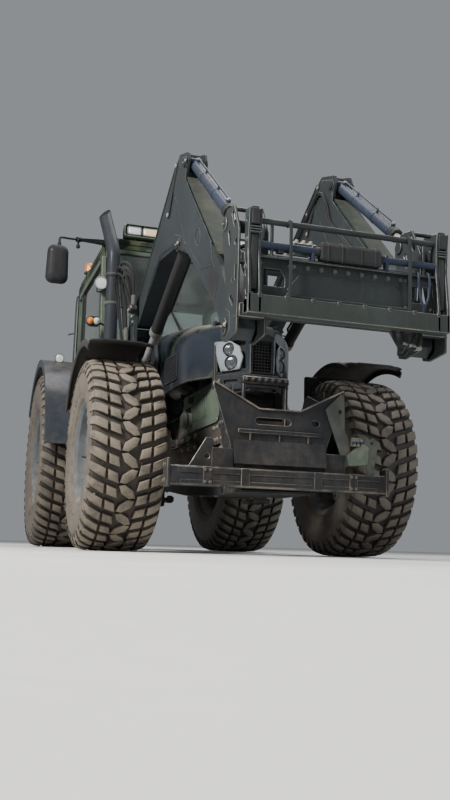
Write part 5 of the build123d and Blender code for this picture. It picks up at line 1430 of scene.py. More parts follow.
# upright fin at the V's outer tip on the machine's right
gd.append(plate([(3890, 1096), (3950, 1112), (3952, 1240), (3940, 1392), (3922, 1398), (3908, 1250)], -474, -465, "xz", (), b=2, m=0, e=1, r=5))
gd.append(weld([(3896, -464, 1104), (3930, -464, 1124)], 4, 1))
gd += [cbox(3946, 3958, y - 6, y + 6, 600, 840, 3, 0, 1) for y in (-210, 0, 210)]
gus = [(3560, 960), (3640, 1120), (3700, 1140), (3932, 1060), (3932, 577), (3800, 577), (3700, 640)]
for s_ in (1, -1):
    gd.append(plate(gus, s_ * 300, s_ * 314, "xz", [circle(3720, 1020, 26, 18, 1.3, 1.0), circle(3810, 985, 24, 18, 1.3, 1.0), circle(3760, 860, 38, 22), circle(3850, 730, 34, 20)], b=3, m=0, e=1, r=10))
    gd.append(plate([(3932, 640), (3932, 1140), (3800, 1120), (3720, 1010)], s_ * 330, s_ * 337, "xz", [circle(3870, 1040, 20, 16)], b=2, m=0, e=1, r=8))
    gd.append(cbox(3558, 3722, s_ * 245, s_ * 316, 880, 950, 6, 0, 1))
    for x in (3590, 3640, 3690):
        gb += bolt((x, s_ * 316, 915), (0, s_, 0), 13, 12)
    gd.append(weld([(3929, s_ * 316, 600), (3929, s_ * 316, 1055)], 4, 1))
gd += [cbox(3820, 3932, -300, 300, 640, 656, 3, 0, 1), cbox(3880, 3932, -330, 330, 575, 615, 5, 0, 1), cbox(3700, 3830, -300, 300, 700, 712, 3, 0, 1)]
# studded cross bar under the grille on two legs
gd += [cbox(3606, 3664, -176, 176, 1206, 1262, 9, 0, 1), [cbox(3612, 3650, s_ * 150, s_ * 172, 900, 1210, 5, 0, 1) for s_ in (1, -1)], [cbox(3540, 3640, s_ * 148, s_ * 174, 860, 904, 4, 0, 1) for s_ in (1, -1)]]
for k in range(7):
    gb += bolt((3664, -150 + 50 * k, 1240), (1, 0, 0), 9, 11)
gl.append(cbox(3648, 3668, 60, 92, 1180, 1204, 4, 0, 0))
make("front_guard_plates", "chassis", [M["guard"], M["guard_edge"]], gd, replaces=("front_guard",), sharp=40)
make("front_guard_bolts", "chassis", [M["bolt_dark"]], gb)
# light plates on the left side, drooping triangle, box with couplers
pl = [plate([(330, 1010), (452, 1128), (474, 1100), (478, 870), (515, 800), (520, 640), (480, 610)], 3950, 3962, "yz", [circle(440, 1000, 16, 16)], b=3, m=0, e=0, r=8),
      plate([(486, 700), (610, 790), (650, 760), (640, 640), (500, 620)], 3964, 3990, "yz", (), b=5, m=1, e=1, r=14),
      plate([(610, 800), (690, 830), (716, 760), (668, 470), (650, 470)], 3976, 3988, "yz", [circle(672, 790, 10, 12)], b=3, m=2, e=2, r=7),
      cbox(3966, 3992, 516, 600, 762, 822, 6, 1, 1)]
make("front_light_plates", "chassis", [M["guard_light"], M["pale"], M["guard_light"]], pl, slot="guard_steel")
qc = [[cyl((3984, 528 + 30 * k, 806), (3997, 528 + 30 * k, 788), 11, 18, 3, 0), cyl((3996, 528 + 30 * k, 790), (4008, 528 + 30 * k, 773), 13, 18, 3, 1), cyl((4007, 528 + 30 * k, 774), (4013, 528 + 30 * k, 765), 9, 14, 2, 0)] for k in range(3)]
make("front_couplers", "chassis", [M["steel"], M["blue"]], qc, slot="guard_steel")
# beam: channel with plates, bolts, ends, chips
bm_, bb_ = [], []
bm_.append(cbox(3912, 4012, -778, 778, 441, 569, 8, 0, 1))
bm_ += [cbox(4008, 4018, -720, 720, 524, 560, 3, 0, 1), cbox(4008, 4016, -700, 700, 450, 478, 3, 0, 1)]
bm_ += [cbox(3906, 4018, s_ * 768, s_ * 791, 426, 614, 6, 0, 1) for s_ in (1, -1)]
bm_ += [cbox(4006, 4020, y - 30, y + 30, 446, 566, 4, 0, 1) for y in (-520, -260, 260, 520)]
bm_ += [plate([(-640, 565), (-470, 565), (-470, 760), (-520, 766)], 3950, 3964, "yz", [circle(-512, 640, 18, 16)], b=3, m=0, e=1, r=6),
        plate([(-480, 566), (-330, 566), (-330, 700), (-480, 700)], 3946, 3966, "yz", (), b=3, m=0, e=1, r=6),
        plate([(480, 566), (330, 566), (330, 700), (480, 700)], 3946, 3966, "yz", (), b=3, m=0, e=1, r=6)]
for s_ in (1, -1):
    for y in (502, 538):
        for z in (466, 546):
            bb_ += bolt((4020, s_ * y, z), (1, 0, 0), 8, 8)
    for z in (470, 570):
        bb_ += bolt((3960, s_ * 791, z), (0, s_, 0), 12, 12)
make("front_beam_steel", "chassis", [M["guard"], M["guard_edge"]], bm_, replaces=("front_beam",), sharp=40)
make("front_beam_bolts", "chassis", [M["bolt_dark"]], bb_)
# shackles under the beam and stone-shield bars swept back below
sh = []
for s_ in (1, -1):
    sh.append(torus((3990, s_ * 400, 420), (0, 1, 0), 26, 8, 20, 8, 0))
    sh.append(cbox(3970, 4010, s_ * 400 - 16, s_ * 400 + 16, 424, 446, 4, 0))
sh += [sweep([(3900, y, 560), (3700, y * 0.92, 470), (3450, y * 0.8, 424)], 9, 8, 0, prof=[(-22, -5), (22, -5), (22, 5), (-22, 5)]) for y in (-250, -90, 90, 250)]
sh += [sweep([(3860, -240, 540), (3640, 120, 440)], 9, 8, 0, prof=[(-14, -4), (14, -4), (14, 4), (-14, 4)]), sweep([(3860, 240, 530), (3660, -60, 436)], 9, 8, 0, prof=[(-14, -4), (14, -4), (14, 4), (-14, 4)])]
make("front_stone_bars", "chassis", [M["guard"]], sh)


# =============================================================== cab: roof, lamps, mirrors, exhaust, hoses, doors, seat
def rrect(a0, a1, b0, b1, r, k=5):
    """Rounded rectangle outline."""
    r = min(r, (a1 - a0) * 0.49, (b1 - b0) * 0.49)
    out = []
    for ca, cb, s in ((a1 - r, b1 - r, 0), (a0 + r, b1 - r, 1), (a0 + r, b0 + r, 2), (a1 - r, b0 + r, 3)):
        for q in range(k + 1):
            w = pi / 2 * (s + q / k)
            out.append((ca + r * cos(w), cb + r * sin(w)))
    return out


def rings(plane, steps, a0, a1, b0, b1, r, k=5):
    """Rings for a loft: steps are (place across the plane, inset) or (place, inset, inset along b)."""
    put = PUT[plane]
    out = []
    for st in steps:
        w, i = st[0], st[1]
        j = st[2] if len(st) > 2 else i
        out.append([put(p[0], p[1], w) for p in rrect(a0 + i, a1 - i, b0 + j, b1 - j, max(r - i * 0.6, 4), k)])
    return out


roof_rings = rings("xy", [(2950, 96), (2946, 88), (2896, 72), (2888, 62), (2885, 12), (2889, 3), (2896, 0), (2924, 0), (2928, 7), (2936, 7), (2940, 0), (2984, 4),
                          (3000, 14), (3010, 34), (3017, 74), (3023, 190), (3026, 420)], -690, 1275, -805, 805, 90, 7)
for ring_ in roof_rings[4:]:
    for i_, p_ in enumerate(ring_):
        if p_[0] > 900:
            ring_[i_] = (p_[0], p_[1], p_[2] - 10.0 * ((p_[0] - 900) / 375.0) ** 2 * (1 if p_[2] > 2940 else 0))
roof_mesh = loft(roof_rings, 0)
n_r = len(roof_rings[0])
roof_mesh.m = [(1 if q < 3 else (2 if q in (8,) else 0)) for q in range(len(roof_rings) - 1) for _ in range(n_r)] + [1, 0]
ribs_ = [loft([[(x, y, z) for y, z in ((yc - 26, 3014), (yc + 26, 3014), (yc + 18, 3034), (yc - 18, 3034))] for x in (-480, -460, 900, 930)], 0) for yc in (-360, 0, 360)]
hatch_ = loft(rings("xy", [(3018, 0), (3036, 2), (3042, 10), (3044, 60)], 60, 720, -250, 250, 60, 6), 3)
make("roof_shell", "chassis", [M["camo_roof"], M["mat"], M["seal"], M["camo_roof"]], roof_mesh, ribs_, hatch_, both(cbox(-560, 1120, 772, 792, 2998, 3022, 5, 2)), replaces=["cab_roof"], sharp=38)


def lamp_unit(c, r, d=(1, 0, 0), depth=60.0, body=0, bez=1, refl=2, glass_=3):
    """Round work lamp: body, bezel, bowl, lens set in the bezel."""
    d = Vector(d).normalized()
    c = Vector(c)
    o = c - d * depth
    sh = lathe([(0, 0), (0, r * 0.45), (6, r * 0.55), (depth * 0.45, r * 0.9), (depth * 0.72, r), (depth * 0.74, r * 0.93), (depth, r * 0.93), (depth, 0)], o, d, 40, body)
    rim_ = ringsolid([(-9, r * 0.90), (-9, r * 1.02), (-2, r * 1.05), (5, r * 1.03), (8, r * 0.98), (6, r * 0.86), (-4, r * 0.84)], c, d, 44, bez)
    bowl = lathe([(-7, 0), (-7, r * 0.3), (-1.0, r * 0.85), (-3.0, r * 0.86), (-9, r * 0.3), (-9, 0)], c, d, 36, refl)
    ln = lathe([(0.5, 0), (0.5, r * 0.85), (4.0, r * 0.84), (6.5, r * 0.5), (7.4, 0)], c, d, 40, glass_)
    return [sh, rim_, bowl, ln]


# box of two lamps on the roof's front edge
def light_box():
    s = -1.0
    hous = loft(rings("yz", [(1262, 22), (1288, 17), (1299, 9), (1300, 4), (1297, 0), (1270, 0), (1190, 2), (1150, 10, 8), (1132, 24, 18)], -645, -250, 3016, 3146, 26, 6), 0)
    nn_ = len(rrect(0, 100, 0, 50, 10, 6))
    hous.m = [4] * nn_ + [4] * nn_ + [0] * (nn_ * 6) + [4, 0]
    out = [hous]
    for y0, y1, lens_i in ((-616, -478, 3), (-462, -278, 5)):
        bez = loft(rings("yz", [(1268, 12), (1292, 7), (1296, 3), (1294, 0), (1264, 0)], y0, y1, 3040, 3122, 16, 5), 1)
        bowl = loft(rings("yz", [(1274, 26, 20), (1288, 9, 8), (1285, 8, 7), (1268, 24, 20)], y0, y1, 3040, 3122, 16, 5), 2)
        ln = loft(rings("yz", [(1289, 9, 8), (1293, 10, 9), (1296.5, 22, 20), (1297.5, 40, 32)], y0, y1, 3040, 3122, 16, 5), lens_i)
        out += [bez, bowl, ln]
    out += [cbox(1150, 1262, -560, -520, 2996, 3020, 4, 4), cbox(1150, 1262, -370, -330, 2996, 3020, 4, 4)]
    out += [dome((1299, y, z), (1, 0, 0), 6, 4, 1) for y in (-636, -259) for z in (3030, 3132)]
    out += [cbox(1180, 1186, -640, -255, 3142, 3150, 2, 0), cbox(1210, 1216, -640, -255, 3142, 3150, 2, 0)]
    return out


def indicator():
    out = [loft(rings("yz", [(1508, 14), (1510, 4), (1516, 0), (1534, 0), (1538, 4)], -1004, -876, 2026, 2124, 40, 6), 0)]
    for yc, k in ((-968, 5), (-912, 3)):
        out.append(lathe([(0, 0), (0, 31), (8, 33), (20, 31), (30, 25), (37, 14), (40, 0)], (1537, yc, 2075), (1, 0, 0), 30, k))
    out += [sweep(curve([(1480, -792, 2050), (1496, -830, 2056), (1508, -880, 2068), (1516, -920, 2074)], 6), 10, 10, 0), cbox(1455, 1492, -803, -790, 2020, 2090, 3, 0)]
    out += flat([bolt((1474, -803, z), (0, -1, 0), 7, 6, 4) for z in (2034, 2076)])
    return out


def pillar_lamps():
    out = lamp_unit((1417, -868, 2480), 60, (1, -0.05, -0.06), 70, 0, 1, 2, 3)
    out += [cbox(1331, 1352, -862, -800, 2462, 2498, 3, 0), cbox(1300, 1352, -812, -798, 2440, 2520, 3, 0), cbox(1346, 1362, -900, -836, 2404, 2416, 3, 0),
            cbox(1346, 1360, -900, -888, 2404, 2478, 3, 0)]
    out += flat([bolt((1318, -811, z), (0, -1, 0), 7, 6, 4) for z in (2454, 2506)])
    return out


def rear_lamps():
    out = [loft(rings("yz", [(-600, 8), (-604, 2), (-612, 0), (-676, 0), (-686, 6), (-690, 14), (-676, 20)], 420, 600, 3018, 3096, 16, 5), 0)]
    out += [loft(rings("yz", [(-678, 22), (-686, 24), (-689, 40)], 420, 600, 3018, 3096, 16, 5), 3), cbox(-660, -630, 490, 530, 3000, 3022, 3, 4)]
    return out


def fender_lamps():
    c = (350, -1095, 1938)
    out = lamp_unit(c, 48, (1, 0, 0.05), 58, 1, 1, 2, 3)
    a_ = radians(68)
    out += [cbox(300, 318, -1112, -1078, 1800, 1900, 3, 4), cbox(278, 350, -1122, -1068, 1800, 1812, 3, 4)]
    return out


beacon_ = [lathe([(0, 0), (0, 14), (160, 14), (160, 0)], (-600, -690, 3016), (0, 0, 1), 18, 4), cbox(-632, -568, -722, -658, 3012, 3024, 4, 4),
           lathe([(0, 0), (0, 52), (5, 66), (10, 70), (22, 70), (28, 66), (30, 0)], (-600, -690, 3158), (0, 0, 1), 40, 6),
           lathe([(0, 0), (0, 61), (12, 60), (70, 57), (92, 50), (104, 34), (108, 0)], (-600, -690, 3184), (0, 0, 1), 40, 5)]
LM = [M["black"], M["silver"], M["reflector"], M["lens"], M["seal"], M["lens_warm"], M["guard_light"]]
make("roof_light_boxes", "chassis", [M["pale"], M["silver"], M["reflector"], M["lens"], M["black"], M["lens_warm"]], both(light_box()), sharp=40)
make("cab_front_lamps", "chassis", LM, both(pillar_lamps()), sharp=40)
make("turn_indicators", "chassis", [M["black"], M["silver"], M["reflector"], M["lens"], M["zinc"], M["amber"]], both(indicator()), sharp=40)
make("rear_work_lamps", "chassis", LM, both(rear_lamps()), sharp=40)
make("fender_round_lamps", "chassis", [M["black"], M["pale"], M["reflector"], M["lens"], M["black"]], both(fender_lamps()), sharp=40)
make("beacon", "chassis", [M["black"], M["silver"], M["reflector"], M["lens"], M["black"], M["amber"], M["guard_light"]], beacon_, sharp=40, replaces=["work_lamps"])


# mirrors on tapered arms
def mirror_set():
    out = []
    sec = [(-1, -0.55), (1, -0.55), (1, 0.55), (-1, 0.55)]
    arm_ = [Vector((1196, -812, 2952)), Vector((1262, -905, 2932)), Vector((1330, -1002, 2908)), Vector((1396, -1096, 2884))]
    out.append(sweep(arm_, 1, prof=[(p[0] * 36, p[1] * 36) for p in sec], m=0, rr=[1.0, 0.86, 0.68, 0.52]))
    out += [cbox(1150, 1236, -838, -796, 2920, 2980, 6, 0)] + flat([bolt((x, -838, 2950), (0, -1, 0), 9, 8, 3) for x in (1166, 1220)])
    out += [cyl((1386, -1082, 2888), (1412, -1118, 2878), 25, 20, 3, 0), cyl((1400, -1101, 2880), (1400, -1101, 2826), 10, 12, 2, 0),
            lathe([(0, 0), (0, 15), (10, 19), (26, 19), (32, 12), (32, 0)], (1400, -1101, 2798), (0, 0, 1), 14, 0)]
    out += [sweep(curve([(1400, -1101, 2882), (1465, -1195, 2860), (1512, -1264, 2846), (1528, -1288, 2830), (1530, -1290, 2800), (1530, -1290, 2740)], 6), 10.5, 14, 0)]
    out += [cyl((1530, -1290, 2742), (1530, -1290, 2790), 17, 18, 3, 0), cyl((1530, -1290, 2400), (1530, -1290, 2424), 13, 14, 3, 0)]
    steps = [(1509, 15), (1502, 13), (1500, 8), (1502, 3), (1510, 0), (1534, 0), (1552, 6), (1566, 17), (1577, 34), (1584, 58), (1586, 80)]
    rr_ = rings("yz", steps, -1400, -1196, 2398, 2762, 62, 7)
    rr_ = [[(x, y, z + 0.0) if z < 2580 else (x, -1298 + (y + 1298) * (1 - 0.10 * (z - 2580) / 180.0), z) for x, y, z in ring] for ring in rr_]
    shell_ = loft(rr_, 1)
    out.append(shell_)
    gl = rings("yz", [(1504, 18), (1506, 16), (1509, 16)], -1400, -1196, 2398, 2762, 62, 7)
    gl = [[(x, y, z) if z < 2580 else (x, -1298 + (y + 1298) * (1 - 0.10 * (z - 2580) / 180.0), z) for x, y, z in ring] for ring in gl]
    out.append(loft(gl, 2))
    return out


make("mirror_set", "chassis", [M["gloss"], M["gloss"], M["mirror"], M["bolt_dark"]], both(mirror_set()), replaces=["mirrors"], sharp=40)


# exhaust stack: muffler pipe, bend, slanted open end
def exhaust():
    out = []
    prof = [(0, 0), (0, 50), (6, 54), (64, 54), (70, 58), (76, 60), (90, 57), (700, 57), (704, 62), (728, 62), (732, 57), (985, 57), (990, 66), (1010, 66), (1014, 60), (1040, 60), (1040, 0)]
    out.append(lathe(prof, (1650, -800, 1488), (0, 0, 1), 48, 0))
    for z in (1600, 2215, 2484):
        out += [ringsolid([(0, 55), (0, 63.5), (2, 65), (20, 65), (22, 63.5), (22, 55)], (1650, -800, z), (0, 0, 1), 48, 3), cbox(1580, 1602, -812, -788, z + 2, z + 20, 2, 3)]
        out += bolt((1590, -813, z + 11), (0, -1, 0), 6, 7, 3)
    path = curve([(1650, -800, 2505), (1650, -800, 2620), (1642, -802, 2705), (1600, -812, 2810), (1530, -832, 2940), (1452, -854, 3085), (1412, -866, 3165)], 7)
    R0, RI, n = 61.0, 56.0, 40
    N = len(path)
    t0 = (path[1] - path[0]).normalized()
    _, a, b = basis(t0)
    prev, ring_o, ring_i = t0, [], []
    cutd = Vector((0.80, -0.60, 0.0))
    for i in range(N):
        t = (path[min(i + 1, N - 1)] - path[max(i - 1, 0)]).normalized()
        a = prev.rotation_difference(t) @ a
        a = (a - t * a.dot(t)).normalized()
        b = t.cross(a)
        prev = t
        q = max(0.0, (i - (N - 7)) / 6.0)
        ro, ri = [], []
        for k in range(n):
            w = 2 * pi * k / n
            off = a * cos(w) + b * sin(w)
            slant = -t * (off.dot(cutd)) * 92.0 * q
            ro.append(tuple(path[i] + off * R0 + slant))
            ri.append(tuple(path[i] + off * RI + slant))
        ring_o.append(ro)
        ring_i.append(ri)
    rr_ = ring_o + list(reversed(ring_i[-16:]))
    tube_ = loft(rr_, 0)
    tube_.m = [(0 if q < N - 1 else (0 if q == N - 1 else 1)) for q in range(len(rr_) - 1) for _ in range(n)] + [0, 1]
    out.append(tube_)
    out += [cbox(1500, 1650, -786, -746, 1706, 1736, 4, 2), cbox(1455, 1650, -786, -746, 1506, 1536, 4, 2)]
    out += [sweep(curve([(1650, -800, 1500), (1650, -760, 1488), (1650, -650, 1474), (1650, -500, 1460)], 6), 44, 24, 2)]
    # heat shield in front of the pipe
    shield = []
    for k in range(15):
        w = radians(-62 + 124 * k / 14)
        shield.append([(1650 + 66 * cos(w), -800 - 66 * sin(w), z) for z in (1640, 1660, 1800, 2000, 2180, 2200)])
    out.append(shell(shield, -2.5, 0))
    return out


make("exhaust_pipe", "chassis", [M["exhaust"], M["soot_and_painted_shade"], M["black"], M["bolt_dark"]], exhaust(), replaces=["exhaust_stack"], sharp=42)


# valve block, couplers with spring guards, hose loops to the clamp beside the mast
def spring(p0, p1, r, wire=3.2, turns=14, m=1):
    p0, p1 = Vector(p0), Vector(p1)
    d, a, b = basis(p1 - p0)
    L = (p1 - p0).length
    return sweep([p0 + d * (L * k / (turns * 10)) + a * (r * cos(2 * pi * k / 10)) + b * (r * sin(2 * pi * k / 10)) for k in range(turns * 10 + 1)], wire, 5, m)


vb, hz = [], []
vb += [cbox(1905, 2040, -745, -686, 1500, 1716, 6, 0), cbox(1898, 2047, -752, -684, 1540, 1556, 2, 0), cbox(1898, 2047, -752, -684, 1660, 1676, 2, 0)]
vb += flat([bolt((x, -746, z), (0, -1, 0), 8, 9, 1) for x in (1922, 2022) for z in (1518, 1608, 1698)])
vb += flat([lathe([(0, 0), (0, 17), (4, 18), (26, 18), (30, 14), (46, 12), (46, 0)], (1930 + 42 * k, -745, 1580), (0, -1, 0), 18, 1) for k in range(3)])
for k in range(3):
    x = 1930 + 42 * k
    vb += [lathe([(0, 0), (0, 16), (14, 16), (14, 13), (30, 13), (32, 18), (58, 18), (60, 14), (88, 14), (88, 0)], (x, -715, 1712), (0, 0, 1), 18, 1),
           lathe([(0, 0), (0, 20), (18, 20), (18, 0)], (x, -715, 1734), (0, 0, 1), 6, 1),
           lathe([(0, 0), (0, 17.5), (10, 17.5), (10, 0)], (x, -715, 1776), (0, 0, 1), 20, 2)]
    xe, z1, r_ = 2185 - 45 * k, 2478 - 56 * k, 100 - 32 * k
    dx = xe - x
    loop_ = [(x, -715, 1800), (x - 12, -722, 1930), (x - 38, -754 + 8 * k, z1 - 180), (x - 26, -784 + 10 * k, z1 - 74), (x + dx * 0.20, -798 + 14 * k, z1 - 4), (x + dx * 0.5, -778 + 12 * k, z1 + 20), (x + dx * 0.80, -740 + 8 * k, z1 - 22),
             (xe - 12, -713, z1 - 112), (xe - 3, -703, 2200), (xe, -701, 2093)]
    hz += [sweep(curve(loop_, 9), 13.5, 14, 0), spring((x, -715, 1798), (x - 11, -717, 1925), 16.8, 3.0, 15, 1), spring((xe, -701, 2092), (xe - 2, -702, 2175), 16.8, 3.0, 10, 1)]
    vb += [lathe([(0, 0), (0, 16), (20, 16), (20, 13), (44, 13), (44, 0)], (xe, -701, 2050), (0, 0, 1), 18, 1), lathe([(0, 0), (0, 20), (16, 20), (16, 0)], (xe, -701, 2060), (0, 0, 1), 6, 1)]
# thinner pilot lines bundled along the same way
for k, (dy, dz, x0) in enumerate(((-27, -20, 1946), (-24, 26, 1988))):
    loop_ = [(x0, -742, 1700), (x0 - 4, -752, 1850), (x0 - 46, -766 + dy, 2190 + dz), (x0 - 28, -796 + dy, 2340 + dz), (x0 + 50, -800 + dy, 2424 + dz), (x0 + 130, -764 + dy, 2384 + dz),
             (x0 + 176, -722 + dy, 2240 + dz), (x0 + 186, -716, 2100), (x0 + 186, -712, 2066)]
    hz.append(sweep(curve(loop_, 9), 8.5, 10, 0))
    vb += [cbox(x0 - 10, x0 + 10, -754, -736, 1680, 1702, 3, 1)]
for p_, r_ in (((1912, -742, 2130), 1), ((1922, -786, 2360), 1)):
    hz.append(torus(p_, (0.2, 0, 1), 46, 5, 28, 6, 0))
vb += [cbox(2075, 2215, -722, -684, 2044, 2088, 4, 0)] + flat([bolt((x, -722, 2066), (0, -1, 0), 7, 8, 1) for x in (2088, 2112, 2204)])
make("valve_and_couplers", "chassis", [M["black"], M["zinc"], M["blue"]], vb, replaces=["valve_block"], sharp=40)
make("hose_loops", "chassis", [M["hose"], M["steel"]], hz, replaces=["loader_hoses"], sharp=50)

# doors: frame with window seal, hinge ears, latch handle
D_OUT = [(12, 2002), (462, 2002), (575, 1965), (692, 1885), (838, 1762), (972, 1612), (1072, 1452), (1124, 1290), (1492, 1290), (1492, 1490), (1268, 2800), (12, 2800)]
D_WIN = [(82, 2070), (490, 2070), (610, 2025), (735, 1940), (885, 1812), (1030, 1650), (1135, 1480), (1178, 1370), (1425, 1370), (1425, 1480), (1208, 2735), (82, 2735)]
D_WR = rounded(D_WIN, 34, 4)


def grow(pts, d):
    o = list(pts)
    if area2(o) < 0:
        o = o[::-1]
    return inset(o, d)


def door(side):
    out = [plate(rounded(D_OUT, 22, 3), -846, -806, "xz", [D_WR], 4, 0, 1)]
    out.append(plate(grow(D_WR, -7), -850, -817, "xz", [grow(D_WR, 15)], 2.5, 2))
    out.append(plate(grow(rounded(D_OUT, 22, 3), 14), -808, -803.5, "xz", [grow(rounded(D_OUT, 22, 3), 27)], 1.5, 2))
    for z in (2110, 2680):
        out += [tube((-10, -830, z + 17), (-10, -830, z + 50), 18, 10.2, 24, 3), cbox(6, 60, -852, -812, z + 17, z + 50, 4, 3)]
        out += flat([bolt((x, -852, z + 33), (0, -1, 0), 6.5, 6, 3) for x in (24, 46)])
    out += [cbox(1392, 1428, -880, -846, 1398, 1422, 6, 3), cbox(1392, 1428, -880, -846, 1308, 1332, 6, 3), cbox(1394, 1426, -888, -870, 1308, 1422, 7, 3)]
    out += [lathe([(0, 0), (0, 15), (6, 15), (9, 11), (9, 0)], (1410, -848, 1455), (0, -1, 0), 20, 4), cbox(1180, 1380, -852, -845, 1300, 1352, 3, 3)]
    out += [sweep(curve([(1120, -790, 1560), (1108, -772, 1580), (1050, -768, 1680), (965, -770, 1795), (950, -790, 1812)], 5), 10, 10, 3)]
    return out if side < 0 else [p.mir() for p in flat(out)]


for side, tag in ((1, "left"), (-1, "right")):
    make("door_frame_" + tag, "door_" + tag, [M["pale"], M["green_edge"], M["seal"], M["black"], M["zinc"]], door(side), replaces=["door_" + tag], sharp=40)

# cab trim: hinge pins, windshield seal, wiper, rails, strut, rear wall trims
trim = []
trim += both([cbox(-42, 2, -848, -800, z - 2, z + 12, 3, 0) for z in (2110, 2680)])
ws = lambda u, t: (1482 - (u * 206.0), t, 1802 + u * 1031.0)
for y in (-734, 734):
    trim.append(sweep([Vector(ws(k / 12, y)) for k in range(13)], 1, prof=[(-9, -6), (9, -6), (9, 6), (-9, 6)], m=1))
for u in (0.0, 1.0):
    trim.append(sweep([Vector(ws(u, -734 + 1468 * k / 8)) for k in range(9)], 1, prof=[(-9, -6), (9, -6), (9, 6), (-9, 6)], m=1))
trim += [cyl((1498, 60, 1812), (1540, 60, 1828), 17, 18, 3, 0), sweep(curve([(1530, 60, 1826), (1522, 40, 1900), (1470, -110, 2140), (1432, -200, 2320)], 6), 6, 8, 0),
         sweep([Vector((1520 - 206 * (z - 1802) / 1031.0, y, z)) for y, z in ((-60, 2010), (-130, 2160), (-200, 2320), (-275, 2480), (-345, 2630))], 1, prof=[(-4, -9), (4, -9), (3, 9), (-3, 9)], m=1)]
trim += [sweep(curve([(-560, -806, 2870), (-556, -826, 2850), (-548, -834, 2700), (-520, -838, 2300), (-500, -840, 2060), (-500, -818, 2030)], 6), 10, 12, 2),
         sweep(curve([(-530, -842, 2420), (-540, -880, 2412), (-530, -905, 2400), (-505, -905, 2392)], 5), 9, 10, 2)]
trim += both([sweep(curve([(1500, -760, 1560), (1530, -770, 1575), (1536, -772, 1640), (1510, -770, 2040), (1478, -764, 2085)], 6), 12, 12, 0),
              cbox(-52, 0, -806, -798, 1990, 2880, 3, 1), cbox(-612, -560, -806, -798, 1850, 2880, 3, 1)])
trim += both(flat([bolt((x, -801, z), (0, -1, 0), 7, 6, 3) for x, z in ((-30, 2050), (-30, 2400), (-30, 2780), (-585, 2050), (-585, 2780), (1460, 1262), (1300, 1262), (1160, 1262))]))
trim += both([cbox(1186, 1262, -792, -742, 2872, 2890, 4, 1), plate([(1446, 1300), (1494, 1300), (1494, 1480), (1446, 1480)], -806, -800, "xz", (), 2, 1)])
make("cab_trim", "chassis", [M["black"], M["seal"], M["guard_light"], M["zinc"]], trim, sharp=42)


# ---- inside the cab
def puff(name, x0, x1, y0, y1, z0, z1, r, mat, press=4.0, cap=12.0, bulge=10.0):
    """A stuffed cushion: rounded pad with stitched channels; a short cloth run under pressure fills it."""
    nx, ny = 2, 2
    st = [(0, 26), (4, 12), (12, 3), (24, 0), (z1 - z0 - 26, 0), (z1 - z0 - 10, 5), (z1 - z0 - 2, 18), (z1 - z0, 40)]
    p = loft([[(q[0], q[1], z0 + s) for q in rrect(x0 + i, x1 - i, y0 + i, y1 - i, r, 6)] for s, i in st], 0)
    ob = make(name, "chassis", [mat], p, sharp=60, wn=False)
    rm = ob.modifiers.new("remesh", "REMESH")
    rm.mode = "VOXEL"
    rm.voxel_size = 0.006
    bpy.context.view_layer.objects.active = ob
    for o in bpy.context.selected_objects:
        o.select_set(False)
    ob.select_set(True)
    bpy.ops.object.modifier_apply(modifier="remesh")
    co = np.array([v.co for v in ob.data.vertices], float)
    rest = co.copy()
    cx, cy = (x0 + x1) / 2 + SHIFT_X, (y0 + y1) / 2
    X, Y, Z = co[:, 0] * 1000 - cx, co[:, 1] * 1000 - cy, co[:, 2] * 1000
    top = np.clip((Z - (z0 + z1) / 2) / ((z1 - z0) / 2), 0, 1)
    seam = np.zeros(len(X))
    for c in (-0.5 * (y1 - y0) * 0.52, 0.5 * (y1 - y0) * 0.52):
        seam = np.maximum(seam, np.exp(-((Y - c) / 9.0) ** 2))
    for c in (-(x1 - x0) * 0.17, (x1 - x0) * 0.17):
        seam = np.maximum(seam, np.exp(-((X - c) / 8.0) ** 2) * (np.abs(Y) < 0.26 * (y1 - y0)))
    pinned = seam * top
    co[:, 2] -= pinned * 9.0 / 1000
    ob.data.vertices.foreach_set("co", co.astype(np.float32).ravel())
    vg = ob.vertex_groups.new(name="pin")
    for i in range(len(co)):
        w = max(float(pinned[i] > 0.55), float(Z[i] < z0 + 8))
        if w > 0:
            vg.add([i], w, "REPLACE")
    cl = ob.modifiers.new("cloth", "CLOTH")
    cs = cl.settings
    cs.quality = 6
    cs.mass = 0.3
    cs.use_pressure = True
    cs.uniform_pressure_force = press
    cs.vertex_group_mass = "pin"
    cs.effector_weights.gravity = 0.0
    cs.tension_stiffness = cs.compression_stiffness = 18
    cs.bending_stiffness = 1.5
    cl.point_cache.frame_start, cl.point_cache.frame_end = 1, 20
    sc_ = bpy.context.scene
    for fnum in range(1, 21):
        sc_.frame_set(fnum)
    dg = bpy.context.evaluated_depsgraph_get()
    ev = ob.evaluated_get(dg)
    new = np.array([v.co for v in ev.data.vertices], float)
    ob.modifiers.remove(cl)
    sc_.frame_set(1)
    if len(new) == len(co) and np.isfinite(new).all():
        mvv = new - co
        ln = np.linalg.norm(mvv, axis=1, keepdims=True)
        mvv *= np.minimum(1.0, (cap / 1000.0) / np.maximum(ln, 1e-9))
        co = co + mvv
        ob.data.vertices.foreach_set("co", co.astype(np.float32).ravel())
    ob.data.update()
    ob.data.polygons.foreach_set("use_smooth", [True] * len(ob.data.polygons))
    sb = ob.modifiers.new("sub", "SUBSURF")
    sb.levels = sb.render_levels = 1
    dc = ob.modifiers.new("lighter", "DECIMATE")
    dc.ratio = 0.25
    return ob


def turned(ob, M4):
    """Turns a finished mesh in place (frame metres)."""
    ob.data.transform(M4)
    ob.data.update()


cushion = puff("seat_cushion", 150, 622, -248, 248, 1462, 1590, 70, M["seat"])
back = puff("seat_backrest", 1000, 1560, -236, 236, 1462, 1570, 80, M["seat"])
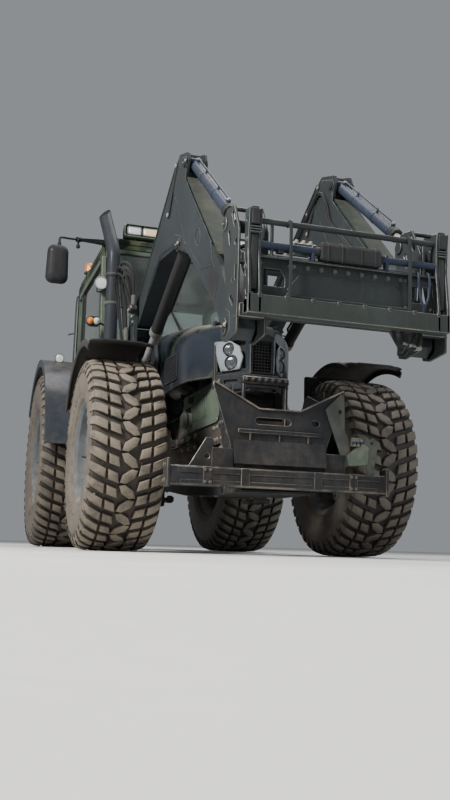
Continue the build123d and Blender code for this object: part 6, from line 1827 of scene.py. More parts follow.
# stood up: length runs up the backrest, thickness forward
B4 = Matrix(((0, 0, 1, (72 + SHIFT_X) / 1000.0 - 1.462), (0, -1, 0, 0), (1, 0, 0, 1.585 - (1000 + SHIFT_X) / 1000.0), (0, 0, 0, 1)))
turned(back, Matrix.Translation((0, 0, 0)) @ B4)
sh = []
sh += [loft([[(q[0], q[1], z) for q in rrect(140 + i, 628 - i, -256 + i, 256 - i, 60, 6)] for z, i in ((1432, 30), (1436, 12), (1450, 2), (1474, 0), (1480, 6))], 0)]
sh += [loft([[(x, q[0], q[1]) for q in rrect(-244 + i, 244 - i, 1560 + i, 2170 - i, 80, 6)] for x, i in ((46, 60), (50, 24), (60, 4), (82, 0), (90, 8))], 0)]
sh += [loft([[(x, q[0], q[1]) for q in rrect(-110 + i, 110 - i, 2150 + i, 2290 - i, 40, 6)] for x, i in ((70, 30), (74, 8), (90, 0), (140, 0), (156, 10), (162, 40))], 1)]
for k in range(7):
    w_ = 12 if k % 2 else 0
    sh.append(cbox(232 + w_, 558 - w_, -180 + w_, 180 - w_, 1262 + 24 * k, 1286 + 24 * k, 7, 2))
for s_ in (-1, 1):
    sh += [loft([[(q[0], s_ * q[1], z) for q in rrect(196 + i, 530 - i, 272 + i, 342 - i, 28, 5)] for z, i in ((1694, 12), (1700, 2), (1730, 0), (1748, 4), (1754, 16))], 1),
           sweep(curve([(240, s_ * 262, 1500), (232, s_ * 296, 1560), (240, s_ * 306, 1700)], 5), 13, 10, 0)]
sh += [cbox(470, 520, 284, 330, 1752, 1758, 2, 2), sweep(curve([(495, 306, 1756), (498, 306, 1800), (512, 306, 1850)], 5), 7, 8, 2), lathe([(0, 0), (0, 14), (18, 21), (42, 19), (54, 8), (54, 0)], (510, 306, 1842), (0.15, 0, 1), 16, 2)]
sh += [sweep(curve([(130, 250, 2100), (200, 236, 2000), (250, 120, 1820), (262, 0, 1700), (250, -150, 1610), (240, -262, 1560)], 6), 1, prof=[(-22, -1.5), (22, -1.5), (22, 1.5), (-22, 1.5)], m=2)]
make("seat_shell", "chassis", [M["black"], M["seat_side"], M["mat"]], sh, replaces=["seat"], sharp=42)
co_ = [loft([[(q[0], q[1], z) for q in rrect(1180 + i, 1460 - i, -170 + i, 170 - i, 34, 5)] for z, i in ((1256, 0), (1300, 6), (1640, 10), (1700, 0), (1722, 0))], 0),
       plate([(1180, 1720), (1460, 1720), (1460, 1850), (1300, 1890), (1180, 1830)], -190, 190, "xz", (), 8, 0, None, 18),
       plate([(1184, 1836), (1296, 1892), (1290, 1904), (1178, 1848)], -150, 150, "xz", (), 4, 1)]
co_ += [lathe([(0, 0), (0, 40), (6, 40), (6, 36), (7, 0)], (1232 + 4, y, 1868), (-0.45, 0, 0.9), 28, 1) for y in (-90, 0, 90)]
co_ += [cyl((1200, 0, 1780), (1010, 0, 1960), 32, 24, 4, 0), lathe([(0, 0), (0, 44), (16, 50), (60, 50), (70, 40), (70, 0)], (1140, 0, 1836), (-0.725, 0, 0.688), 24, 0)]
co_ += [sweep(curve([(1090, 40, 1890), (1088, 130, 1902), (1080, 180, 1912)], 5), 6, 8, 0), sweep(curve([(1090, -40, 1890), (1088, -130, 1896), (1080, -185, 1900)], 5), 6, 8, 0)]
co_ += [cbox(1010, 1120, y - 34, y + 34, 1300, 1312, 3, 2) for y in (-250, -130, 150)] + [cyl((1120, y, 1312), (1190, y, 1460), 8, 10, 2, 0) for y in (-250, -130, 150)]
co_ += [cbox(220, 620, -560, -372, 1256, 1700, 16, 0), cbox(240, 600, -540, -392, 1698, 1712, 4, 2)]
co_ += [cyl((300 + 70 * k, -470, 1706), (308 + 70 * k, -470, 1800 + 12 * (k % 2)), 6, 10, 2, 3) for k in range(5)]
co_ += [lathe([(0, 0), (0, 10), (12, 16), (30, 15), (40, 6), (40, 0)], (308 + 70 * k, -470, 1796 + 12 * (k % 2)), (0.05, 0, 1), 14, 0 if k % 2 else 4) for k in range(5)]
co_ += [plate(rrect(-600, -370, 1820, 1980, 16), 690, 712, "yz", (), 4, 0), plate(rrect(-585, -385, 1835, 1965, 8), 686, 691, "yz", (), 1.5, 1), sweep(curve([(700, -480, 1830), (690, -470, 1780), (640, -470, 1712)], 5), 10, 10, 0)]
co_ += [cbox(-560, 1440, -560, 560, 1281, 1287, 2, 2)]
make("cab_console", "chassis", [M["black"], M["screen"], M["mat"], M["zinc"], M["amber"]], co_, replaces=["steering_console"], sharp=42)
wd = Vector((-190, 0, 180)).normalized()
wc = Vector((1000, 0, 1969))
_, wa, wb_ = basis(wd)
sw_ = [torus(wc, wd, 200, 15, 64, 12, 0), lathe([(-14, 0), (-14, 40), (-4, 52), (12, 50), (20, 34), (22, 0)], wc, wd, 32, 0)]
for a_ in (90, 210, 330):
    u = wa * cos(radians(a_)) + wb_ * sin(radians(a_))
    v_ = wd.cross(u)
    sw_.append(sweep([wc + u * 40 - wd * 4, wc + u * 110 - wd * 10, wc + u * 196], 1, prof=[(-15, -4), (15, -4), (13, 4), (-13, 4)], m=0))
sw_ += [lathe([(0, 0), (0, 12), (20, 16), (44, 16), (52, 8), (52, 0)], wc + wa * 190 + wd * 10, wd, 16, 0)]
make("steering_wheel_rim", "chassis", [M["black"]], sw_, replaces=["steering_wheel"], sharp=50)


# =============================================================== driveline, axles, tanks, steps, rear hitch
def yl(prof, x, z, y0, sgn=1, n=40, m=0):
    """Turned about a line across the machine; prof is (distance from y0 outward, radius)."""
    return lathe(prof, (x, y0 * sgn, z), (0, sgn, 0), n, m)


UM = [M["cast"], M["black"], M["zinc"], M["hose"], M["steel"], M["pale"], M["chrome"], M["guard_light"], M["dark"]]

# ---- front axle: trunnion, bell housing, tapered beams, forks, steering cylinder
ax = [cyl((2812, 0, 705), (3178, 0, 705), 49.9, 36, 4, 0)]
ax.append(lathe([(-95, 0), (-95, 52), (-90, 70), (-70, 86), (-62, 120), (-56, 128), (-44, 128), (-40, 118), (40, 118), (46, 132), (58, 132), (64, 112), (82, 92), (100, 60), (104, 0)], (2995, 0, 705), (1, 0, 0), 48, 0))
for s_ in (1, -1):
    secs = []
    for y, hx, hz, zc, r_ in ((20, 82, 84, 705, 40), (120, 80, 82, 705, 44), (200, 70, 70, 705, 46), (260, 62, 58, 705, 44), (420, 58, 52, 705, 38), (500, 62, 60, 705, 34), (548, 78, 84, 705, 26), (584, 80, 86, 705, 22)):
        secs.append([(p[0], s_ * y, p[1]) for p in rrect(2995 - hx, 2995 + hx, zc - hz, zc + hz, r_, 6)])
    ax.append(loft(secs, 0))
    ax.append(yl([(0, 0), (0, 96), (4, 100), (18, 100), (22, 96), (22, 0)], 2995, 705, 188, s_, 44))
    ax += flat([bolt((2995 + 88 * cos(w), s_ * 211, 705 + 88 * sin(w)), (0, s_, 0), 8, 9, 2) for w in [2 * pi * q / 12 for q in range(12)]])
    ax.append(plate(rounded([(2915, 512), (2915, 900), (2945, 910), (3045, 910), (3075, 900), (3075, 512), (3045, 500), (2945, 500)], 14), s_ * 542, s_ * 580, "xz", (), 5, 0))
    ax += [loft([[(q[0], q[1] * s_, z) for q in rrect(2937, 3053, 562, 698, 50, 6)] for z in (864, 868, 900, 904)], 0), loft([[(q[0], q[1] * s_, z) for q in rrect(2937, 3053, 562, 698, 50, 6)] for z in (506, 510, 543, 547)], 0)]
    ax += [cyl((2995, s_ * 640, 800), (2995, s_ * 640, 868), 25, 24, 2, 0), cyl((2995, s_ * 640, 542), (2995, s_ * 640, 610), 25, 24, 2, 0)]
    ax += [lathe([(0, 0), (0, 44), (5, 46), (14, 46), (18, 42), (18, 20), (22, 0)], (2995, s_ * 640, 903), (0, 0, 1), 32, 0), lathe([(0, 0), (0, 44), (5, 46), (14, 46), (18, 42), (18, 0)], (2995, s_ * 640, 507), (0, 0, -1), 32, 0)]
    for q in range(4):
        w = pi / 4 + pi / 2 * q
        ax += bolt((2995 + 34 * cos(w), s_ * 640 + 34 * sin(w), 920), (0, 0, 1), 6, 7, 2)
        ax += bolt((2995 + 34 * cos(w), s_ * 640 + 34 * sin(w), 490), (0, 0, -1), 6, 7, 2)
    for zz in (565, 845):
        for q in (-1, 1):
            ax += bolt((2995 + q * 62, s_ * 541, zz), (0, -s_, 0), 8, 8, 2)
    ax += [plate([(2835, 630), (2835, 690), (2915, 700), (2915, 620)], s_ * 204, s_ * 236, "xz", (), 4, 0)]
ax += [ycyl(2840, 660, -200, 200, 38, 32, 4, 0), ycyl(2840, 660, -216, -196, 42, 32, 3, 0), ycyl(2840, 660, 196, 216, 42, 32, 3, 0), ycyl(2840, 660, -300, 300, 18, 20, 2, 6)]
ax += [torus((2840, s_ * 262, 660), (0, 1, 0), 20, 8, 24, 8, 1) for s_ in (1, -1)]
ax += [lathe([(0, 0), (0, 11), (22, 11), (22, 0)], (2840, s_ * 170, 696), (0, 0, 1), 12, 2) for s_ in (1, -1)]
ax += [sweep(curve([(2840, s_ * 170, 716), (2836, s_ * 172, 770), (2790, s_ * 176, 830), (2700, s_ * 186, 860)], 6), 8, 10, 3) for s_ in (1, -1)]
ax += [lathe([(-2, 0), (-2, 14), (6, 14), (6, 0)], (2995, 40, 588), (0, 0, -1), 6, 2), lathe([(0, 0), (0, 9), (14, 9), (14, 0)], (3040, 0, 830), (0.3, 0, 1), 10, 2)]
for q in range(10):
    w = 2 * pi * q / 10
    ax += bolt((3053, 112 * cos(w), 705 + 112 * sin(w)), (1, 0, 0), 7.5, 8, 2)
make("front_axle_housing", "chassis", UM, ax, replaces=["front_axle"], sharp=38)

# ---- steering knuckles with hub drum, arm and fender post
for s_, tag in ((1, "left"), (-1, "right")):
    k_ = [lathe([(0, 0), (0, 44), (4, 48), (50, 48), (60, 56), (240, 56), (250, 48), (294, 48), (298, 44), (298, 0)], (2995, s_ * 640, 556), (0, 0, 1), 36, 0)]
    k_ += [loft([[(p[0], s_ * y, p[1]) for p in rrect(2995 - hx, 2995 + hx, 705 - hz, 705 + hz, r_, 6)] for y, hx, hz, r_ in ((642, 54, 104, 20), (668, 66, 106, 40), (694, 92, 104, 80), (704, 112, 112, 100))], 0)]
    k_.append(yl([(0, 0), (0, 112), (6, 118), (46, 118), (50, 110), (76, 110), (80, 104), (100, 100), (108, 90), (108, 60), (285, 60), (295, 56), (295, 0)], 2995, 705, 690, s_, 56))
    k_ += flat([bolt((2995 + 104 * cos(w), s_ * 741, 705 + 104 * sin(w)), (0, s_, 0), 7, 8, 2) for w in [2 * pi * (q + 0.5) / 14 for q in range(14)]])
    k_ += [loft([[(x, s_ * p[0], p[1]) for p in rrect(650, 688, 680 - e, 730 + e, 10, 4)] for x, e in ((2800, 0), (2860, 2), (2920, 8), (2948, 16))], 0), cyl((2822, s_ * 669, 672), (2822, s_ * 669, 738), 22, 20, 3, 2)]
    # post and cross tube that carry the fender
    k_ += [cbox(2800, 2840, s_ * 642, s_ * 688, 684, 1458, 6, 1), cbox(2802, 2838, s_ * 642, s_ * 1180, 1426, 1460, 6, 1), plate([(2806, 1300), (2834, 1300), (2834, 1428), (2806, 1428)], s_ * 690, s_ * 740, "xz", (), 3, 1)]
    k_ += [plate([(s_ * 690, 1330), (s_ * 690, 1428), (s_ * 800, 1428)], 2814, 2826, "yz", (), 2, 1), cbox(2796, 2844, s_ * 752, s_ * 800, 1456, 1466, 3, 1), cbox(2796, 2844, s_ * 1040, s_ * 1090, 1456, 1466, 3, 1)]
    k_ += flat([bolt((x, s_ * y, 1425), (0, 0, -1), 7.5, 8, 2) for x in (2812, 2828) for y in (776, 1065)]) + flat([bolt((x, s_ * 689, z), (0, s_, 0), 8, 8, 2) for x in (2812, 2830) for z in (720, 780)])
    make("knuckle_hub_" + tag, "knuckle_" + tag, UM, k_, replaces=["knuckle_" + tag], sharp=38)

# ---- engine and what hangs on it between rails and hood
en = [cbox(1660, 2780, -190, 190, 1180, 1440, 18, 0), cbox(1700, 2760, -150, 150, 1420, 1478, 14, 1), cbox(1680, 2760, -170, 170, 724, 900, 24, 0), cbox(1652, 2786, -193, 193, 1150, 1186, 5, 0), cbox(1652, 2786, -186, 186, 890, 1160, 12, 0)]
en += [cbox(1760 + 170 * k, 1880 + 170 * k, -196, 196, 930, 1130, 14, 0) for k in range(6)]
en += flat([bolt((1690 + 96 * k, s_ * 191, 1168), (0, s_, 0), 8, 8, 2) for k in range(12) for s_ in (1, -1)])
en += flat([bolt((1700 + 96 * k, s_ * 170, 880), (0, s_, 0), 7, 7, 2) for k in range(12) for s_ in (1, -1)])
for s_ in (1, -1):
    en += [lathe([(0, 0), (0, 44), (8, 52), (150, 52), (156, 58), (172, 58), (176, 50), (186, 30), (186, 0)], (2480 if s_ > 0 else 2300, s_ * 262, 1000), (0, 0, 1), 32, 5 if s_ > 0 else 8),
           lathe([(0, 0), (0, 44), (8, 52), (150, 52), (156, 58), (172, 58), (176, 50), (186, 30), (186, 0)], (2620 if s_ > 0 else 2440, s_ * 262, 1000), (0, 0, 1), 32, 8)] if s_ > 0 else [
           ycyl(2560, 1060, -330, -200, 66, 36, 8, 4), ycyl(2560, 1060, -300, -292, 74, 36, 2, 0)]
    en += [sweep(curve([(1720, s_ * 230, 1250 + 30 * q), (1900, s_ * 262, 1230 + 26 * q), (2150, s_ * 258, 1190 + 34 * q), (2360, s_ * 240, 1230 + 20 * q), (2600, s_ * 250, 1210 + 12 * q), (2780, s_ * 214, 1240 + 20 * q)], 6), 11 + 2 * (q % 2), 10, 3) for q in range(4)]
    en += [cbox(1780 + 260 * q, 1800 + 260 * q, s_ * 196, s_ * 282, 1200, 1360, 3, 8) for q in range(3)]
en += [lathe([(0, 0), (0, 88), (20, 94), (250, 94), (270, 80), (280, 40), (280, 0)], (2060, -250, 1400), (1, 0, 0), 40, 4), sweep(curve([(2330, -250, 1400), (2420, -255, 1400), (2480, -200, 1360), (2490, -120, 1330)], 6), 42, 20, 1)]
en += [sweep(curve([(1660, -500, 1462), (1760, -430, 1450), (1880, -330, 1420), (2000, -262, 1404)], 6), 46, 20, 4)]
en += [lathe([(0, 0), (0, 110), (10, 116), (230, 116), (244, 90), (244, 0)], (1760, 250, 1440), (1, 0, 0), 40, 1), sweep(curve([(2004, 250, 1440), (2100, 250, 1450), (2180, 200, 1440), (2220, 120, 1410)], 6), 44, 20, 1)]
# radiator pack, fan and pulleys ahead of the block
en += [cbox(3060, 3190, -236, 236, 962, 1560, 8, 1), cbox(2960, 3050, -226, 226, 975, 1520, 8, 1)] + [cbox(3188, 3193, -220, 220, 985 + 22 * q, 993 + 22 * q, 1, 0) for q in range(25)]
en += [lathe([(0, 0), (0, 90), (10, 96), (20, 84), (30, 96), (44, 90), (50, 30), (50, 0)], (2790, 0, 1000), (1, 0, 0), 40, 4), lathe([(0, 0), (0, 55), (10, 60), (34, 60), (40, 20), (40, 0)], (2792, 130, 1180), (1, 0, 0), 32, 4),
       lathe([(0, 0), (0, 45), (10, 50), (34, 50), (40, 20), (40, 0)], (2792, -130, 1200), (1, 0, 0), 32, 4), lathe([(0, 0), (0, 60), (14, 70), (70, 70), (90, 60), (90, 0)], (2792, 0, 1290), (1, 0, 0), 36, 1)]
for q in range(9):
    w = 2 * pi * q / 9
    en.append(plate(rounded([(60 * cos(w) - 22 * sin(w), 1290 + 60 * sin(w) + 22 * cos(w)), (222 * cos(w) - 40 * sin(w), 1290 + 222 * sin(w) + 40 * cos(w)), (222 * cos(w) + 30 * sin(w), 1290 + 222 * sin(w) - 30 * cos(w)), (60 * cos(w) + 18 * sin(w), 1290 + 60 * sin(w) - 18 * cos(w))], 8), 2866, 2872, "yz", (), 1.5, 1))
make("engine_and_fittings", "chassis", UM, en, replaces=["engine_block"], sharp=38)

# ---- side panels with pressed louvres, frame bolts, hoses and cables that hang below the hood side
fr_ = []
for s_ in (1, -1):
    fr_ += [plate(rounded([(2300, 964), (3300, 964), (3350, 1010), (3350, 1286), (2300, 1286)], 24), s_ * 247, s_ * 256, "xz", [rrect(2380, 2560, 1040, 1180, 20)], 2, 5)]
    fr_ += [cbox(2620 + 46 * q, 2644 + 46 * q, s_ * 255, s_ * 262, 1040, 1200, 2.5, 5) for q in range(9)] + [cbox(2388, 2552, s_ * 249, s_ * 253, 1050 + 20 * q, 1058 + 20 * q, 1, 1) for q in range(6)]
    fr_ += flat([dome((x, s_ * 256, z), (0, s_, 0), 9, 5, 2) for x in (2320, 2800, 3320) for z in (984, 1266)])
make("engine_side_covers", "chassis", UM, fr_, replaces=["engine_side_panels"], sharp=38)
fb = []
for s_ in (1, -1):
    fb += flat([bolt((x, s_ * 246, z), (0, s_, 0), 12, 12, 2) for x in (1700, 1770, 1960, 2300, 2500, 2700, 3220, 3300, 3420) for z in (835, 925)])
    fb += flat([bolt((x, s_ * 246, z), (0, s_, 0), 13, 13, 2) for x in (3410, 3480, 3530) for z in (690, 760)])
    fb += [sweep(curve([(1700, s_ * 262, 900), (2000, s_ * 266, 880), (2400, s_ * 260, 868), (2700, s_ * 262, 872), (2780, s_ * 250, 850), (2830, s_ * 214, 780), (2838, s_ * 178, 720)], 7), 8, 10, 3)]
    fb += [sweep(curve([(1720, s_ * 270, 924), (2050, s_ * 276, 902), (2450, s_ * 268, 890), (2690, s_ * 276, 900), (2790, s_ * 330, 860), (2870, s_ * 430, 800), (2935, s_ * 500, 768)], 7), 6, 8, 3)]
    fb += [cbox(x, x + 16, s_ * 244, s_ * 284, 866, 934, 2, 2) for x in (1900, 2240, 2560)]
    fb += [sweep(curve([(1790, s_ * 690, 1330), (1820, s_ * 640, 1500), (1850, s_ * 560, 1620), (1860, s_ * 500, 1700)], 6), 9, 10, 3)]
# drive shaft to the front axle with its joints, and two plates beside its rear end
fb += [lathe([(0, 0), (0, 58), (14, 60), (30, 46), (60, 40), (80, 34), (920, 34), (940, 42), (970, 46), (985, 58), (1000, 56), (1000, 0)], (1660, 0, 700), (1, 0, 0.005), 32, 0)]
fb += [cbox(1655, 1800, -262, -246, 780, 980, 4, 0), cbox(1655, 1800, 246, 262, 780, 980, 4, 0)]
make("frame_bolts_and_lines", "chassis", UM, fb, sharp=38)

# ---- transmission: ribs, covers, brake and axle trumpet bolts (over the CAD housing)
tr = []
for s_ in (1, -1):
    tr += [cbox(-330 + 220 * k, -314 + 220 * k, s_ * 229, s_ * 242, 660, 1130, 4, 0) for k in range(9)]
    tr += [cbox(-340, 1640, s_ * 229, s_ * 240, 880, 900, 4, 0)]
    tr += [yl([(0, 0), (0, 168), (6, 174), (28, 174), (34, 160), (60, 152), (60, 0)], 0, 905, 228, s_, 56)]
    tr += flat([bolt((162 * cos(w), s_ * 262, 905 + 162 * sin(w)), (0, s_, 0), 9, 10, 2) for w in [2 * pi * (q + 0.5) / 16 for q in range(16)]])
    tr += [yl([(0, 0), (0, 150), (4, 158), (22, 158), (26, 150), (26, 0)], 0, 905, 574, s_, 56)]
    tr += flat([bolt((140 * cos(w), s_ * 600, 905 + 140 * sin(w)), (0, s_, 0), 9, 10, 2) for w in [2 * pi * (q + 0.5) / 14 for q in range(14)]])
    tr += [plate(rounded([(540, 700), (900, 700), (940, 780), (900, 1060), (560, 1060), (520, 980)], 40), s_ * 229, s_ * 246, "xz", (), 5, 0)]
    tr += flat([bolt((x, s_ * 246, z), (0, s_, 0), 9, 9, 2) for x, z in ((560, 720), (720, 716), (880, 720), (912, 860), (880, 1040), (720, 1044), (580, 1040), (546, 900))])
    tr += [sweep(curve([(-300, s_ * 252, 1100), (0, s_ * 300, 1120), (400, s_ * 262, 1090), (900, s_ * 256, 1060), (1500, s_ * 262, 1010), (1680, s_ * 262, 940)], 7), 9, 10, 3),
           sweep(curve([(-280, s_ * 256, 1126), (100, s_ * 286, 1100), (500, s_ * 258, 1064), (1000, s_ * 262, 1030), (1560, s_ * 256, 980)], 7), 7, 8, 3)]
tr += [cbox(-200, 1600, -200, 200, 632, 646, 5, 0)] + flat([bolt((x, y, 632), (0, 0, -1), 10, 10, 2) for x in range(-160, 1600, 160) for y in (-180, 180)])
make("transmission_details", "chassis", UM, tr, sharp=38)

# ---- fuel tank, battery and tool box
tk = [loft(rings("xz", [(262, 40), (266, 16), (276, 4), (290, 0), (600, 0), (622, 6), (636, 20), (640, 44)], 1075, 1780, 560, 1150, 70, 8), 1)]
tk += [loft(rings("xz", [(636, 30), (646, 34), (648, 50)], 1120 + 330 * k, 1400 + 330 * k, 640, 1070, 40, 6), 1) for k in range(2)]
tk += [lathe([(0, 0), (0, 54), (6, 58), (26, 58), (30, 50), (30, 0)], (1690, 560, 1146), (0, 0, 1), 32, 8), cbox(1640, 1740, 510, 610, 1130, 1150, 8, 1)]
for x in (1180, 1640):
    tk += [sweep([(x, 258, 700), (x, 258, 580), (x, 262, 556), (x, 300, 553), (x, 600, 553), (x, 640, 558), (x, 645, 590), (x, 645, 1120), (x, 640, 1150), (x, 600, 1155), (x, 300, 1155), (x, 262, 1150), (x, 257, 1120), (x, 257, 1000)], 1, prof=[(-2, -18), (2, -18), (2, 18), (-2, 18)], m=8)]
    tk += bolt((x, 646, 900), (0, 1, 0), 10, 10, 2)
bx = [loft(rings("xz", [(-262, 26), (-268, 8), (-280, 0), (-580, 0), (-592, 4), (-600, 16)], 1075, 1700, 600, 1120, 34, 6), 1)]
bx += [loft(rings("xz", [(-598, 30), (-606, 34), (-609, 46)], 1075, 1700, 600, 960, 34, 6), 1), cbox(1080, 1695, -604, -300, 972, 982, 2, 8), cbox(1080, 1695, -596, -300, 1100, 1124, 8, 1)]
bx += [cbox(x, x + 44, -616, -600, 944, 1016, 4, 2) for x in (1180, 1560)] + [cbox(x - 6, x + 50, -612, -600, 1010, 1022, 3, 2) for x in (1180, 1560)]
bx += [sweep(curve([(1300, -604, 830), (1300, -630, 840), (1460, -630, 840), (1460, -604, 830)], 5), 7, 10, 8)]
bx += both([cbox(1140, 1200, 232, 268, 904, 996, 4, 0), cbox(1500, 1560, 232, 268, 904, 996, 4, 0)])
make("tank_and_box", "chassis", UM, tk, bx, replaces=["side_tanks"], sharp=38)

# ---- cab steps: side plates, toothed treads, hangers
st_ = []
for x0, x1 in ((1120, 1130), (1442, 1452)):
    st_.append(plate(rounded([(p[0], p[1]) for p in ((700, 1228), (700, 760), (690, 500), (690, 474), (858, 474), (858, 560), (830, 760), (806, 1228))], 10), x0, x1, "yz", [[(750 + 16 * cos(2 * pi * q / 14), z + 16 * sin(2 * pi * q / 14)) for q in range(14)] for z in (620, 860, 1100)], 2, 8))
for k in range(3):
    y0, z0 = 690 + 20 * k, 482 + 250 * k
    st_ += [cbox(1126, 1446, y0, y0 + 8, z0 - 8, z0 + 20, 2, 8), cbox(1126, 1446, 850 - 14 * k, 860 - 14 * k, z0 - 10, z0 + 20, 2, 8)]
    for q in range(5):
        yy = y0 + 22 + (140 - 30 * k) / 5.0 * q
        st_ += [cbox(1126, 1446, yy, yy + 7, z0, z0 + 16, 1.5, 8)]
        st_ += [cbox(1150 + 32 * w, 1162 + 32 * w, yy - 1, yy + 8, z0 + 14, z0 + 24, 2, 8) for w in range(9)]
st_ += [cbox(1180, 1220, 640, 705, 742, 778, 4, 8), cbox(1380, 1420, 640, 705, 742, 778, 4, 8), cbox(1122, 1450, 702, 798, 1212, 1230, 3, 8)]
st_ += flat([bolt((x, 708, 760), (0, 1, 0), 8, 7, 2) for x in (1190, 1210, 1390, 1410)])
make("entry_steps", "chassis", UM, both(st_), replaces=["cab_steps"], sharp=38)

# ---- rear hitch details, drawbar jaw, couplers, tail lamps, bare plate
rh = []
rh += [plate(rounded([(-900, 430), (-880, 392), (-1060, 392), (-1098, 402), (-1100, 446), (-1060, 456), (-880, 456)], 10), s_ * 40, s_ * 50, "xz", (), 3, 0) for s_ in (1, -1)]
rh += [lathe([(0, 0), (0, 30), (6, 34), (18, 34), (22, 26), (22, 0)], (-1040, 0, 446), (0, 0, 1), 28, 4), cyl((-1040, 0, 396), (-1040, 0, 520), 14, 20, 3, 4), torus((-1040, 0, 532), (0, 1, 0), 22, 5, 24, 8, 4)]
rh += [yl([(0, 0), (0, 26), (10, 30), (10, 0)], LPX, LPZ, 326, s_, 24, 4) for LPX, LPZ in ((-280, 560),) for s_ in (1, -1)]
rh += [lathe([(0, 0), (0, 92), (10, 100), (24, 100), (30, 60), (36, 36), (40, 0)], (-462, 0, 700), (-1, 0, 0), 40, 0), plate(rounded([(-130, 790), (-130, 660), (-104, 640), (-92, 660), (-92, 760), (92, 760), (92, 660), (104, 640), (130, 660), (130, 790)], 8), -640, -470, "yz", (), 3, 8)]
for q in range(6):
    w = 2 * pi * q / 6
    rh.append(cbox(-598, -500, 15.0 * cos(w) - 3, 15.0 * cos(w) + 3, 700 + 15.0 * sin(w) - 3, 700 + 15.0 * sin(w) + 3, 1, 4))
rh += [cbox(-430, -352, 60 + 0, 158, 1020, 1120, 6, 1)] + [lathe([(0, 0), (0, 17), (8, 20), (30, 20), (34, 24), (44, 24), (46, 12), (46, 0)], (-428, y, z), (-1, 0, 0.25), 20, 2) for y in (84, 132) for z in (1044, 1092)]
rh += [cbox(-430, -352, -158, -60, 1020, 1120, 6, 1)] + [lathe([(0, 0), (0, 17), (8, 20), (30, 20), (34, 24), (44, 24), (46, 12), (46, 0)], (-428, y, z), (-1, 0, 0.25), 20, 2) for y in (-84, -132) for z in (1044, 1092)]
rh += flat([bolt((-470, y, z), (-1, 0, 0), 12, 12, 2) for y in (-130, 130) for z in (460, 560, 800, 900, 980)])
rh += both([plate(rounded([(700, 1330), (880, 1330), (880, 1450), (700, 1450)], 14), -990, -972, "yz", (), 4, 1)])
make("hitch_details", "chassis", UM, rh, sharp=38)
tl = []
for y0, y1, mt in ((640, 720, 0), (728, 800, 1), (808, 862, 2)):
    tl += [loft(rings("yz", [(-700, 6), (-706, 0), (-722, 0), (-728, 5), (-730, 16)], y0, y1, 1705, 1785, 12, 4), mt)]
tl += [loft(rings("yz", [(-668, 8), (-672, 0), (-700, 0), (-706, 6)], 628, 874, 1694, 1796, 16, 4), 3), cbox(-690, -640, 700, 740, 1690, 1712, 4, 3), cbox(-690, -560, 700, 730, 1640, 1700, 4, 3)]
make("tail_lamps", "chassis", [M["red"], M["amber"], M["lens"], M["black"]], both(tl), sharp=40)
pl = [plate(rounded([(-260, 1800), (260, 1800), (260, 1912), (-260, 1912)], 12), -634, -624, "yz", (), 2, 0), cbox(-636, -620, -280, 280, 1918, 1940, 4, 1), cbox(-644, -560, -40, 40, 1912, 1926, 3, 1)] + flat([dome((-634, y, 1856), (-1, 0, 0), 6, 3, 2) for y in (-200, 200)])
make("rear_plate_bare", "chassis", [M["guard_light"], M["black"], M["zinc"]], pl, sharp=40)


# ---- lower links, lift arms, rods and top link
def eye(x, z, y0, y1, r, hole, s_, m=0):
    return ringsolid([(0, hole), (0, r - 4), (4, r), (abs(y1 - y0) - 4, r), (abs(y1 - y0), r - 4), (abs(y1 - y0), hole)], (x, s_ * y0, z), (0, s_, 0), 32, m)


lk, la, lr = [], [], []
for s_ in (1, -1):
    path = [Vector((-300, s_ * 296, 561)), Vector((-420, s_ * 312, 564)), Vector((-600, s_ * 356, 569)), Vector((-780, s_ * 390, 575)), Vector((-1000, s_ * 407, 583)), Vector((-1200, s_ * 418, 589))]
    lk += [sweep(path, 1, prof=[(-13, -31), (13, -31), (15, -26), (15, 26), (13, 31), (-13, 31), (-15, 26), (-15, -26)], m=0), eye(-280, 560, 268, 322, 42, 18.05, s_), eye(-1230, 590, 395, 445, 44, 14.2, s_),
           torus((-1230, s_ * 420, 590), (0, 1, 0), 24, 10, 28, 8, 4), cyl((-780, s_ * 384, 575), (-780, s_ * 408, 575), 30, 24, 3, 4)]
    lk += [cyl((-780, s_ * 390, 560), (-780, s_ * 390, 600), 14, 16, 2, 4)]
    la += [eye(-330, 1080, 240, 330, 45, 25.05, s_), sweep([Vector((-335, s_ * 298, 1080)), Vector((-480, s_ * 306, 1068)), Vector((-620, s_ * 314, 1054)), Vector((-755, s_ * 321, 1041))], 1,
           prof=[(-15, -42), (15, -42), (15, 42), (-15, 42)], m=0, rr=[1.0, 0.9, 0.78, 0.66]), cyl((-760, s_ * 302, 1040), (-760, s_ * 348, 1040), 36, 28, 4, 0), cyl((-760, s_ * 340, 1040), (-760, s_ * 391, 1040), 14.9, 20, 2, 4)]
    lr += [eye(-760, 1040, 360, 388, 30, 15.05, s_), cyl((-760.5, s_ * 375, 1022), (-770, s_ * 380, 850), 17, 20, 3, 4), cyl((-768, s_ * 379, 880), (-777, s_ * 384, 720), 24, 24, 4, 0), cyl((-777, s_ * 384, 740), (-780, s_ * 385, 664), 15, 18, 2, 4),
           sweep(curve([(-772, s_ * 404, 800), (-790, s_ * 430, 804), (-812, s_ * 432, 800)], 4), 6, 8, 4)]
make("lower_link_bars", "lower_links", UM, lk, replaces=["lower_links"], sharp=38)
make("lift_arm_castings", "lift_arms", UM, la, replaces=["lift_arms"], sharp=38)
make("lift_rod_turnbuckles", "lift_rods", UM, lr, replaces=["lift_rods"], sharp=38)
P0, P1 = Vector((-430, 0, 960)), Vector((-1130, 0, 1010))
dt = (P1 - P0).normalized()
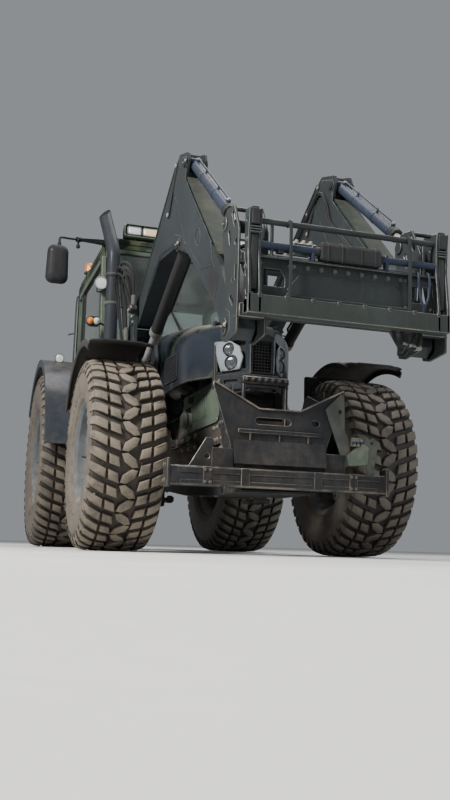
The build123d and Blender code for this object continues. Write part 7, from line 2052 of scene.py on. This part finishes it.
tp = [ringsolid([(0, 12.05), (0, 22), (4, 26), (40, 26), (44, 22), (44, 12.05)], (-430, -22, 960), (0, 1, 0), 28, 0), ringsolid([(0, 12.8), (0, 32), (4, 36), (46, 36), (50, 32), (50, 12.8)], (-1130, -25, 1010), (0, 1, 0), 28, 0),
      cyl(P0 + dt * 22, P0 + dt * 190, 15, 20, 2, 4), cyl(P0 + dt * 160, P0 + dt * 520, 24, 28, 4, 0), cyl(P0 + dt * 500, P0 + dt * 672, 15, 20, 2, 4),
      lathe([(0, 0), (0, 27), (18, 27), (18, 0)], P0 + dt * 150, dt, 6, 4), lathe([(0, 0), (0, 27), (18, 27), (18, 0)], P0 + dt * 514, dt, 6, 4), sweep(curve([P0 + dt * 300 + Vector((0, 0, 22)), P0 + dt * 310 + Vector((0, 0, 60)), P0 + dt * 420 + Vector((0, 0, 66)), P0 + dt * 430 + Vector((0, 0, 24))], 5), 6, 8, 0)]
make("top_link_turnbuckle", "top_link", UM, tp, replaces=["top_link"], sharp=38)

# ---- bolts and ribs on masts and guard skin
md = []
for s_ in (1, -1):
    md += flat([bolt((x, s_ * 681, z), (0, s_, 0), 13, 13, 2) for x, z in ((1880, 1230), (1990, 1230), (1880, 1320), (2060, 1330), (1880, 1410), (1925, 1000), (1925, 1120), (1840, 940), (2000, 940))])
    md += [yl([(0, 0), (0, 58), (4, 62), (12, 62), (14, 56), (14, 0)], 2080, 2000, 680, s_, 36, 0), yl([(0, 0), (0, 34), (8, 34), (10, 28), (10, 0)], 2080, 2000, 693, s_, 28, 4)]
    md += flat(bolt((2122, s_ * 686, 1960), (0, s_, 0), 9, 9, 2))
    md += [weld([(1888, s_ * 683, 1200), (1890, s_ * 683, 1500), (1895, s_ * 683, 1690), (1960, s_ * 683, 1862)], 4, 8)]
    md += flat([bolt((x, s_ * y, 799), (0, 0, -1), 13, 12, 2) for x in (1840, 2000) for y in (320, 460, 600)])
    md += [sweep(curve([(1862, s_ * 560, 1420), (1850, s_ * 566, 1560), (1872, s_ * 570, 1720), (1930, s_ * 574, 1880)], 6), 12, 12, 3), sweep(curve([(1866, s_ * 590, 1420), (1858, s_ * 592, 1560), (1880, s_ * 594, 1720), (1940, s_ * 596, 1880)], 6), 9, 10, 3)]
make("mast_fittings", "chassis", UM, md, sharp=38)
bg = flat([bolt((x, y, 553 - 0.1046 * (x - 1642) - 8 if x < 2500 else (464 - 0.0412 * (x - 2500) - 8)), (0, 0, -1), 13, 9, 2) for x in (1750, 2100, 2450, 2800, 3200) for y in (-210, 210)])
bg += [plate(rounded([(-180, -8), (180, -8), (180, 8), (-180, 8)], 3), 1700 + 240 * q, 1716 + 240 * q, "yz", (), 2, 8).at(0, 0, 541 - 26 * q) for q in range(4)]
make("belly_bolts", "chassis", UM, bg, sharp=38)


# =============================================================== CAD nodes that stay: rounded edges and their finish
def dress(name, mat, mat_edge=None, width=2.5, seg=2, angle=28):
    """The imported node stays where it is; modifiers merge its flat triangles and soften its edges."""
    ob = nodes[name]
    ob.data.materials.clear()
    ob.data.materials.append(M[mat])
    if mat_edge:
        ob.data.materials.append(M[mat_edge])
    if width > 0:
        d = ob.modifiers.new("planar", "DECIMATE")
        d.decimate_type = "DISSOLVE"
        d.angle_limit = radians(1.5)
        bv = ob.modifiers.new("bevel", "BEVEL")
        bv.width = width / 1000.0
        bv.segments = seg
        bv.limit_method = "ANGLE"
        bv.angle_limit = radians(angle)
        bv.use_clamp_overlap = False
        bv.harden_normals = False
        if mat_edge:
            bv.material = 1
        w = ob.modifiers.new("wn", "WEIGHTED_NORMAL")
        w.keep_sharp = True
    ob.data.polygons.foreach_set("use_smooth", [True] * len(ob.data.polygons))
    ob.data.set_sharp_from_angle(angle=radians(32))
    return ob


# name, finish, edge finish, edge width in mm (0 leaves the node's edges as they are)
FINISH = [
    ("engine_block", "cast", None, 8), ("rear_axle_housing", "cast", None, 6), ("front_frame", "cast", None, 4), ("engine_side_panels", "pale", "green_edge", 3),
    ("front_axle", "cast", None, 5), ("belly_guard", "guard", "guard_edge", 2), ("side_tanks", "black", None, 0), ("cab_steps", "dark", "dark_edge", 2),
    ("cab_frame", "pale", None, 3), ("cab_roof", "camo_roof", None, 0), ("windshield", "glass", None, 0), ("rear_windows", "glass", None, 0),
    ("rear_fenders", "pale", None, 3), ("fender_extensions", "blackblue", None, 3), ("mirrors", "gloss", None, 0), ("exhaust_stack", "exhaust", None, 0),
    ("seat", "seat", None, 0), ("steering_console", "black", None, 5), ("steering_wheel", "black", None, 0), ("work_lamps", "silver", None, 0),
    ("loader_masts", "loader", "loader_edge", 3), ("valve_block", "cast", None, 2), ("loader_hoses", "hose", None, 0), ("front_guard", "guard", "guard_edge", 2),
    ("front_beam", "guard", "guard_edge", 3), ("rear_hitch", "cast", None, 3), ("hood", "camo", None, 4), ("grille", "black", None, 1.2), ("headlights", "silver", None, 2),
    ("door_left", "pale", "green_edge", 3), ("door_right", "pale", "green_edge", 3), ("door_glass_left", "glass", None, 0), ("door_glass_right", "glass", None, 0),
    ("knuckle_left", "cast", None, 4), ("knuckle_right", "cast", None, 4), ("front_fender_left", "black", None, 3), ("front_fender_right", "black", None, 3),
    ("loader_boom", "loader", "loader_edge", 3), ("boom_cylinder_barrels", "satin", None, 0), ("boom_cylinder_rods", "chrome", None, 0),
    ("tilt_cylinder_barrels", "blue", None, 0), ("tilt_cylinder_rods", "chrome", None, 0), ("tool_carrier", "carrier", "carrier_edge", 3),
    ("fork_frame", "carrier", "carrier_edge", 3), ("lower_links", "cast", None, 2), ("lift_arms", "cast", None, 2), ("lift_rods", "cast", None, 2), ("top_link", "cast", None, 2),
]
for name_, mat_, edge_, width_ in FINISH:
    if not nodes[name_].hide_render:
        dress(name_, mat_, edge_, width_)

# =============================================================== floor, light and camera
fl_mat = Net("studio_floor")
fl_mat.set(color=fl_mat.mix(fl_mat.ramp(fl_mat.noise(0.8, 4), 0.3, 0.7), (0.60, 0.60, 0.585), (0.66, 0.66, 0.65)), rough=fl_mat.ramp(fl_mat.noise(30, 4), 0.3, 0.7, 0.55, 0.75))
fl_mat.bump(fl_mat.noise(220, 3), 0.1, 0.001)
fm = bpy.data.meshes.new("studio_floor")
fm.from_pydata([(-60, -60, 0), (60, -60, 0), (60, 60, 0), (-60, 60, 0)], [], [(0, 1, 2, 3)])
fm.materials.append(fl_mat.m)
floor = bpy.data.objects.new("studio_floor", fm)
bpy.context.scene.collection.objects.link(floor)


def area(name, loc, target, size, power, color=(1, 1, 1)):
    li = bpy.data.lights.new(name, "AREA")
    li.shape = "RECTANGLE"
    li.size, li.size_y = size
    li.energy = power
    li.color = color
    ob = bpy.data.objects.new(name, li)
    bpy.context.scene.collection.objects.link(ob)
    ob.location = loc
    ob.rotation_euler = (Vector(target) - Vector(loc)).to_track_quat("-Z", "Y").to_euler()
    return ob


area("key_light", (5.5, -7.5, 7.5), (0.8, 0, 1.2), (2.6, 2.6), 2300, (1.0, 0.965, 0.92))
area("fill_light", (8.0, 6.5, 4.0), (0.8, 0, 1.2), (6, 5), 300, (0.88, 0.94, 1.0))
area("top_light", (-1.5, 1.5, 9.0), (0, 0, 1.0), (6, 5), 760)
area("front_low", (10.5, -1.5, 1.4), (2.0, 0, 1.2), (4.5, 2.2), 110, (1.0, 0.98, 0.95))
world = bpy.data.worlds.new("studio")
bpy.context.scene.world = world
world.use_nodes = True
wn_ = world.node_tree.nodes["Background"]
wn_.inputs[0].default_value = (0.80, 0.84, 0.88, 1)
wn_.inputs[1].default_value = 0.34

# camera at the photograph's viewing angle, at floor level (place in mm from the rear axle, angles in degrees, focal length in pixels of an 800-pixel-high image)
CAM = dict(x=9630.0, y=-2153.0, z=60.0, az=162.8, el=9.2, roll=1.6, F=900.0)
az_, el_, ro_ = radians(CAM["az"]), radians(CAM["el"]), radians(CAM["roll"])
fwd = Vector((cos(az_) * cos(el_), sin(az_) * cos(el_), sin(el_)))
right = fwd.cross(Vector((0, 0, 1))).normalized()
up_ = right.cross(fwd)
R_ = right * cos(ro_) + up_ * sin(ro_)
U_ = -right * sin(ro_) + up_ * cos(ro_)
cam_data = bpy.data.cameras.new("camera")
cam = bpy.data.objects.new("camera", cam_data)
bpy.context.scene.collection.objects.link(cam)
cam.matrix_world = Matrix(((R_.x, U_.x, -fwd.x, 0), (R_.y, U_.y, -fwd.y, 0), (R_.z, U_.z, -fwd.z, 0), (0, 0, 0, 1)))
cam.location = pt(CAM["x"], CAM["y"], CAM["z"])
cam_data.sensor_width = 36.0
cam_data.lens = CAM["F"] / 800.0 * 36.0
cam_data.clip_end = 300
bpy.context.scene.camera = cam
